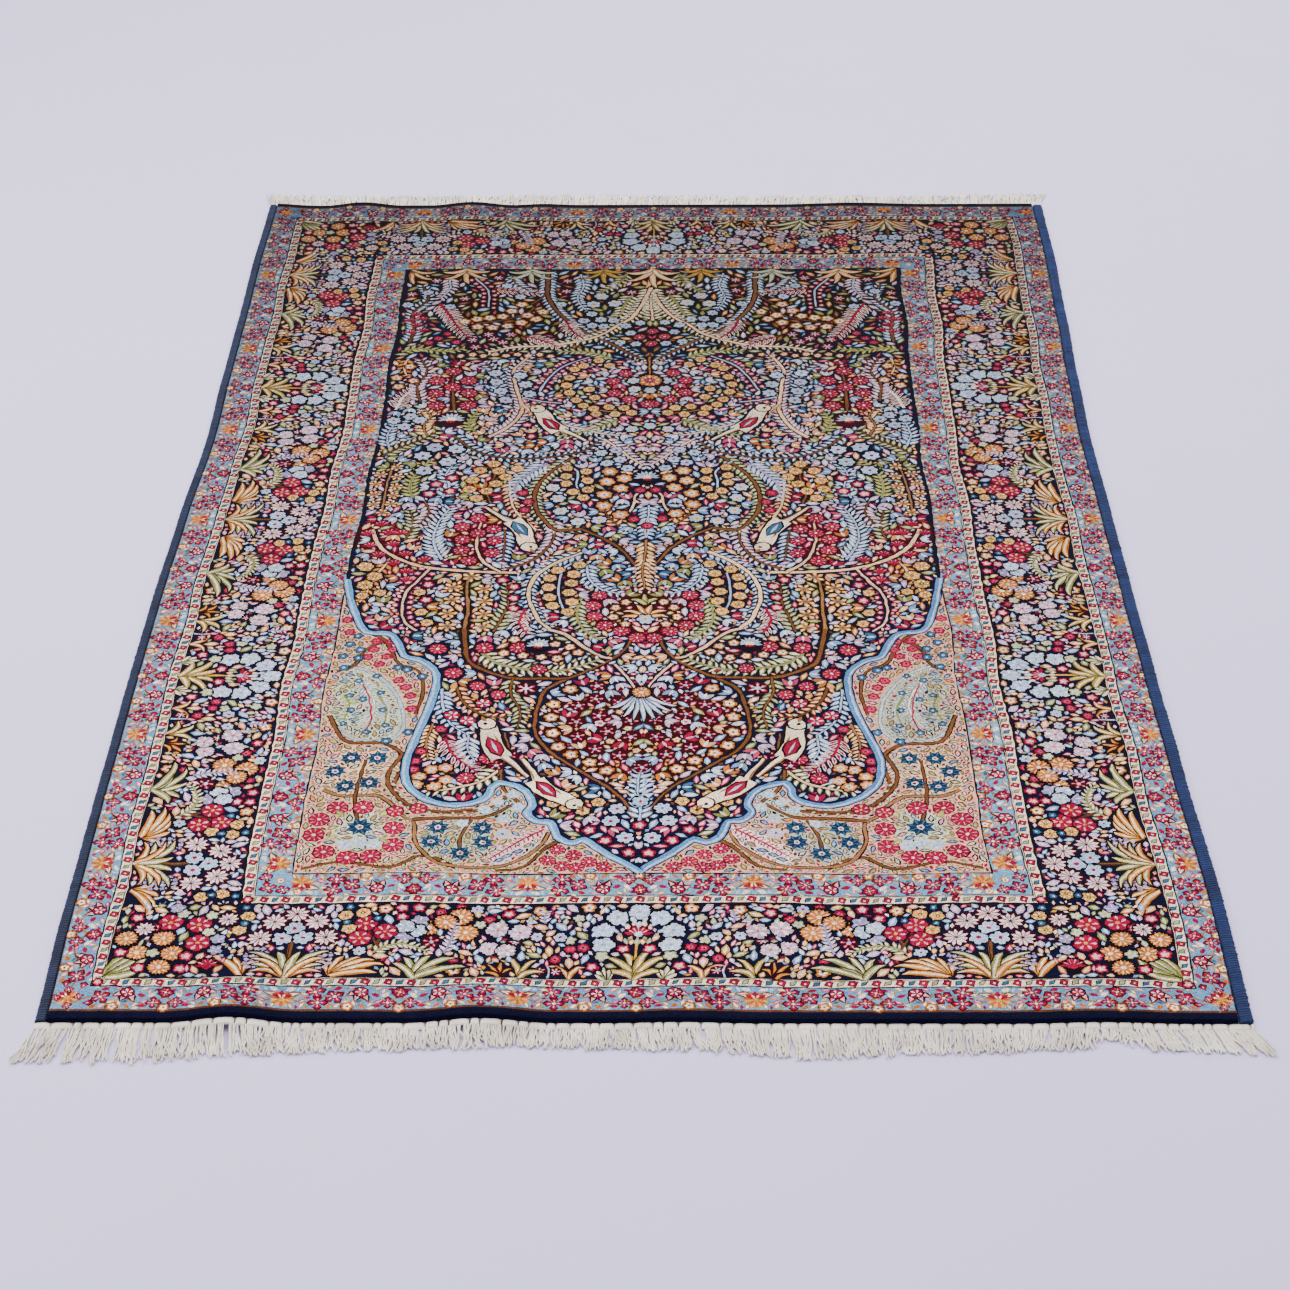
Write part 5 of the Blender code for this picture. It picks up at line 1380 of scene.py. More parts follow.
def spandrel_holds(spots: np.ndarray) -> np.ndarray:
    """Tells which places of the right half lie in the corner ground, outside the scalloped line."""
    line = smoothed(SCALLOPS, 3)
    edge = np.vstack((line, [(0, -900), (450, -900), (450, -165)]))
    held = np.zeros(len(spots), dtype=bool)
    for (ax, ay), (bx, by) in zip(edge, np.roll(edge, -1, axis=0)):
        if ay != by:
            cross = (spots[:, 1] > ay) != (spots[:, 1] > by)
            held ^= cross & (spots[:, 0] < ax + (spots[:, 1] - ay) * (bx - ax) / (by - ay))
    return held


def field_half() -> tuple[Cartoon, Cartoon]:
    """Draws the field's right half: its grounds, and what lies on them."""
    grounds = drawn(FIELD_GROUNDS)
    line = smoothed(SCALLOPS, 3)
    motifs = drawn(FIELD_STEMS + FIELD_FLOWERS)
    kept = Cartoon()
    middles = np.array([outline.mean(axis=0) for outline in motifs.outlines])
    outside = ~spandrel_holds(middles)
    for outline, yarn, keep in zip(motifs.outlines, motifs.yarns, outside):
        if keep:
            kept.paint(outline, yarn)
    grounds.paint(np.vstack((line, [(-2, -834), (414, -834)])), Yarn.SAND)
    grounds.stamp(drawn(SPANDREL_GROUNDS), Place().carry)
    corner = drawn(SPANDREL)
    scallop = Cartoon()
    scallop.paint(ribbon(line, 13.5, 13.5), Yarn.NAVY)
    scallop.paint(ribbon(line, 10, 10), Yarn.AZURE)
    scallop.paint(ribbon(line, 3, 3, -0.6), Yarn.POWDER)
    motifs = kept
    motifs.stamp(corner, Place().carry)
    motifs.stamp(scallop, Place().carry)
    ground = Ground((-2, -833), (413, 833))
    ground.take_all(motifs)
    every = np.argwhere(ground.bare)
    corner_cells = every[spandrel_holds(every + ground.low + 0.5)]
    filled = Ground((-2, -833), (413, 833))
    filled.bare = np.zeros_like(ground.bare)
    filled.bare[corner_cells[:, 0], corner_cells[:, 1]] = True
    ground.bare &= ~filled.bare
    ground.bare[-3:, :] = False
    filled.fill(motifs, SPANDREL_FILL, 3)
    upper = Ground((-2, -833), (413, 833))
    upper.bare = ground.bare & (np.arange(ground.low[1], ground.low[1] + ground.size[1]) > UPPER_FIELD)
    ground.bare &= ~upper.bare
    upper.fill(motifs, UPPER_FILL, 5, rim=2)
    ground.fill(motifs, DENSE_FILL, 4)
    return grounds, motifs


def panel(items: Iterable[Item], high: Point, passes: Sequence[Sequence[Sprig]], seed: int) -> Cartoon:
    """Draws one repeat of a border, with its bare ground filled."""
    motifs = drawn(items)
    ground = Ground((0, 1), (high[0], high[1] - 1))
    ground.take_all(motifs)
    ground.fill(motifs, passes[:2], seed)
    ground.fill(motifs, passes[2:], seed, rim=0)
    return motifs


@dataclass(frozen=True)
class Frame:
    """The sizes of one border: the upright rectangle along its outer side, and its depth."""

    half_width: float
    half_length: float
    depth: float

    def runs(self, chart: Point, middles_x: Sequence[float], middles_y: Sequence[float],
             spans: Point) -> Iterator[tuple[Run, Callable[[Outline], bool]]]:
        """Lists the runs of all repeats on the four sides.

        Args:
            chart: The length and depth of the repeat as it is charted.
            middles_x: Where the repeats are mirrored on the two ends.
            middles_y: Where they are mirrored on the two long sides.
            spans: The length that a repeat takes up on the ends and on the long sides.

        Yields:
            Each run, and what tells whether a place is inside its side of the border.
        """
        inner_x = min(self.half_width, self.half_width - self.depth) + 0.1
        inner_y = min(self.half_length, self.half_length - self.depth) + 0.1
        deep = self.depth / chart[1]
        for sign in (-1, 1):
            for middle in middles_x:
                for way in (-1, 1):
                    ahead = (way * spans[0] / chart[0], 0)
                    run = Run((middle, sign * self.half_length), ahead, (0, -sign * deep))
                    yield run, lambda spot: abs(spot[0]) < inner_x
            for middle in middles_y:
                for way in (-1, 1):
                    ahead = (0, way * spans[1] / chart[0])
                    run = Run((sign * self.half_width, middle), ahead, (-sign * deep, 0))
                    yield run, lambda spot: abs(spot[1]) < inner_y


def stripe(cartoon: Cartoon, half_width: float, half_length: float, depth: float) -> None:
    """Draws a narrow stripe: a cream ground with crimson blossoms and slanting teal leaves.

    Args:
        cartoon: What it is painted into.
        half_width: Half the width over its outer side.
        half_length: Half the length over its outer side.
        depth: How deep it is.
    """
    for inset, yarn in ((0, Yarn.UMBER), (2.0, Yarn.CREAM)):
        cartoon.band((inset - half_width, inset - half_length), (half_width - inset, half_length - inset),
                     yarn)
    middle_x, middle_y = half_width - depth / 2, half_length - depth / 2
    pitch = 13.0
    for half, other, upright in ((middle_x, middle_y, False), (middle_y, middle_x, True)):
        count = int(2 * half / pitch)
        for index in range(count):
            at = (index - (count - 1) / 2) * (2 * half / count)
            for sign in (-1, 1):
                x, y = (sign * other, at) if upright else (at, sign * other)
                cartoon.at(Place(x, y, 45 if index % 2 else -45))
                if index % 2:
                    cartoon.paint(disc(7.0, 4), Yarn.UMBER)
                    cartoon.paint(disc(5.7, 4), Yarn.CRIMSON)
                    cartoon.paint(disc(1.7, 4), Yarn.BLUSH)
                else:
                    cartoon.paint(sliver(13.5, 8.6) - (0, 6.8), Yarn.UMBER)
                    cartoon.paint(sliver(10.4, 5.8) - (0, 5.2), Yarn.TEAL if index % 4 else Yarn.SAGE)
    for x in (-middle_x, middle_x):
        for y in (-middle_y, middle_y):
            Bloom.ROSE_SMALL.draw(cartoon, Place(x, y, 0, 6.5), Yarn.UMBER)
    inset = depth - 4.2
    for step, yarn in ((0.8, Yarn.UMBER), (1.8, Yarn.CREAM), (2.6, Yarn.UMBER)):
        cartoon.band((inset + step - half_width, inset + step - half_length),
                     (half_width - inset - step, half_length - inset - step), yarn)


def stamp_border(cartoon: Cartoon, frame_size: Frame, unit: Cartoon, chart: Point,
                 middles: tuple[Sequence[float], Sequence[float]], spans: Point) -> None:
    """Stamps a border's repeat along all four sides."""
    for run, keep in frame_size.runs(chart, *middles, spans):
        cartoon.stamp(unit, run.carry, keep)


def design() -> Cartoon:
    """Draws the whole rug, from its outer edge to the middle."""
    cartoon = Cartoon()
    # The navy edge, a brown line and the outer guard's ground, each a little nearer the middle on the right
    cartoon.band((-667, -1101), (667, 1101), Yarn.NAVY)
    cartoon.band((-666, -1087), (663, 1087), Yarn.BROWN)
    cartoon.band((-664.5, -1083.5), (661, 1083.5), Yarn.GUARD)
    guard = panel(GUARD, (GUARD_LENGTH, GUARD_DEPTH), GUARD_FILL, 8)
    outer = Frame(665, 1085, 40)
    guard_size = (GUARD_LENGTH, GUARD_DEPTH)
    guard_sides = (-1087, -815, -543, -272, 0, 272, 543, 815, 1087)
    stamp_border(cartoon, outer, guard, guard_size, ((-670, -402, -134, 134, 402, 670), guard_sides),
                 (134, 135.8))
    for x in (-648, 648):
        for y in (-1064, 1064):
            Bloom.PALMETTE.draw(cartoon, Place(x, y, 45, 15))
            for step_x, step_y, radius in ((-13, 0, 6), (13, 2, 6), (0, 14, 6), (2, -14, 6)):
                Bloom.GUARD_ROSE.draw(cartoon, Place(x + step_x, y + step_y, 20, radius))
    stripe(cartoon, 625, 1045, 16)
    cartoon.band((-609, -1029), (609, 1029), Yarn.NAVY)
    border = panel(BORDER, (BORDER_LENGTH, BORDER_DEPTH), BORDER_FILL, 9)
    main_frame = Frame(609, 1029, BORDER_DEPTH)
    stamp_border(cartoon, main_frame, border, (BORDER_LENGTH, BORDER_DEPTH),
                 ((-804, 0, 804), (-1222.5, -407.5, 407.5, 1222.5)), (402, 407.5))
    corner = drawn(BORDER_CORNER)
    ground = Ground((474, 894), (608, 1028))
    ground.take_all(corner)
    ground.fill(corner, BORDER_FILL[:2], 10)
    ground.fill(corner, BORDER_FILL[2:], 10, rim=0)
    for x in (-1, 1):
        for y in (-1, 1):
            cartoon.stamp(corner, Run((0, 0), (x, 0), (0, y)).carry)
    stripe(cartoon, 473, 893, 17)
    cartoon.band((-456, -876), (456, 876), Yarn.GUARD)
    inner = Frame(413, 833, -43)
    stamp_border(cartoon, inner, guard, guard_size, ((-402, -134, 134, 402), guard_sides), (134, 135.8))
    for x in (-1, 1):
        for y in (-1, 1):
            for inset_x, inset_y, bloom, radius in CORNER_SPRAY:
                bloom.draw(cartoon, Place(x * inset_x, y * inset_y, 20, radius))
    cartoon.band((-416, -836), (416, 836), Yarn.UMBER)
    cartoon.band((-413, -833), (413, 833), Yarn.NAVY)
    grounds, motifs = field_half()
    for flip in (False, True):
        cartoon.stamp(grounds, Place(flip=flip).carry)
    for flip in (False, True):
        cartoon.stamp(motifs, Place(flip=flip).carry)
    return cartoon


# ------------------------------------------------------------------ how the rug lies

@dataclass(frozen=True)
class SideRow:
    """Where the long sides stand at one place along the rug, outwards from the even rectangle."""

    y: float
    left: float
    right: float


@dataclass(frozen=True)
class Ripple:
    """A ripple that lifts one end off the floor; end is -1 for the near end and 1 for the far end."""

    end: int
    x: float
    height: float
    half_width: float
    reach: float


@dataclass(frozen=True)
class FringeRow:
    """How long the fringe is at one place, and how far its tips lean to the right."""

    x: float
    length: float
    lean: float


def eased(rows: Sequence[SideRow | FringeRow], key: str, value: str, at: np.ndarray) -> np.ndarray:
    """Reads one column of a table between its rows, easing from row to row.

    Args:
        rows: The table.
        key: The column that says where each row is.
        value: The column to read.
        at: The places to read it at.

    Returns:
        The column's value at each place.
    """
    stops = np.array([getattr(row, key) for row in rows])
    values = np.array([getattr(row, value) for row in rows])
    spots = np.clip(np.searchsorted(stops, at, side="right") - 1, 0, len(stops) - 2)
    share = np.clip((at - stops[spots]) / (stops[spots + 1] - stops[spots]), 0, 1)
    share = share * share * (3 - 2 * share)
    return values[spots] * (1 - share) + values[spots + 1] * share


def hump(offset: np.ndarray, half_width: float) -> np.ndarray:
    """Gives a smooth hump, 1 in its middle and 0 from its half width outwards."""
    return np.cos(np.minimum(np.abs(offset) / half_width, 1.0) * math.pi / 2) ** 2


@dataclass(frozen=True)
class Lie:
    """How the rug lies on the floor: its wandering sides and its rippled ends, in metres."""

    half_width: float = 0.680
    half_length: float = 1.100
    left_cord: float = 0.0135
    right_cord: float = 0.0175
    gap: float = 0.0003
    thickness: float = 0.009
    sides: tuple[SideRow, ...] = (
        SideRow(-1.100, -0.006, 0.009), SideRow(-0.900, -0.001, 0.010), SideRow(-0.600, 0.002, 0.002),
        SideRow(-0.400, 0.004, -0.002), SideRow(-0.200, 0.004, -0.005), SideRow(0.000, 0.001, -0.007),
        SideRow(0.250, -0.006, -0.010), SideRow(0.450, -0.002, -0.006), SideRow(0.650, 0.000, 0.000),
        SideRow(0.900, 0.004, 0.006), SideRow(1.100, 0.002, 0.006))
    ripples: tuple[Ripple, ...] = (
        Ripple(-1, -0.455, 0.0085, 0.075, 0.150), Ripple(-1, -0.175, 0.0075, 0.085, 0.130),
        Ripple(-1, 0.050, 0.0020, 0.090, 0.100), Ripple(-1, 0.520, 0.0025, 0.100, 0.110),
        Ripple(1, -0.690, 0.0050, 0.100, 0.160), Ripple(1, -0.515, 0.0065, 0.070, 0.140),
        Ripple(1, -0.322, 0.0065, 0.075, 0.150), Ripple(1, -0.195, 0.0022, 0.060, 0.110),
        Ripple(1, 0.350, 0.0030, 0.130, 0.140))

    def side_x(self, x: np.ndarray, y: np.ndarray) -> np.ndarray:
        """Moves places on the even rectangle out or in with the side that each is nearer to."""
        left = eased(self.sides, "y", "left", y)
        right = eased(self.sides, "y", "right", y)
        return x + np.where(x < 0, -left, right) * np.abs(x) / self.half_width

    def lift(self, x: np.ndarray, y: np.ndarray) -> np.ndarray:
        """Gives how high the ripples carry the underside off the floor."""
        height = np.zeros_like(x)
        for ripple in self.ripples:
            inward = self.half_length - ripple.end * y
            height += ripple.height * hump(x - ripple.x, ripple.half_width) * hump(inward, ripple.reach)
        return height


# ------------------------------------------------------------------ shader trees

Knob = bpy.types.NodeSocket | float | int | str | tuple | bpy.types.Material


class Sketch:
    """A short way to write a tree of nodes."""

    def __init__(self, tree: bpy.types.NodeTree) -> None:
        """Starts from an existing tree."""
        self.tree = tree

    def add(self, kind: str, knobs: dict[str | int, Knob] | None = None,
            **settings: object) -> bpy.types.Node:
        """Adds a node.

        Args:
            kind: The node's type.
            knobs: What goes into its inputs: a socket to link, or a value.
            settings: The node's own properties.

        Returns:
            The new node.
        """
        node = self.tree.nodes.new(kind)
        for name, setting in settings.items():
            setattr(node, name, setting)
        for name, knob in (knobs or {}).items():
            if isinstance(knob, bpy.types.NodeSocket):
                self.tree.links.new(knob, node.inputs[name])
            else:
                node.inputs[name].default_value = knob
        return node

    def math(self, operation: str, *terms: Knob) -> bpy.types.NodeSocket:
        """Adds a math node and gives its result."""
        return self.add("ShaderNodeMath", dict(enumerate(terms)), operation=operation).outputs[0]

    def stretch(self, source: bpy.types.NodeSocket, low: float, high: float, to_low: float,
                to_high: float) -> bpy.types.NodeSocket:
        """Maps a value from one range to another, and keeps it inside that."""
        knobs = {0: source, 1: low, 2: high, 3: to_low, 4: to_high}
        return self.add("ShaderNodeMapRange", knobs).outputs[0]


class Finish(Sketch):
    """A yarn material with a diffuse surface and a little wool sheen."""

    def __init__(self, name: str, roughness: float, sheen: float, specular: float) -> None:
        """Makes a material whose constants sit on the shader's own sockets."""
        self.material = bpy.data.materials.new(name)
        self.material.use_nodes = True
        super().__init__(self.material.node_tree)
        self.shader = self.tree.nodes["Principled BSDF"]
        self.shader.inputs["Roughness"].default_value = roughness
        self.shader.inputs["Sheen Weight"].default_value = sheen
        self.shader.inputs["Sheen Roughness"].default_value = 0.5
        self.shader.inputs["Specular IOR Level"].default_value = specular
        self.place = self.add("ShaderNodeTexCoord").outputs["Object"]

    def noise(self, scale: float, detail: float, low: float, high: float,
              vector: bpy.types.NodeSocket | None = None) -> bpy.types.NodeSocket:
        """Adds a noise in object space, spread between two values."""
        knobs = {"Vector": vector or self.place, "Scale": scale, "Detail": detail, "Roughness": 0.6}
        texture = self.add("ShaderNodeTexNoise", knobs)
        return self.stretch(texture.outputs[0], 0.3, 0.7, low, high)

    def scaled_place(self, scale: tuple[float, float, float]) -> bpy.types.NodeSocket:
        """Gives object coordinates with each axis scaled on its own."""
        return self.add("ShaderNodeMapping", {"Vector": self.place, "Scale": scale}).outputs[0]

    def shade(self, colour: bpy.types.NodeSocket, *factors: bpy.types.NodeSocket) -> bpy.types.NodeSocket:
        """Multiplies a colour by grey factors."""
        for factor in factors:
            colour = self.add("ShaderNodeVectorMath", {0: colour, 1: factor},
                              operation="MULTIPLY").outputs[0]
        return colour

    def close(self, colour: bpy.types.NodeSocket, height: bpy.types.NodeSocket, strength: float,
              distance: float) -> bpy.types.Material:
        """Wires a colour and a height into the shader.

        Args:
            colour: The surface's colour.
            height: Its height, between 0 and 1.
            strength: The bump's strength.
            distance: How many metres a height of 1 is.

        Returns:
            The finished material.
        """
        bump = self.add("ShaderNodeBump", {"Height": height, "Strength": strength, "Distance": distance})
        self.tree.links.new(colour, self.shader.inputs["Base Color"])
        self.tree.links.new(bump.outputs[0], self.shader.inputs["Normal"])
        return self.material


@dataclass(frozen=True)
class PileFinish:
    """Clipped wool pile: knots in rows with painted shade between them, dye lots that change along the rug,
    soft wear, and painted shade that deepens towards the far end.
    """

    name: str = "pile_wool_dyed"
    knot: float = 0.0021
    knot_shade: float = 0.26
    sheen: float = 0.02
    # how dark the painted shade leaves the pile at the far end, as a share of its colour
    far_end_shade: float = 0.31

    def build(self) -> bpy.types.Material:
        """Builds the material from the yarn colours that the mesh carries."""
        finish = Finish(self.name, 0.95, self.sheen, 0.03)
        dyed = finish.add("ShaderNodeAttribute", attribute_name="yarn").outputs["Color"]
        knots = finish.add("ShaderNodeTexVoronoi", {"Vector": finish.scaled_place((1, 1.12, 1)),
                                                    "Scale": 1 / self.knot, "Randomness": 0.55})
        tuft = finish.add("ShaderNodeSeparateColor", {0: knots.outputs["Color"]}).outputs[0]
        tone = finish.stretch(tuft, 0, 1, 1 - self.knot_shade, 1 + self.knot_shade)
        # painted light and shade on each knot: lighter in its middle, darker in the gaps between knots,
        # where shade falls between the tufts
        painted_tuft_shading = finish.stretch(knots.outputs["Distance"], 0.1, 0.75, 1.2, 0.5)
        abrash = finish.noise(1.0, 2, 0.95, 1.05, finish.scaled_place((0.8, 14, 1)))
        wear = finish.noise(60, 3, 0.88, 1.1)
        along = finish.add("ShaderNodeSeparateXYZ", {0: finish.place}).outputs[1]
        # painted shade: the pile is darkened steadily from the near end to the far end, where it is seen at
        # a grazing angle
        far_end_painted_shade = finish.stretch(along, -0.7, 1.1, 1.06, self.far_end_shade)
        colour = finish.shade(dyed, tone, painted_tuft_shading, abrash, wear, far_end_painted_shade)
        height = finish.stretch(knots.outputs["Distance"], 0.0, 0.8, 1, 0)
        ruffled = finish.math("ADD", height, finish.noise(260, 2, 0, 0.9))
        return finish.close(colour, ruffled, 0.75, 0.0007)


@dataclass(frozen=True)
class YarnFinish:
    """Spun yarn of one colour, with fibres that catch the light and a change of shade along it."""

    name: str
    colour: tuple[float, float, float]
    dark: tuple[float, float, float]
    fibre: float = 900.0
    sheen: float = 0.3
    roughness: float = 0.85

    def build(self) -> bpy.types.Material:
        """Builds the material."""
        finish = Finish(self.name, self.roughness, self.sheen, 0.25)
        patches = finish.noise(24, 3, 0, 1)
        mixed = finish.add("ShaderNodeMix", {"Factor": patches}, data_type="RGBA")
        for socket, tint in ((6, self.dark), (7, self.colour)):
            mixed.inputs[socket].default_value = (*tint, 1)
        fibres = finish.noise(self.fibre, 2, 0, 1)
        colour = finish.shade(mixed.outputs[2], finish.stretch(fibres, 0, 1, 0.84, 1.1))
        return finish.close(colour, fibres, 0.5, 0.0004)


# ------------------------------------------------------------------ mesh helpers

def linked(name: str, mesh: bpy.types.Mesh, material: bpy.types.Material) -> bpy.types.Object:
    """Makes a piece from a mesh, in one material, and adds it to the scene."""
    mesh.materials.clear()
    mesh.materials.append(material)
    piece = bpy.data.objects.new(name, mesh)
    bpy.context.scene.collection.objects.link(piece)
    return piece


def mesh_of(name: str, corners: np.ndarray, faces: Sequence[Sequence[int]]) -> bpy.types.Mesh:
    """Makes a mesh from corners and faces."""
    mesh = bpy.data.meshes.new(name)
    mesh.from_pydata(corners.tolist(), [], faces)
    mesh.update()
    return mesh


def dress(mesh: bpy.types.Mesh, colours: np.ndarray, hidden: np.ndarray) -> None:
    """Gives a mesh its yarn colours, a flat map for baking and smooth shading.

    Args:
        mesh: The mesh.
        colours: One linear red, green and blue for each face.
        hidden: Which faces don't show, so that the map gives them next to no room.
    """
    loops = len(mesh.loops)
    totals = np.zeros(len(mesh.polygons), dtype=np.int32)
    mesh.polygons.foreach_get("loop_total", totals)
    corner_face = np.repeat(np.arange(len(totals)), totals)
    yarn = mesh.color_attributes.new("yarn", "FLOAT_COLOR", "CORNER")
    yarn.data.foreach_set("color", np.column_stack((colours[corner_face], np.ones(loops))).ravel())

    corners = np.zeros(loops, dtype=np.int32)
    mesh.loops.foreach_get("vertex_index", corners)
    places = np.zeros(len(mesh.vertices) * 3)
    mesh.vertices.foreach_get("co", places)
    flat = places.reshape(-1, 3)[:, :2]
    share = (flat - flat.min(axis=0)) / (flat.max(axis=0) - flat.min(axis=0))
    uv = share[corners] * (1, 0.97) + (0, 0.03)
    tucked = hidden[corner_face]
    uv[tucked] = share[corners][tucked] * (1, 0.02)
    mesh.uv_layers.new(name="OFBake").data.foreach_set("uv", uv.ravel())
    mesh.polygons.foreach_set("use_smooth", np.ones(len(totals), dtype=bool))
    mesh.set_sharp_from_angle(angle=math.radians(50))


# ------------------------------------------------------------------ loom

@dataclass(frozen=True)
class Zone:
    """A part of the carpet that is one piece: all inside its own sides and outside the next zone's."""

    name: str
    left: float
    right: float
    half_length: float


CARPET_ZONES = (Zone("pile_outer_bands", -666.2, 662.2, 1100.0), Zone("pile_border_ends", -609, 609, 1029),
                Zone("pile_border_sides", -609, 609, 893),
                Zone("pile_inner_guard", -473, 473, 893), Zone("pile_field_sides", -413, 413, 833),
                Zone("pile_field_middle", -196, 196, 833))


def half_edges(faces: np.ndarray, count: int) -> tuple[np.ndarray, np.ndarray, np.ndarray]:
    """Lists the sides of triangles.

    Args:
        faces: The triangles' corners.
        count: How many corners there are in all.

    Returns:
        Where each side starts and ends, and the position of the same side in the next face, or -1.
    """
    start, end = faces.ravel(), np.roll(faces, -1, axis=1).ravel()
    keys = start * count + end
    order = np.argsort(keys)
    sorted_keys = keys[order]
    wanted = end * count + start
    found = np.minimum(np.searchsorted(sorted_keys, wanted), len(keys) - 1)
    return start, end, np.where(sorted_keys[found] == wanted, order[found], -1)


def crossings(ring: Outline, x: np.ndarray, y: np.ndarray) -> np.ndarray:
    """Tells which of a few places an outline holds, by the sides that lie to their right."""
    ends = np.roll(ring, -1, axis=0)
    rise = ends[:, 1] - ring[:, 1]
    slope = (ends[:, 0] - ring[:, 0]) / np.where(rise == 0, 1, rise)
    passed = (ring[:, 1] > y[:, None]) != (ends[:, 1] > y[:, None])
    passed &= x[:, None] < ring[:, 0] + (y[:, None] - ring[:, 1]) * slope
    return passed.sum(axis=1) % 2 == 1


def painted_last(rings: Sequence[Outline], middles: np.ndarray, cell: float = 8.0,
                 large: float = 64.0) -> np.ndarray:
    """Finds the outline that was painted last over each place.

    Args:
        rings: The outlines, in the order they were painted.
        middles: The places.
        cell: How wide the columns are that the places are sorted into.
        large: Outlines wider or taller than this are tested side by side on all places.

    Returns:
        For each place the number of an outline, or 0.
    """
    column = np.floor(middles[:, 0] / cell).astype(int)
    first = int(column.min())
    by_column = np.lexsort((middles[:, 1], column))
    starts = np.searchsorted(column[by_column], np.arange(first, int(column.max()) + 2))
    x, y = middles[by_column].T
    by_height = np.argsort(y)
    high_x, high_y = x[by_height], y[by_height]
    last = np.zeros(len(middles), dtype=np.int64)
    for number, ring in enumerate(rings):
        low, high = ring.min(axis=0), ring.max(axis=0)
        if (high - low).max() > large:
            held = np.zeros(len(middles), dtype=bool)
            for (ax, ay), (bx, by) in zip(ring, np.roll(ring, -1, axis=0)):
                low_end, high_end = np.searchsorted(high_y, (min(ay, by), max(ay, by)))
                if high_end > low_end:
                    share = (high_y[low_end:high_end] - ay) / (by - ay)
                    held[low_end:high_end] ^= high_x[low_end:high_end] < ax + share * (bx - ax)
            last[by_height[held]] = number
            continue
        for index in range(math.floor(low[0] / cell) - first, math.floor(high[0] / cell) - first + 1):
            if 0 <= index < len(starts) - 1:
                start, end = starts[index], starts[index + 1]
                start, end = start + np.searchsorted(y[start:end], (low[1], high[1]))
                if end > start:
                    held = crossings(ring, x[start:end], y[start:end])
                    last[start:end][held] = number
    found = np.zeros_like(last)
    found[by_column] = last
    return found


def straightened(corners: np.ndarray, lines: np.ndarray, seed: int, slack: float = 0.26,
                 longest: float = 13.0) -> np.ndarray:
    """Takes out corners between two lines that run straight on.

    Args:
        corners: All corners.
        lines: The two ends of each line.
        seed: The seed of the order in which corners are taken out.
        slack: How far a corner may stand off the straight line.
        longest: The longest line that may come of it.

    Returns:
        The lines that are left, with the new ones.
    """
    ends = np.concatenate((lines[:, 0], lines[:, 1]))
    others = np.concatenate((lines[:, 1], lines[:, 0]))
    order = np.argsort(ends, kind="stable")
    degree = np.bincount(ends, minlength=len(corners))
    first = np.concatenate(([0], np.cumsum(degree)))[:-1]
    middle = np.flatnonzero(degree == 2)
    one, two = order[first[middle]], order[first[middle] + 1]
    before, after = others[one], others[two]
    span = corners[after] - corners[before]
    reach = corners[middle] - corners[before]
    length = np.linalg.norm(span, axis=1)
    stand_off = np.abs(span[:, 0] * reach[:, 1] - span[:, 1] * reach[:, 0]) / np.maximum(length, 1e-9)
    ahead = (reach * span).sum(axis=1) > 0
    straight = (stand_off < slack) & (length < longest) & (before != after) & ahead
    rank = np.zeros(len(corners))
    rank[middle[straight]] = np.random.default_rng(seed).random(int(straight.sum())) + 0.1
    chosen = straight & (rank[middle] > rank[before]) & (rank[middle] > rank[after])
    one, two = one[chosen], two[chosen]
    joined = np.column_stack((before[chosen], after[chosen]))
    left_over = np.ones(len(lines), dtype=bool)
    left_over[one % len(lines)] = False
    left_over[two % len(lines)] = False
    return np.vstack((lines[left_over], joined))


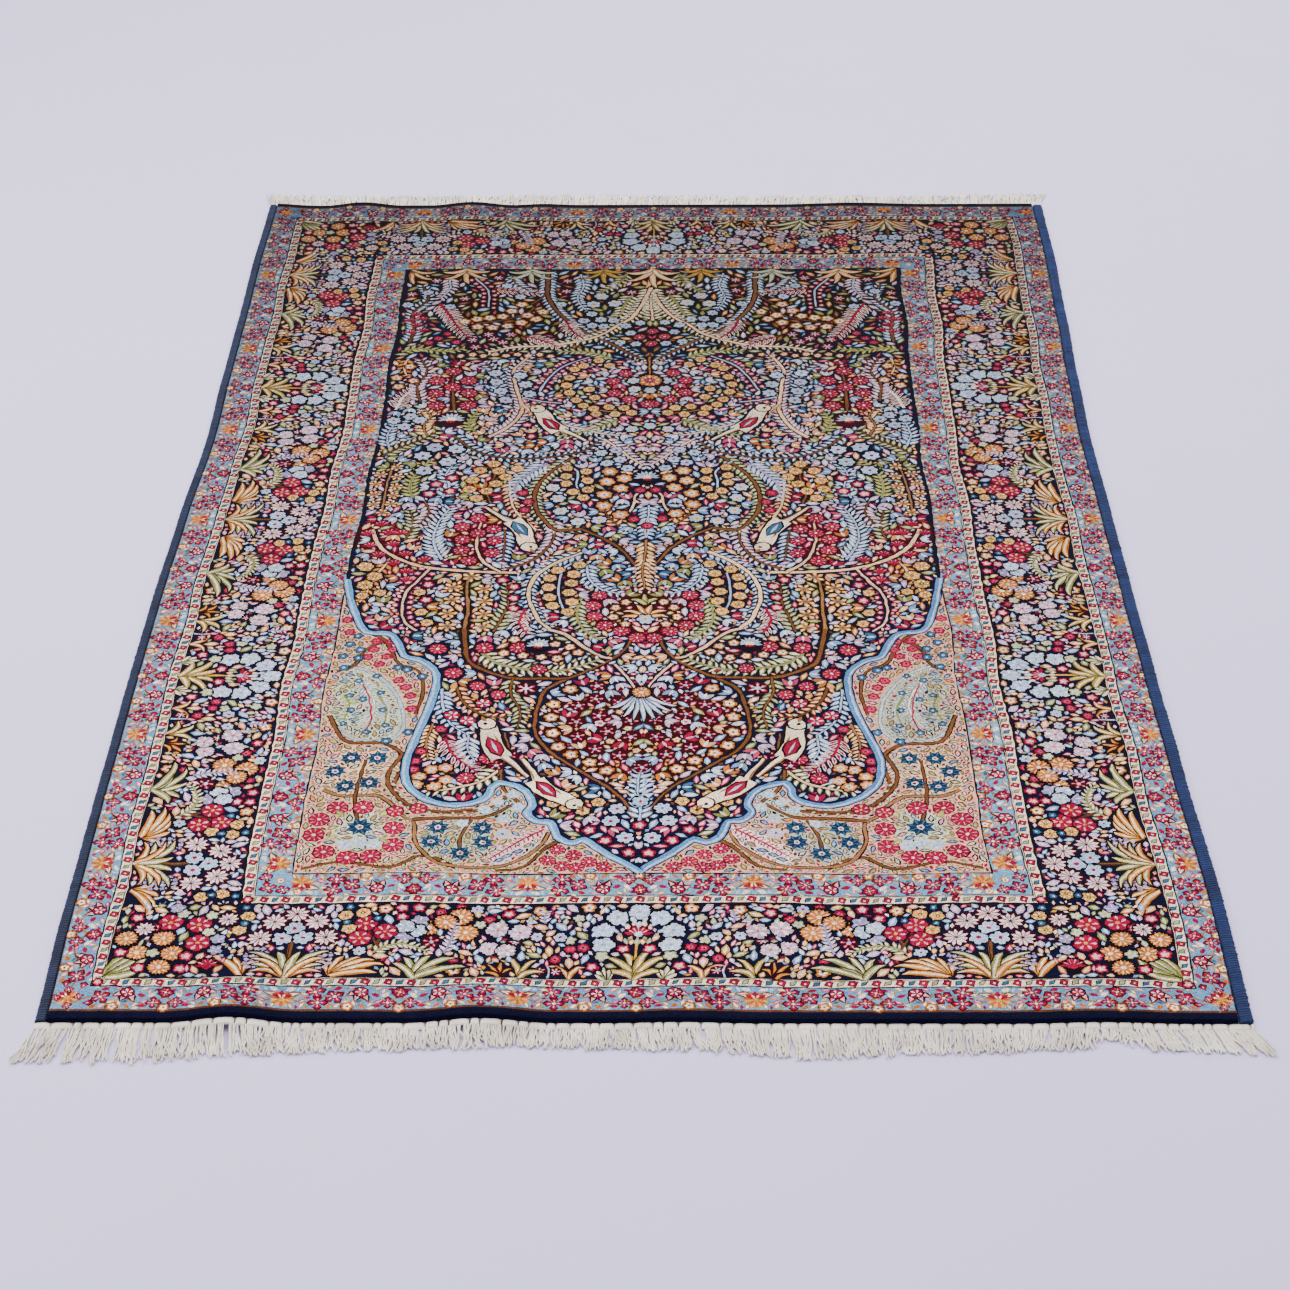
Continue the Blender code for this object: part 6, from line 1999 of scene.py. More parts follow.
@dataclass
class Loom:
    """Turns the cartoon into faces of one yarn each, laid on the floor as the rug lies."""

    cartoon: Cartoon
    lie: Lie
    zones: tuple[Zone, ...] = CARPET_ZONES
    shoulder: float = 2.5
    foundation_height: float = 0.003
    grid: float = 24.0
    hand: float = 0.22
    corners: np.ndarray = field(init=False)
    faces: np.ndarray = field(init=False)
    labels: np.ndarray = field(init=False)
    tints: np.ndarray = field(init=False)

    def cut(self) -> None:
        """Cuts the whole cartoon into triangles, each in the yarn that was painted last there."""
        dice = np.random.default_rng(11)
        places: list[Vector] = []
        edges: list[tuple[int, int]] = []
        rings: list[Outline] = []
        for outline in self.cartoon.outlines:
            turned = np.roll(outline, -1, axis=0)
            area = float(np.sum(outline[:, 0] * turned[:, 1] - turned[:, 0] * outline[:, 1]))
            ring = outline if area > 0 else outline[::-1]
            if len(ring) > 4:
                ring = ring + dice.normal(0, self.hand, ring.shape)
            first = len(places)
            places.extend(map(Vector, ring.tolist()))
            edges += [(first + side, first + (side + 1) % len(ring)) for side in range(len(ring))]
            rings.append(ring)
        outer = self.zones[0]
        for zone, inset in [(zone, 0.0) for zone in self.zones] + [(outer, 0.5), (outer, 1.3),
                                                                   (outer, 2.5)]:
            first = len(places)
            top = zone.half_length - inset
            ring = rectangle((zone.left + inset, -top), (zone.right - inset, top))
            places.extend(map(Vector, ring.tolist()))
            edges += [(first + side, first + (side + 1) % len(ring)) for side in range(len(ring))]
        cut = delaunay_2d_cdt(places, edges, [], 0, 1e-5, False)
        corners = np.array([tuple(corner) for corner in cut[0]])
        faces = np.array(cut[2], dtype=np.int64)
        log.info("first cut: %d outlines into %d faces", len(rings), len(faces))
        middles = corners[faces].mean(axis=1)
        top = painted_last(rings, middles)
        zone = self.zone_of(middles)
        rim = np.searchsorted((0.5, 1.3, 2.5), self.rim_distance(middles))
        label = (top * 8 + np.maximum(zone, 0)) * 4 + rim
        held = zone >= 0
        self.recut(corners, faces[held], label[held])
        shades = dice.normal(1.0, 0.09, (len(rings), 1)) * dice.normal(1.0, 0.035, (len(rings), 3))
        dyes = np.array([yarn.linear() for yarn in self.cartoon.yarns]) * shades
        self.tints = dyes[self.labels // 32]
        log.info("last cut: %d faces", len(self.faces))

    def zone_of(self, middles: np.ndarray) -> np.ndarray:
        """Gives the index of the zone that each place is in, or -1 off the carpet."""
        found = np.full(len(middles), -1)
        for index, zone in enumerate(self.zones):
            inside_x = (middles[:, 0] > zone.left) & (middles[:, 0] < zone.right)
            found[inside_x & (np.abs(middles[:, 1]) < zone.half_length)] = index
        return found

    def rim_distance(self, flat: np.ndarray) -> np.ndarray:
        """Gives how far inside the carpet's edge each place is."""
        outer = self.zones[0]
        aside = np.minimum(flat[:, 0] - outer.left, outer.right - flat[:, 0])
        return np.minimum(aside, outer.half_length - np.abs(flat[:, 1]))

    def recut(self, corners: np.ndarray, faces: np.ndarray, label: np.ndarray) -> None:
        """Cuts the design again along the outlines that show, without those that are painted over.

        Args:
            corners: The first cut's corners.
            faces: Its faces.
            label: What each face shows; faces with one label run together.
        """
        count = len(corners)
        start, end, twin = half_edges(faces, count)
        side = np.repeat(label, 3)
        shown = (side != np.where(twin >= 0, side[twin], -1)) & ((twin < 0) | (np.arange(len(twin)) < twin))
        lines = np.column_stack((start, end))[shown]
        for step in range(5):
            lines = straightened(corners, lines, step)
        used, ends = np.unique(lines, return_inverse=True)
        outer = self.zones[0]
        across = np.arange(outer.left + 5, outer.right - 4, self.grid)
        up = np.arange(5 - outer.half_length, outer.half_length - 4, self.grid)
        grid = [Vector((float(x), float(y))) for x in across for y in up]
        places = [Vector(spot) for spot in corners[used].tolist()]
        cut = delaunay_2d_cdt(places + grid, ends.reshape(-1, 2).tolist(), [], 0, 1e-6, False)
        self.corners = np.array([tuple(corner) for corner in cut[0]])
        self.faces = np.array(cut[2], dtype=np.int64)
        before = np.column_stack((corners, np.zeros(count))).tolist()
        finder = BVHTree.FromPolygons(before, faces.tolist(), all_triangles=True)
        if len(self.faces) < len(faces) // 4:
            raise ValueError("the last cut lost most of the design")
        middles = self.corners[self.faces].mean(axis=1).tolist()
        self.labels = label[[finder.find_nearest((x, y, 0.0))[2] for x, y in middles]]

    def laid(self, flat: np.ndarray, height: float) -> np.ndarray:
        """Lays places of the flat design on the floor.

        Args:
            flat: The places, in millimetres on the even rectangle.
            height: How far above the underside they are, in metres.

        Returns:
            Their corners in space, in metres.
        """
        x, y = flat[:, 0], flat[:, 1]
        calm = np.clip(self.rim_distance(flat) / RIM_CALM, 0, 1)
        shake_x = np.sin(0.39 * x + 0.27 * y + 2 * np.sin(0.041 * y)) + np.sin(0.21 * y - 0.33 * x)
        shake_y = np.sin(0.31 * x - 0.36 * y + 2 * np.sin(0.037 * x)) + np.sin(0.24 * x + 0.30 * y)
        sway_x = 1.6 * np.sin(0.021 * y + 1.3) + 0.9 * np.sin(0.013 * x + 0.033 * y)
        sway_y = 1.4 * np.sin(0.017 * x + 0.4) + 0.9 * np.sin(0.029 * x - 0.011 * y)
        east = (x + calm * (sway_x + KNOT_SHAKE * shake_x)) * MM
        north = (y + calm * (sway_y + KNOT_SHAKE * shake_y)) * MM
        east = self.lie.side_x(east, north)
        return np.column_stack((east, north, self.lie.lift(east, north) + height))

    def surface(self, flat: np.ndarray) -> np.ndarray:
        """Lays places of the flat design on the top of the pile, whose rim rounds off."""
        x, y = flat[:, 0], flat[:, 1]
        rim = self.rim_distance(flat)
        into = np.clip(self.shoulder - rim, 0, self.shoulder)
        drop = self.shoulder - np.sqrt(np.maximum(self.shoulder ** 2 - into ** 2, 0))
        soft = 0.13 * (np.sin(0.11 * x + 0.5) * np.sin(0.083 * y) + np.sin(0.043 * x - 0.051 * y))
        placed = self.laid(flat, self.lie.thickness)
        placed[:, 2] += (soft * np.clip(rim / 20, 0, 1) - 0.15 - drop) * MM
        return placed

    def pieces(self, material: bpy.types.Material) -> list[bpy.types.Object]:
        """Builds one closed piece of pile for each zone."""
        zone_of = self.zone_of(self.corners[self.faces].mean(axis=1))
        return [self.piece(zone, zone_of == index, material) for index, zone in enumerate(self.zones)]

    def piece(self, zone: Zone, chosen: np.ndarray, material: bpy.types.Material) -> bpy.types.Object:
        """Builds one zone's pile: the cut top, upright sides, and a plain underside.

        Args:
            zone: The zone.
            chosen: Which of the cut faces are in it.
            material: Its material.

        Returns:
            The piece.
        """
        used, faces = np.unique(self.faces[chosen], return_inverse=True)
        faces = faces.reshape(-1, 3)
        flat = self.corners[used]
        sides = np.concatenate((faces[:, (0, 1)], faces[:, (1, 2)], faces[:, (2, 0)]))
        known = set(map(tuple, sides.tolist()))
        rim = [(start, end) for start, end in known if (end, start) not in known]

        below = sorted({corner for side in rim for corner in side})
        low_of = {corner: index for index, corner in enumerate(below)}
        floor_places = [Vector(flat[corner]) for corner in below]
        low_edges = [(low_of[start], low_of[end]) for start, end in rim]
        across = np.arange(zone.left + 20, zone.right, 40)
        up = np.arange(20 - zone.half_length, zone.half_length, 40)
        extra = [(float(x), float(y)) for x in across for y in up if self.within(zone, x, y, 6)]
        floor = delaunay_2d_cdt(floor_places + [Vector(spot) for spot in extra], low_edges, [], 0, 1e-5,
                                True)
        low_flat = np.array([tuple(corner) for corner in floor[0]])
        low_faces = [face for face in floor[2] if self.within(zone, *low_flat[list(face)].mean(axis=0), 0)]

        first = len(used)
        origin = {source: index for index, sources in enumerate(floor[3]) for source in sources}
        walls = [(end, start, first + origin[low_of[start]], first + origin[low_of[end]]) for start,
                 end in rim]
        bottoms = [tuple(first + corner for corner in reversed(face)) for face in low_faces]
        corners = np.vstack((self.surface(flat), self.laid(low_flat, self.foundation_height - 0.5 * MM)))
        mesh = mesh_of(zone.name, corners, faces.tolist() + walls + bottoms)

        wall_tints = self.wall_tints(faces, self.tints[chosen], rim)
        plain = np.tile(Yarn.NAVY.linear(), (len(bottoms), 1))
        hidden = np.zeros(len(mesh.polygons), dtype=bool)
        hidden[len(faces):] = True
        dress(mesh, np.vstack((self.tints[chosen], wall_tints, plain)), hidden)
        log.info("%s: %d faces", zone.name, len(mesh.polygons))
        return linked(zone.name, mesh, material)

    @staticmethod
    def wall_tints(faces: np.ndarray, tints: np.ndarray, rim: list[tuple[int, int]]) -> np.ndarray:
        """Gives each upright side the colour of the face that it hangs from."""
        owner = {}
        for index, (a, b, c) in enumerate(faces.tolist()):
            owner[(a, b)] = owner[(b, c)] = owner[(c, a)] = index
        return np.array([tints[owner[side]] for side in rim])

    def within(self, zone: Zone, x: float, y: float, margin: float) -> bool:
        """Tells whether a place is in a zone, and not within a margin of its sides."""
        deeper = self.zones[self.zones.index(zone) + 1:]
        if not (zone.left + margin < x < zone.right - margin and abs(y) < zone.half_length - margin):
            return False
        return not deeper or not (deeper[0].left - margin < x < deeper[0].right + margin
                                  and abs(y) < deeper[0].half_length + margin)

    def foundation(self, material: bpy.types.Material) -> bpy.types.Object:
        """Builds the woven foundation, whose underside shows the design's mean colour in each cell."""
        outer = self.zones[0]
        columns, rows = 98, 160
        x = np.linspace(outer.left + 0.5, outer.right - 0.5, columns + 1)
        y = np.linspace(0.5 - outer.half_length, outer.half_length - 0.5, rows + 1)
        flat = np.array([(a, b) for b in y for a in x])
        index = np.arange(len(flat)).reshape(rows + 1, columns + 1)
        under = np.stack((index[:-1, :-1], index[1:, :-1], index[1:, 1:], index[:-1, 1:]),
                         axis=-1).reshape(-1, 4)

        triangles = self.corners[self.faces]
        span, rise = triangles[:, 1] - triangles[:, 0], triangles[:, 2] - triangles[:, 0]
        area = np.abs(span[:, 0] * rise[:, 1] - span[:, 1] * rise[:, 0])[:, None]
        middles = triangles.mean(axis=1)
        column = np.clip(np.searchsorted(x, middles[:, 0]) - 1, 0, columns - 1)
        row = np.clip(np.searchsorted(y, middles[:, 1]) - 1, 0, rows - 1)
        dye = np.zeros((rows, columns, 4))
        np.add.at(dye, (row, column), np.hstack((self.tints * area, area)))
        near = sum(np.roll(dye, shift, axis) for shift in (-1, 1) for axis in (0, 1))
        dye = dye + 0.15 * near
        back = (dye[..., :3] / np.maximum(dye[..., 3:], 1e-9)).reshape(-1, 3)

        ring = np.concatenate((index[0, :-1], index[:-1, -1], index[-1, :0:-1], index[:0:-1, 0]))
        rim_index = {corner: len(flat) + step for step, corner in enumerate(ring.tolist())}
        walls = []
        for start, end in zip(ring.tolist(), np.roll(ring, -1).tolist()):
            walls.append((start, end, rim_index[end], rim_index[start]))
        coarse_x, coarse_y = x[::8], y[::8]
        inner = [(float(a), float(b)) for a in coarse_x[1:-1] for b in coarse_y[1:-1]]
        rim_flat = flat[ring]
        loop = [(step, (step + 1) % len(ring)) for step in range(len(ring))]
        lid = delaunay_2d_cdt([Vector(spot) for spot in rim_flat.tolist() + inner], loop, [], 0, 1e-5, True)
        slot = {source: position for position, sources in enumerate(lid[3]) for source in sources}
        place = {position: len(flat) + source for source, position in slot.items()}
        lids = [tuple(place[corner] for corner in face) for face in lid[2]]
        high = self.laid(np.array(rim_flat.tolist() + inner), self.foundation_height)
        corners = np.vstack((self.laid(flat, 0.0), high))
        mesh = mesh_of("foundation", corners, under.tolist() + walls + lids)
        rest = np.tile(Yarn.CREAM.linear() * 0.6, (len(walls) + len(lids), 1))
        hidden = np.zeros(len(mesh.polygons), dtype=bool)
        hidden[len(under):] = True
        dress(mesh, np.vstack((back, rest)), hidden)
        return linked("foundation", mesh, material)


# ------------------------------------------------------------------ repeats of yarn

class Repeat(Sketch):
    """A tree of geometry nodes that sets one yarn form out over a mesh of roots."""

    def __init__(self, name: str) -> None:
        """Makes a tree that takes the roots' mesh."""
        super().__init__(bpy.data.node_groups.new(name, "GeometryNodeTree"))
        self.tree.interface.new_socket("Roots", in_out="INPUT", socket_type="NodeSocketGeometry")
        self.tree.interface.new_socket("Yarns", in_out="OUTPUT", socket_type="NodeSocketGeometry")
        self.source = self.tree.nodes.new("NodeGroupInput")
        self.values: dict[str, object] = {}

    def knob(self, name: str, kind: str, value: object) -> bpy.types.NodeSocket:
        """Adds a named input and remembers what it is set to."""
        socket = self.tree.interface.new_socket(name, in_out="INPUT", socket_type=kind)
        self.values[socket.identifier] = value
        return self.source.outputs[name]

    def named(self, name: str, kind: str = "FLOAT") -> bpy.types.NodeSocket:
        """Reads a value that the roots carry."""
        node = self.add("GeometryNodeInputNamedAttribute", {"Name": name}, data_type=kind)
        return node.outputs["Attribute"]

    def vector(self, operation: str, *terms: Knob) -> bpy.types.NodeSocket:
        """Adds a vector math node and gives its result."""
        names = {0: terms[0], 1: terms[1]} if operation != "SCALE" else {0: terms[0], "Scale": terms[1]}
        return self.add("ShaderNodeVectorMath", names, operation=operation).outputs[0]

    def grow(self, piece_name: str, roots: bpy.types.Mesh, yarns: bpy.types.NodeSocket,
             material: bpy.types.Material) -> bpy.types.Object:
        """Ends the tree, runs it on the roots and keeps its result as a plain mesh.

        Args:
            piece_name: The name of the new piece.
            roots: The mesh that the tree starts from.
            yarns: The tree's last geometry.
            material: The yarns' material.

        Returns:
            The new piece.
        """
        cloth = self.knob("Yarn material", "NodeSocketMaterial", material)
        real = self.add("GeometryNodeRealizeInstances", {0: yarns}).outputs[0]
        smooth = self.add("GeometryNodeSetShadeSmooth", {0: real}).outputs[0]
        dressed = self.add("GeometryNodeSetMaterial", {"Geometry": smooth, "Material": cloth}).outputs[0]
        self.add("NodeGroupOutput", {0: dressed})
        holder = bpy.data.objects.new(piece_name + "_roots", roots)
        bpy.context.scene.collection.objects.link(holder)
        modifier = holder.modifiers.new("yarns", "NODES")
        modifier.node_group = self.tree
        for identifier, value in self.values.items():
            modifier[identifier] = value
        graph = bpy.context.evaluated_depsgraph_get()
        mesh = bpy.data.meshes.new_from_object(holder.evaluated_get(graph), depsgraph=graph)
        holder.modifiers.remove(modifier)
        bpy.data.objects.remove(holder)
        mesh.name = piece_name
        for attribute in [item.name for item in mesh.attributes if item.name.startswith("root_")]:
            mesh.attributes.remove(mesh.attributes[attribute])
        return linked(piece_name, mesh, material)


def roots_mesh(name: str, places: np.ndarray, carried: dict[str, np.ndarray]) -> bpy.types.Mesh:
    """Makes a mesh of single points.

    Args:
        name: The mesh's name.
        places: Where the points are.
        carried: The values that the points carry, each one column or three.

    Returns:
        The mesh.
    """
    mesh = mesh_of(name, places, [])
    for key, values in carried.items():
        kind = "FLOAT" if values.ndim == 1 else "FLOAT_VECTOR"
        data = mesh.attributes.new(key, kind, "POINT").data
        data.foreach_set("value" if values.ndim == 1 else "vector",
                         np.ascontiguousarray(values, float).ravel())
    return mesh


# ------------------------------------------------------------------ side cords

@dataclass
class SideCord:
    """The outer warps of one long side, overcast with wool in slanting wraps."""

    name: str
    side: int
    width: float
    lie: Lie
    height: float = 0.0075
    pitch: float = 0.0042
    yarn_radius: float = 0.0018
    steps: int = 8
    slant: float = 0.0016

    def axis(self, y: np.ndarray) -> np.ndarray:
        """Gives the middle line of the cord at places along the rug."""
        even = np.full_like(y, self.side * (self.lie.half_width - self.width / 2))
        x = self.lie.side_x(even, y)
        return np.column_stack((x, y, self.lie.lift(x, y) + self.height / 2))

    def core(self, material: bpy.types.Material) -> bpy.types.Object:
        """Builds the dark core that shows between the wraps, as one closed bar."""
        y = np.linspace(-self.lie.half_length + 0.001, self.lie.half_length - 0.001, 221)
        line = self.axis(y)
        turns = np.arange(12) * math.tau / 12
        wide = (self.width / 2 - 0.0012) * np.sign(np.cos(turns)) * np.abs(np.cos(turns)) ** 0.6
        tall = (self.height / 2 - 0.0011) * np.sign(np.sin(turns)) * np.abs(np.sin(turns)) ** 0.6
        rings = line[:, None, :] + np.stack((wide, np.zeros(12), tall), axis=-1)[None]
        corners = rings.reshape(-1, 3)
        faces = []
        for row in range(len(y) - 1):
            for turn in range(12):
                here, after = row * 12 + turn, row * 12 + (turn + 1) % 12
                faces.append((here, after, after + 12, here + 12))
        faces += [tuple(reversed(range(12))), tuple(range(len(corners) - 12, len(corners)))]
        mesh = mesh_of(self.name + "_core", corners, faces)
        tidied = bmesh.new()
        tidied.from_mesh(mesh)
        bmesh.ops.recalc_face_normals(tidied, faces=tidied.faces)
        tidied.to_mesh(mesh)
        tidied.free()
        return linked(self.name + "_core", mesh, material)

    def wraps(self, material: bpy.types.Material) -> bpy.types.Object:
        """Builds the wraps: one closed loop of yarn after another, slanting a little."""
        dice = np.random.default_rng(31 + self.side)
        count = int(2 * self.lie.half_length / self.pitch)
        y = -self.lie.half_length + self.pitch * (np.arange(count) + 0.5) + dice.normal(0, 0.00025, count)
        places = self.axis(y)
        swell = dice.normal(1.0, 0.035, (count, 3))
        carried = {"root_swell": swell * (1, 0, 1) + (0, 1, 0), "root_turn": dice.normal(0, 0.05, count)}
        roots = roots_mesh(self.name, places, carried)
        tree = Repeat(self.name + "_wraps")
        across = tree.knob("Cord width", "NodeSocketFloat", self.width)
        tall = tree.knob("Cord height", "NodeSocketFloat", self.height)
        thick = tree.knob("Yarn radius", "NodeSocketFloat", self.yarn_radius)
        lean = tree.knob("Slant", "NodeSocketFloat", self.slant)
        ring = tree.add("GeometryNodeCurvePrimitiveCircle",
                        {"Resolution": self.steps, "Radius": 1.0}).outputs[0]
        spot = tree.add("ShaderNodeSeparateXYZ", {0: tree.add("GeometryNodeInputPosition").outputs[0]})
        half_wide = tree.math("SUBTRACT", tree.math("MULTIPLY", across, 0.5), thick)
        half_tall = tree.math("SUBTRACT", tree.math("MULTIPLY", tall, 0.5), thick)

        def squared(term: bpy.types.NodeSocket) -> bpy.types.NodeSocket:
            """Pushes a round profile out towards a rounded rectangle."""
            strength = tree.math("POWER", tree.math("ABSOLUTE", term), 0.62)
            return tree.math("MULTIPLY", tree.math("SIGN", term), strength)

        x = tree.math("MULTIPLY", squared(spot.outputs[0]), half_wide)
        z = tree.math("MULTIPLY", squared(spot.outputs[1]), half_tall)
        slanted = tree.math("MULTIPLY", spot.outputs[0], lean)
        shaped = tree.add("ShaderNodeCombineXYZ", {0: x, 1: slanted, 2: z}).outputs[0]
        loop = tree.add("GeometryNodeSetPosition", {"Geometry": ring, "Position": shaped}).outputs[0]
        section = tree.add("GeometryNodeCurvePrimitiveCircle",
                           {"Resolution": 4, "Radius": thick}).outputs[0]
        wrap = tree.add("GeometryNodeCurveToMesh", {"Curve": loop, "Profile Curve": section}).outputs[0]
        points = tree.add("GeometryNodeMeshToPoints", {0: tree.source.outputs["Roots"]}).outputs[0]
        spin = tree.add("ShaderNodeCombineXYZ", {2: tree.named("root_turn")}).outputs[0]
        set_out = tree.add("GeometryNodeInstanceOnPoints",
                           {"Points": points, "Instance": wrap, "Rotation": spin,
                                                            "Scale": tree.named("root_swell",
                                                                                "FLOAT_VECTOR")})
        return tree.grow(self.name + "_wraps", roots, set_out.outputs[0], material)


# ------------------------------------------------------------------ fringes

NEAR_FRINGE = (
    FringeRow(-0.680, 0.062, -0.012), FringeRow(-0.560, 0.063, 0.003), FringeRow(-0.430, 0.048, 0.005),
    FringeRow(-0.280, 0.041, 0.002), FringeRow(-0.130, 0.034, 0.000), FringeRow(0.030, 0.040, 0.004),
    FringeRow(0.180, 0.053, 0.003), FringeRow(0.360, 0.046, -0.002), FringeRow(0.490, 0.038, -0.004),
    FringeRow(0.530, 0.020, 0.002), FringeRow(0.570, 0.040, 0.006), FringeRow(0.680, 0.046, 0.014))
FAR_FRINGE = (
    FringeRow(-0.680, 0.060, -0.012), FringeRow(-0.450, 0.050, -0.003), FringeRow(-0.150, 0.054, 0.002),
    FringeRow(0.200, 0.048, 0.003), FringeRow(0.450, 0.046, -0.002), FringeRow(0.680, 0.052, 0.006))


@dataclass
class Fringe:
    """One end's narrow woven strip and the loose warp ends beyond it."""

    name: str
    end: int
    rows: tuple[FringeRow, ...]
    lie: Lie
    seed: int
    strip_depth: float = 0.009
    strip_height: float = 0.0036
    tufts: int = 128
    yarns_in_tuft: int = 9
    yarn_radius: float = 0.0013
    steps: int = 7

    def span(self) -> tuple[float, float]:
        """Gives where this end's strip starts and stops from left to right."""
        sides = np.array([-self.lie.half_width, self.lie.half_width])
        left, right = self.lie.side_x(sides, np.full(2, self.end * self.lie.half_length))
        return float(left), float(right)

    def strip(self, material: bpy.types.Material) -> bpy.types.Object:
        """Builds the strip as close woven bundles of warps with narrow slits between them."""
        dice = random.Random(self.seed)
        left, right = self.span()
        corners: list[Point] = []
        faces: list[tuple[int, ...]] = []
        inner = self.end * (self.lie.half_length + self.lie.gap)
        x = left + 0.0006
        while x < right - 0.003:
            width = min(dice.uniform(0.008, 0.024), right - 0.0006 - x)
            depth = self.strip_depth + dice.uniform(-0.0012, 0.0006)
            self.bundle(corners, faces, x, width, inner, depth)
            x += width + dice.uniform(0.0008, 0.0020)
        mesh = mesh_of(self.name + "_strip", np.array(corners), faces)
        tidied = bmesh.new()
        tidied.from_mesh(mesh)
        bmesh.ops.recalc_face_normals(tidied, faces=tidied.faces)
        tidied.to_mesh(mesh)
        tidied.free()
        mesh.polygons.foreach_set("use_smooth", np.ones(len(mesh.polygons), dtype=bool))
        return linked(self.name + "_strip", mesh, material)

    def bundle(self, corners: list[Point], faces: list[tuple[int, ...]], x: float, width: float,
               inner: float, depth: float) -> None:
        """Adds one closed bundle, ribbed by the warps in it.

        Args:
            corners: The strip's corners so far.
            faces: Its faces so far.
            x: Where the bundle starts.
            width: How wide it is.
            inner: Where the strip meets the pile.
            depth: How far the bundle reaches outwards.
        """
        columns = max(int(width / 0.0022), 3) * 2
        first = len(corners)
        profile = ((0.0, 0.0), (1.0, 0.0), (1.0, 0.55), (0.72, 0.9), (0.3, 1.0), (0.0, 0.96))
        for column in range(columns + 1):
            share = column / columns
            place = x + width * share
            floor = float(self.lie.lift(np.array([place]), np.array([inner]))[0])
            crown = 1 - 0.55 * abs(2 * share - 1) ** 6 - (0.1 if column % 2 else 0.0)
            for out, up in profile:
                corners.append((place, inner + self.end * depth * out * (0.94 + 0.06 * crown),
                                floor + self.strip_height * up * crown))
        ring = len(profile)
        for column in range(columns):
            for corner in range(ring):
                here, after = first + column * ring + corner, first + column * ring + (corner + 1) % ring
                faces.append((here, after, after + ring, here + ring))
        faces.append(tuple(range(first, first + ring)))
        faces.append(tuple(range(first + columns * ring, first + (columns + 1) * ring)))

    def yarns(self, material: bpy.types.Material) -> bpy.types.Object:
        """Builds the loose warp ends, gathered in soft tufts."""
        dice = np.random.default_rng(self.seed)
        left, right = self.span()
        pitch = (right - left) / self.tufts
        middles = left + pitch * (np.arange(self.tufts) + 0.5) + dice.normal(0, pitch * 0.08, self.tufts)
        tuft = np.repeat(np.arange(self.tufts), self.yarns_in_tuft)
        count = len(tuft)
        middle = middles[tuft]
        aside = dice.uniform(-0.5, 0.5, count)
        x = np.clip(middle + aside * pitch * 1.2, left + 0.001, right - 0.001)
        inner = self.end * (self.lie.half_length + self.lie.gap)
        y = inner + self.end * (self.strip_depth - dice.uniform(0.0006, 0.0022, count))
        layer = dice.uniform(0, 1, count)
        floor = self.lie.lift(x, np.full(count, self.end * self.lie.half_length))
        z = floor + self.yarn_radius + layer * (self.strip_height - 3.0 * self.yarn_radius)

        reach = eased(self.rows, "x", "length", middle)
        reach = reach * (1 - 0.12 * dice.random(self.tufts)[tuft]) * (1 - 0.24 * dice.random(count) ** 1.5)
        short = dice.random(count) < 0.06
        reach = np.where(short, reach * dice.uniform(0.45, 0.8, count), reach)
        lean = eased(self.rows, "x", "lean", middle) + dice.normal(0, 0.0014, self.tufts)[tuft]
        gather = dice.uniform(-1.0, -0.1, self.tufts)[tuft]
        lean = lean - gather * aside * pitch + dice.normal(0, 0.0034, count)
        limit = 0.006
        lean = np.clip(x + lean, left - 0.012 - limit, right + 0.014 + limit) - x
        sink = np.column_stack((lean, self.end * reach, self.yarn_radius * 1.1 - z))
        swing = dice.normal(0, 0.0016, self.tufts)[tuft] + dice.normal(0, 0.0017, count)
        carried = {"root_reach": sink, "root_swing": swing, "root_phase": dice.uniform(0, 6.28, count),
                   "root_arch": (0.2 + 0.8 * layer) * dice.uniform(0.0004, 0.0030, count),
                   "root_curl": dice.normal(0, 0.0011, count)}
        roots = roots_mesh(self.name, np.column_stack((x, y, z)), carried)

        tree = Repeat(self.name + "_yarns")
        thick = tree.knob("Yarn radius", "NodeSocketFloat", self.yarn_radius)
        waves = tree.knob("Waves along a yarn", "NodeSocketFloat", 7.5)
        line = tree.add("GeometryNodeCurvePrimitiveLine",
                        {"Start": (0.0, 0.0, 0.0), "End": (0.0, 0.0, 0.001)})
        parts = tree.add("GeometryNodeResampleCurve", {"Curve": line.outputs[0], "Count": self.steps})
        points = tree.add("GeometryNodeMeshToPoints", {0: tree.source.outputs["Roots"]}).outputs[0]
        set_out = tree.add("GeometryNodeInstanceOnPoints", {"Points": points, "Instance": parts.outputs[0]})
        real = tree.add("GeometryNodeRealizeInstances", {0: set_out.outputs[0]}).outputs[0]
        share = tree.add("GeometryNodeSplineParameter").outputs["Factor"]
        run = tree.vector("MULTIPLY", tree.named("root_reach", "FLOAT_VECTOR"),
                          tree.add("ShaderNodeCombineXYZ", {
                              0: tree.math("POWER", share, 1.5), 1: share,
                              2: tree.math("POWER", share, 0.55)}).outputs[0])
        wave = tree.math("SINE", tree.math("ADD", tree.math("MULTIPLY", share, waves),
                                           tree.named("root_phase")))
        side = tree.math("MULTIPLY", wave, tree.math("MULTIPLY", tree.named("root_swing"), share))
        hook = tree.math("MULTIPLY", tree.named("root_curl"), tree.math("POWER", share, 3.0))
        bow = tree.math("MULTIPLY", tree.named("root_arch"),
                        tree.math("SINE", tree.math("MULTIPLY", share, math.pi)))
        bend = tree.add("ShaderNodeCombineXYZ", {0: tree.math("ADD", side, hook), 1: 0.0,
                                                 2: bow}).outputs[0]
        offset = tree.vector("ADD", run, bend)
        set_down = tree.add("GeometryNodeSetPosition", {"Geometry": real, "Offset": offset}).outputs[0]
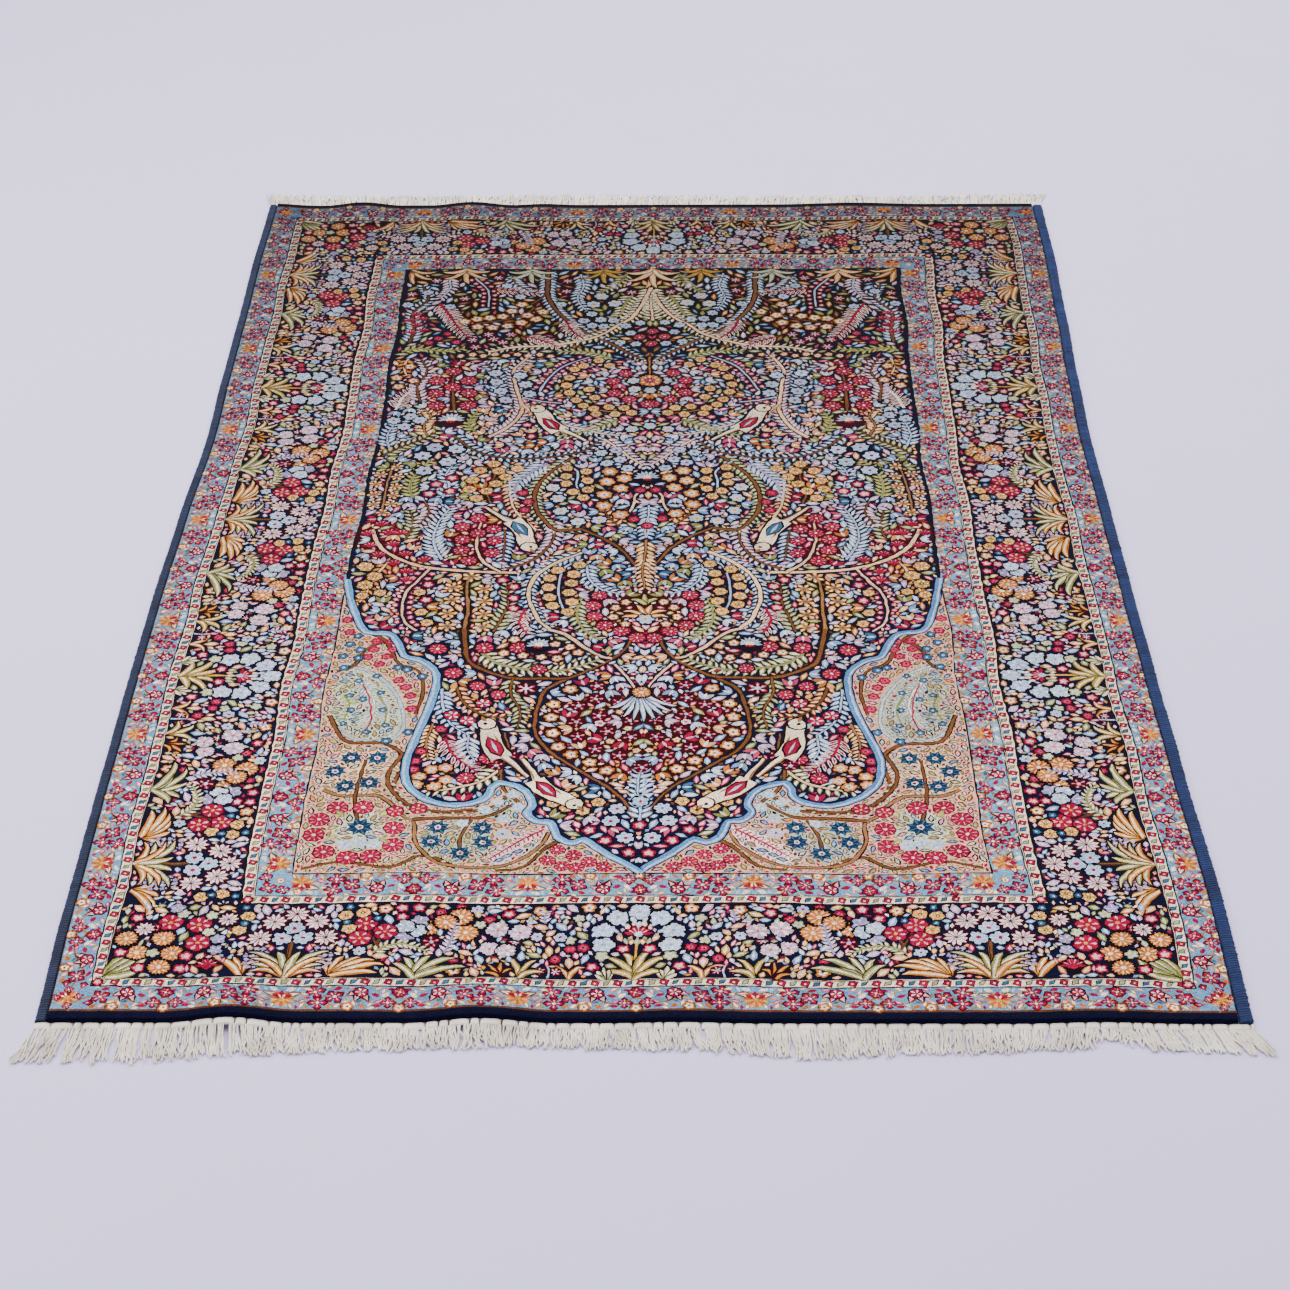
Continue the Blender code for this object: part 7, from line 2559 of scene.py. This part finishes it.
        section = tree.add("GeometryNodeCurvePrimitiveCircle",
                           {"Resolution": 3, "Radius": thick}).outputs[0]
        strands = tree.add("GeometryNodeCurveToMesh", {"Curve": set_down, "Profile Curve": section,
                                                       "Fill Caps": True}).outputs[0]
        return tree.grow(self.name + "_yarns", roots, strands, material)


# ------------------------------------------------------------------ studio

@dataclass(frozen=True)
class Studio:
    """A plain pale floor, soft light from large panels, and the camera of the photograph."""

    lens: float = 78.392
    sensor: float = 36.0
    stand: tuple[float, float, float] = (0.0572, -3.4989, 2.0650)
    yaw: float = -1.0149
    pitch: float = 33.005
    roll: float = 0.5933
    floor_tint: tuple[float, float, float] = (0.672, 0.614, 0.872)
    world_tint: tuple[float, float, float] = (0.90, 0.92, 1.0)
    world_strength: float = 0.86

    def floor(self) -> bpy.types.Object:
        """Builds the floor, which runs on far behind the rug."""
        mesh = mesh_of("studio_floor", np.array([(-30, -20, 0), (30, -20, 0), (30, 60, 0), (-30, 60, 0)]),
                       [(0, 1, 2, 3)])
        finish = Finish("studio_floor_paint", 0.8, 0.0, 0.1)
        grain = finish.noise(3.0, 2, 0.99, 1.01)
        tint = finish.add("ShaderNodeRGB")
        tint.outputs[0].default_value = (*self.floor_tint, 1)
        return linked("studio_floor", mesh, finish.close(finish.shade(tint.outputs[0], grain), grain, 0.05,
                                                         0.0001))

    def lights(self) -> None:
        """Hangs the soft light panels and lights the surroundings evenly."""
        panels = (("panel_above", (0.0, 0.6, 3.6), (0.0, 0.0, 0.0), 4.5, 215.0),
                  ("panel_left", (-3.4, -0.6, 2.6), (0.0, 0.2, 0.0), 2.4, 130.0),
                  ("panel_back", (1.6, 4.2, 2.8), (0.0, 0.3, 0.0), 2.4, 120.0))
        for name, stand, target, size, power in panels:
            light = bpy.data.lights.new(name, "AREA")
            light.shape, light.size, light.energy = "SQUARE", size, power
            lamp = bpy.data.objects.new(name, light)
            lamp.location = stand
            away = Vector(stand) - Vector(target)
            lamp.rotation_euler = away.to_track_quat("Z", "Y").to_euler()
            bpy.context.scene.collection.objects.link(lamp)
        world = bpy.data.worlds.new("studio_surroundings")
        world.use_nodes = True
        backdrop = world.node_tree.nodes["Background"]
        backdrop.inputs["Color"].default_value = (*self.world_tint, 1)
        backdrop.inputs["Strength"].default_value = self.world_strength
        bpy.context.scene.world = world

    def camera(self) -> None:
        """Places the camera where the photograph was taken from."""
        yaw, pitch, roll = (math.radians(angle) for angle in (self.yaw, self.pitch, self.roll))
        ahead = Vector((math.sin(yaw) * math.cos(pitch), math.cos(yaw) * math.cos(pitch), -math.sin(pitch)))
        right = Vector((math.cos(yaw), -math.sin(yaw), 0))
        down = ahead.cross(right)
        across = right * math.cos(roll) + down * math.sin(roll)
        below = down * math.cos(roll) - right * math.sin(roll)
        data = bpy.data.cameras.new("photo_camera")
        data.lens, data.sensor_width = self.lens, self.sensor
        view = bpy.data.objects.new("photo_camera", data)
        turned = Matrix((across, -below, -ahead)).transposed().to_4x4()
        turned.translation = Vector(self.stand)
        view.matrix_world = turned
        bpy.context.scene.collection.objects.link(view)
        bpy.context.scene.camera = view


# ------------------------------------------------------------------ the rug

def ride(piece: bpy.types.Object, node: str) -> bpy.types.Object:
    """Makes a piece move with the rug and stand for its CAD node, and reports it."""
    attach(piece, BODY)
    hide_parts(node)
    log.info("%s: %d triangles", piece.name, sum(len(face.vertices) - 2 for face in piece.data.polygons))
    return piece


@dataclass
class Rug:
    """The whole rug: its carpet, side cords and fringes."""

    lie: Lie = field(default_factory=Lie)
    pile: PileFinish = PileFinish()
    back: PileFinish = PileFinish("pile_wool_back", 0.0026, 0.10, 0.1)
    # the left cord is the right cord's navy wool, painted darker and greyer for the shade on its side of
    # the rug
    left_wool: YarnFinish = YarnFinish("cord_wool_navy_shaded", (0.014, 0.022, 0.058), (0.007, 0.010, 0.030),
                                       sheen=0.06)
    right_wool: YarnFinish = YarnFinish("cord_wool_navy", (0.010, 0.024, 0.105), (0.004, 0.010, 0.045),
                                        sheen=0.06)
    cotton: YarnFinish = YarnFinish("warp_cotton_cream", (0.99, 0.92, 0.81), (0.66, 0.56, 0.46), sheen=0.05)

    def build(self) -> None:
        """Builds every piece, ties it to the rug's body and hides the CAD part that it stands for."""
        loom = Loom(design(), self.lie)
        loom.cut()
        carpet = [ride(piece, "pile_carpet") for piece in loom.pieces(self.pile.build())]
        foundation = ride(loom.foundation(self.back.build()), "pile_carpet")
        edges = self.cords() + self.fringes()

    def cords(self) -> list[bpy.types.Object]:
        """Builds both side cords."""
        pieces = []
        for node, side, width, wool in (("side_cord_left", -1, self.lie.left_cord, self.left_wool),
                                        ("side_cord_right", 1, self.lie.right_cord, self.right_wool)):
            cord = SideCord(node, side, width, self.lie)
            material = wool.build()
            pieces += [ride(part, node) for part in (cord.core(material),
                                                                  cord.wraps(material))]
        return pieces

    def fringes(self) -> list[bpy.types.Object]:
        """Builds both fringes."""
        cotton = self.cotton.build()
        pieces = []
        for node, end, rows, seed in (("fringe_near", -1, NEAR_FRINGE, 5),
                                      ("fringe_far", 1, FAR_FRINGE, 6)):
            fringe = Fringe(node, end, rows, self.lie, seed)
            pieces += [ride(part, node) for part in (fringe.strip(cotton),
                                                                    fringe.yarns(cotton))]
        return pieces


def main() -> None:
    """Builds the rug and the studio around it."""
    logging.basicConfig(level=logging.INFO, format="%(name)s: %(message)s")
    Rug().build()
    studio = Studio()
    studio.floor()
    studio.lights()
    studio.camera()


if __name__ == "__main__":
    main()
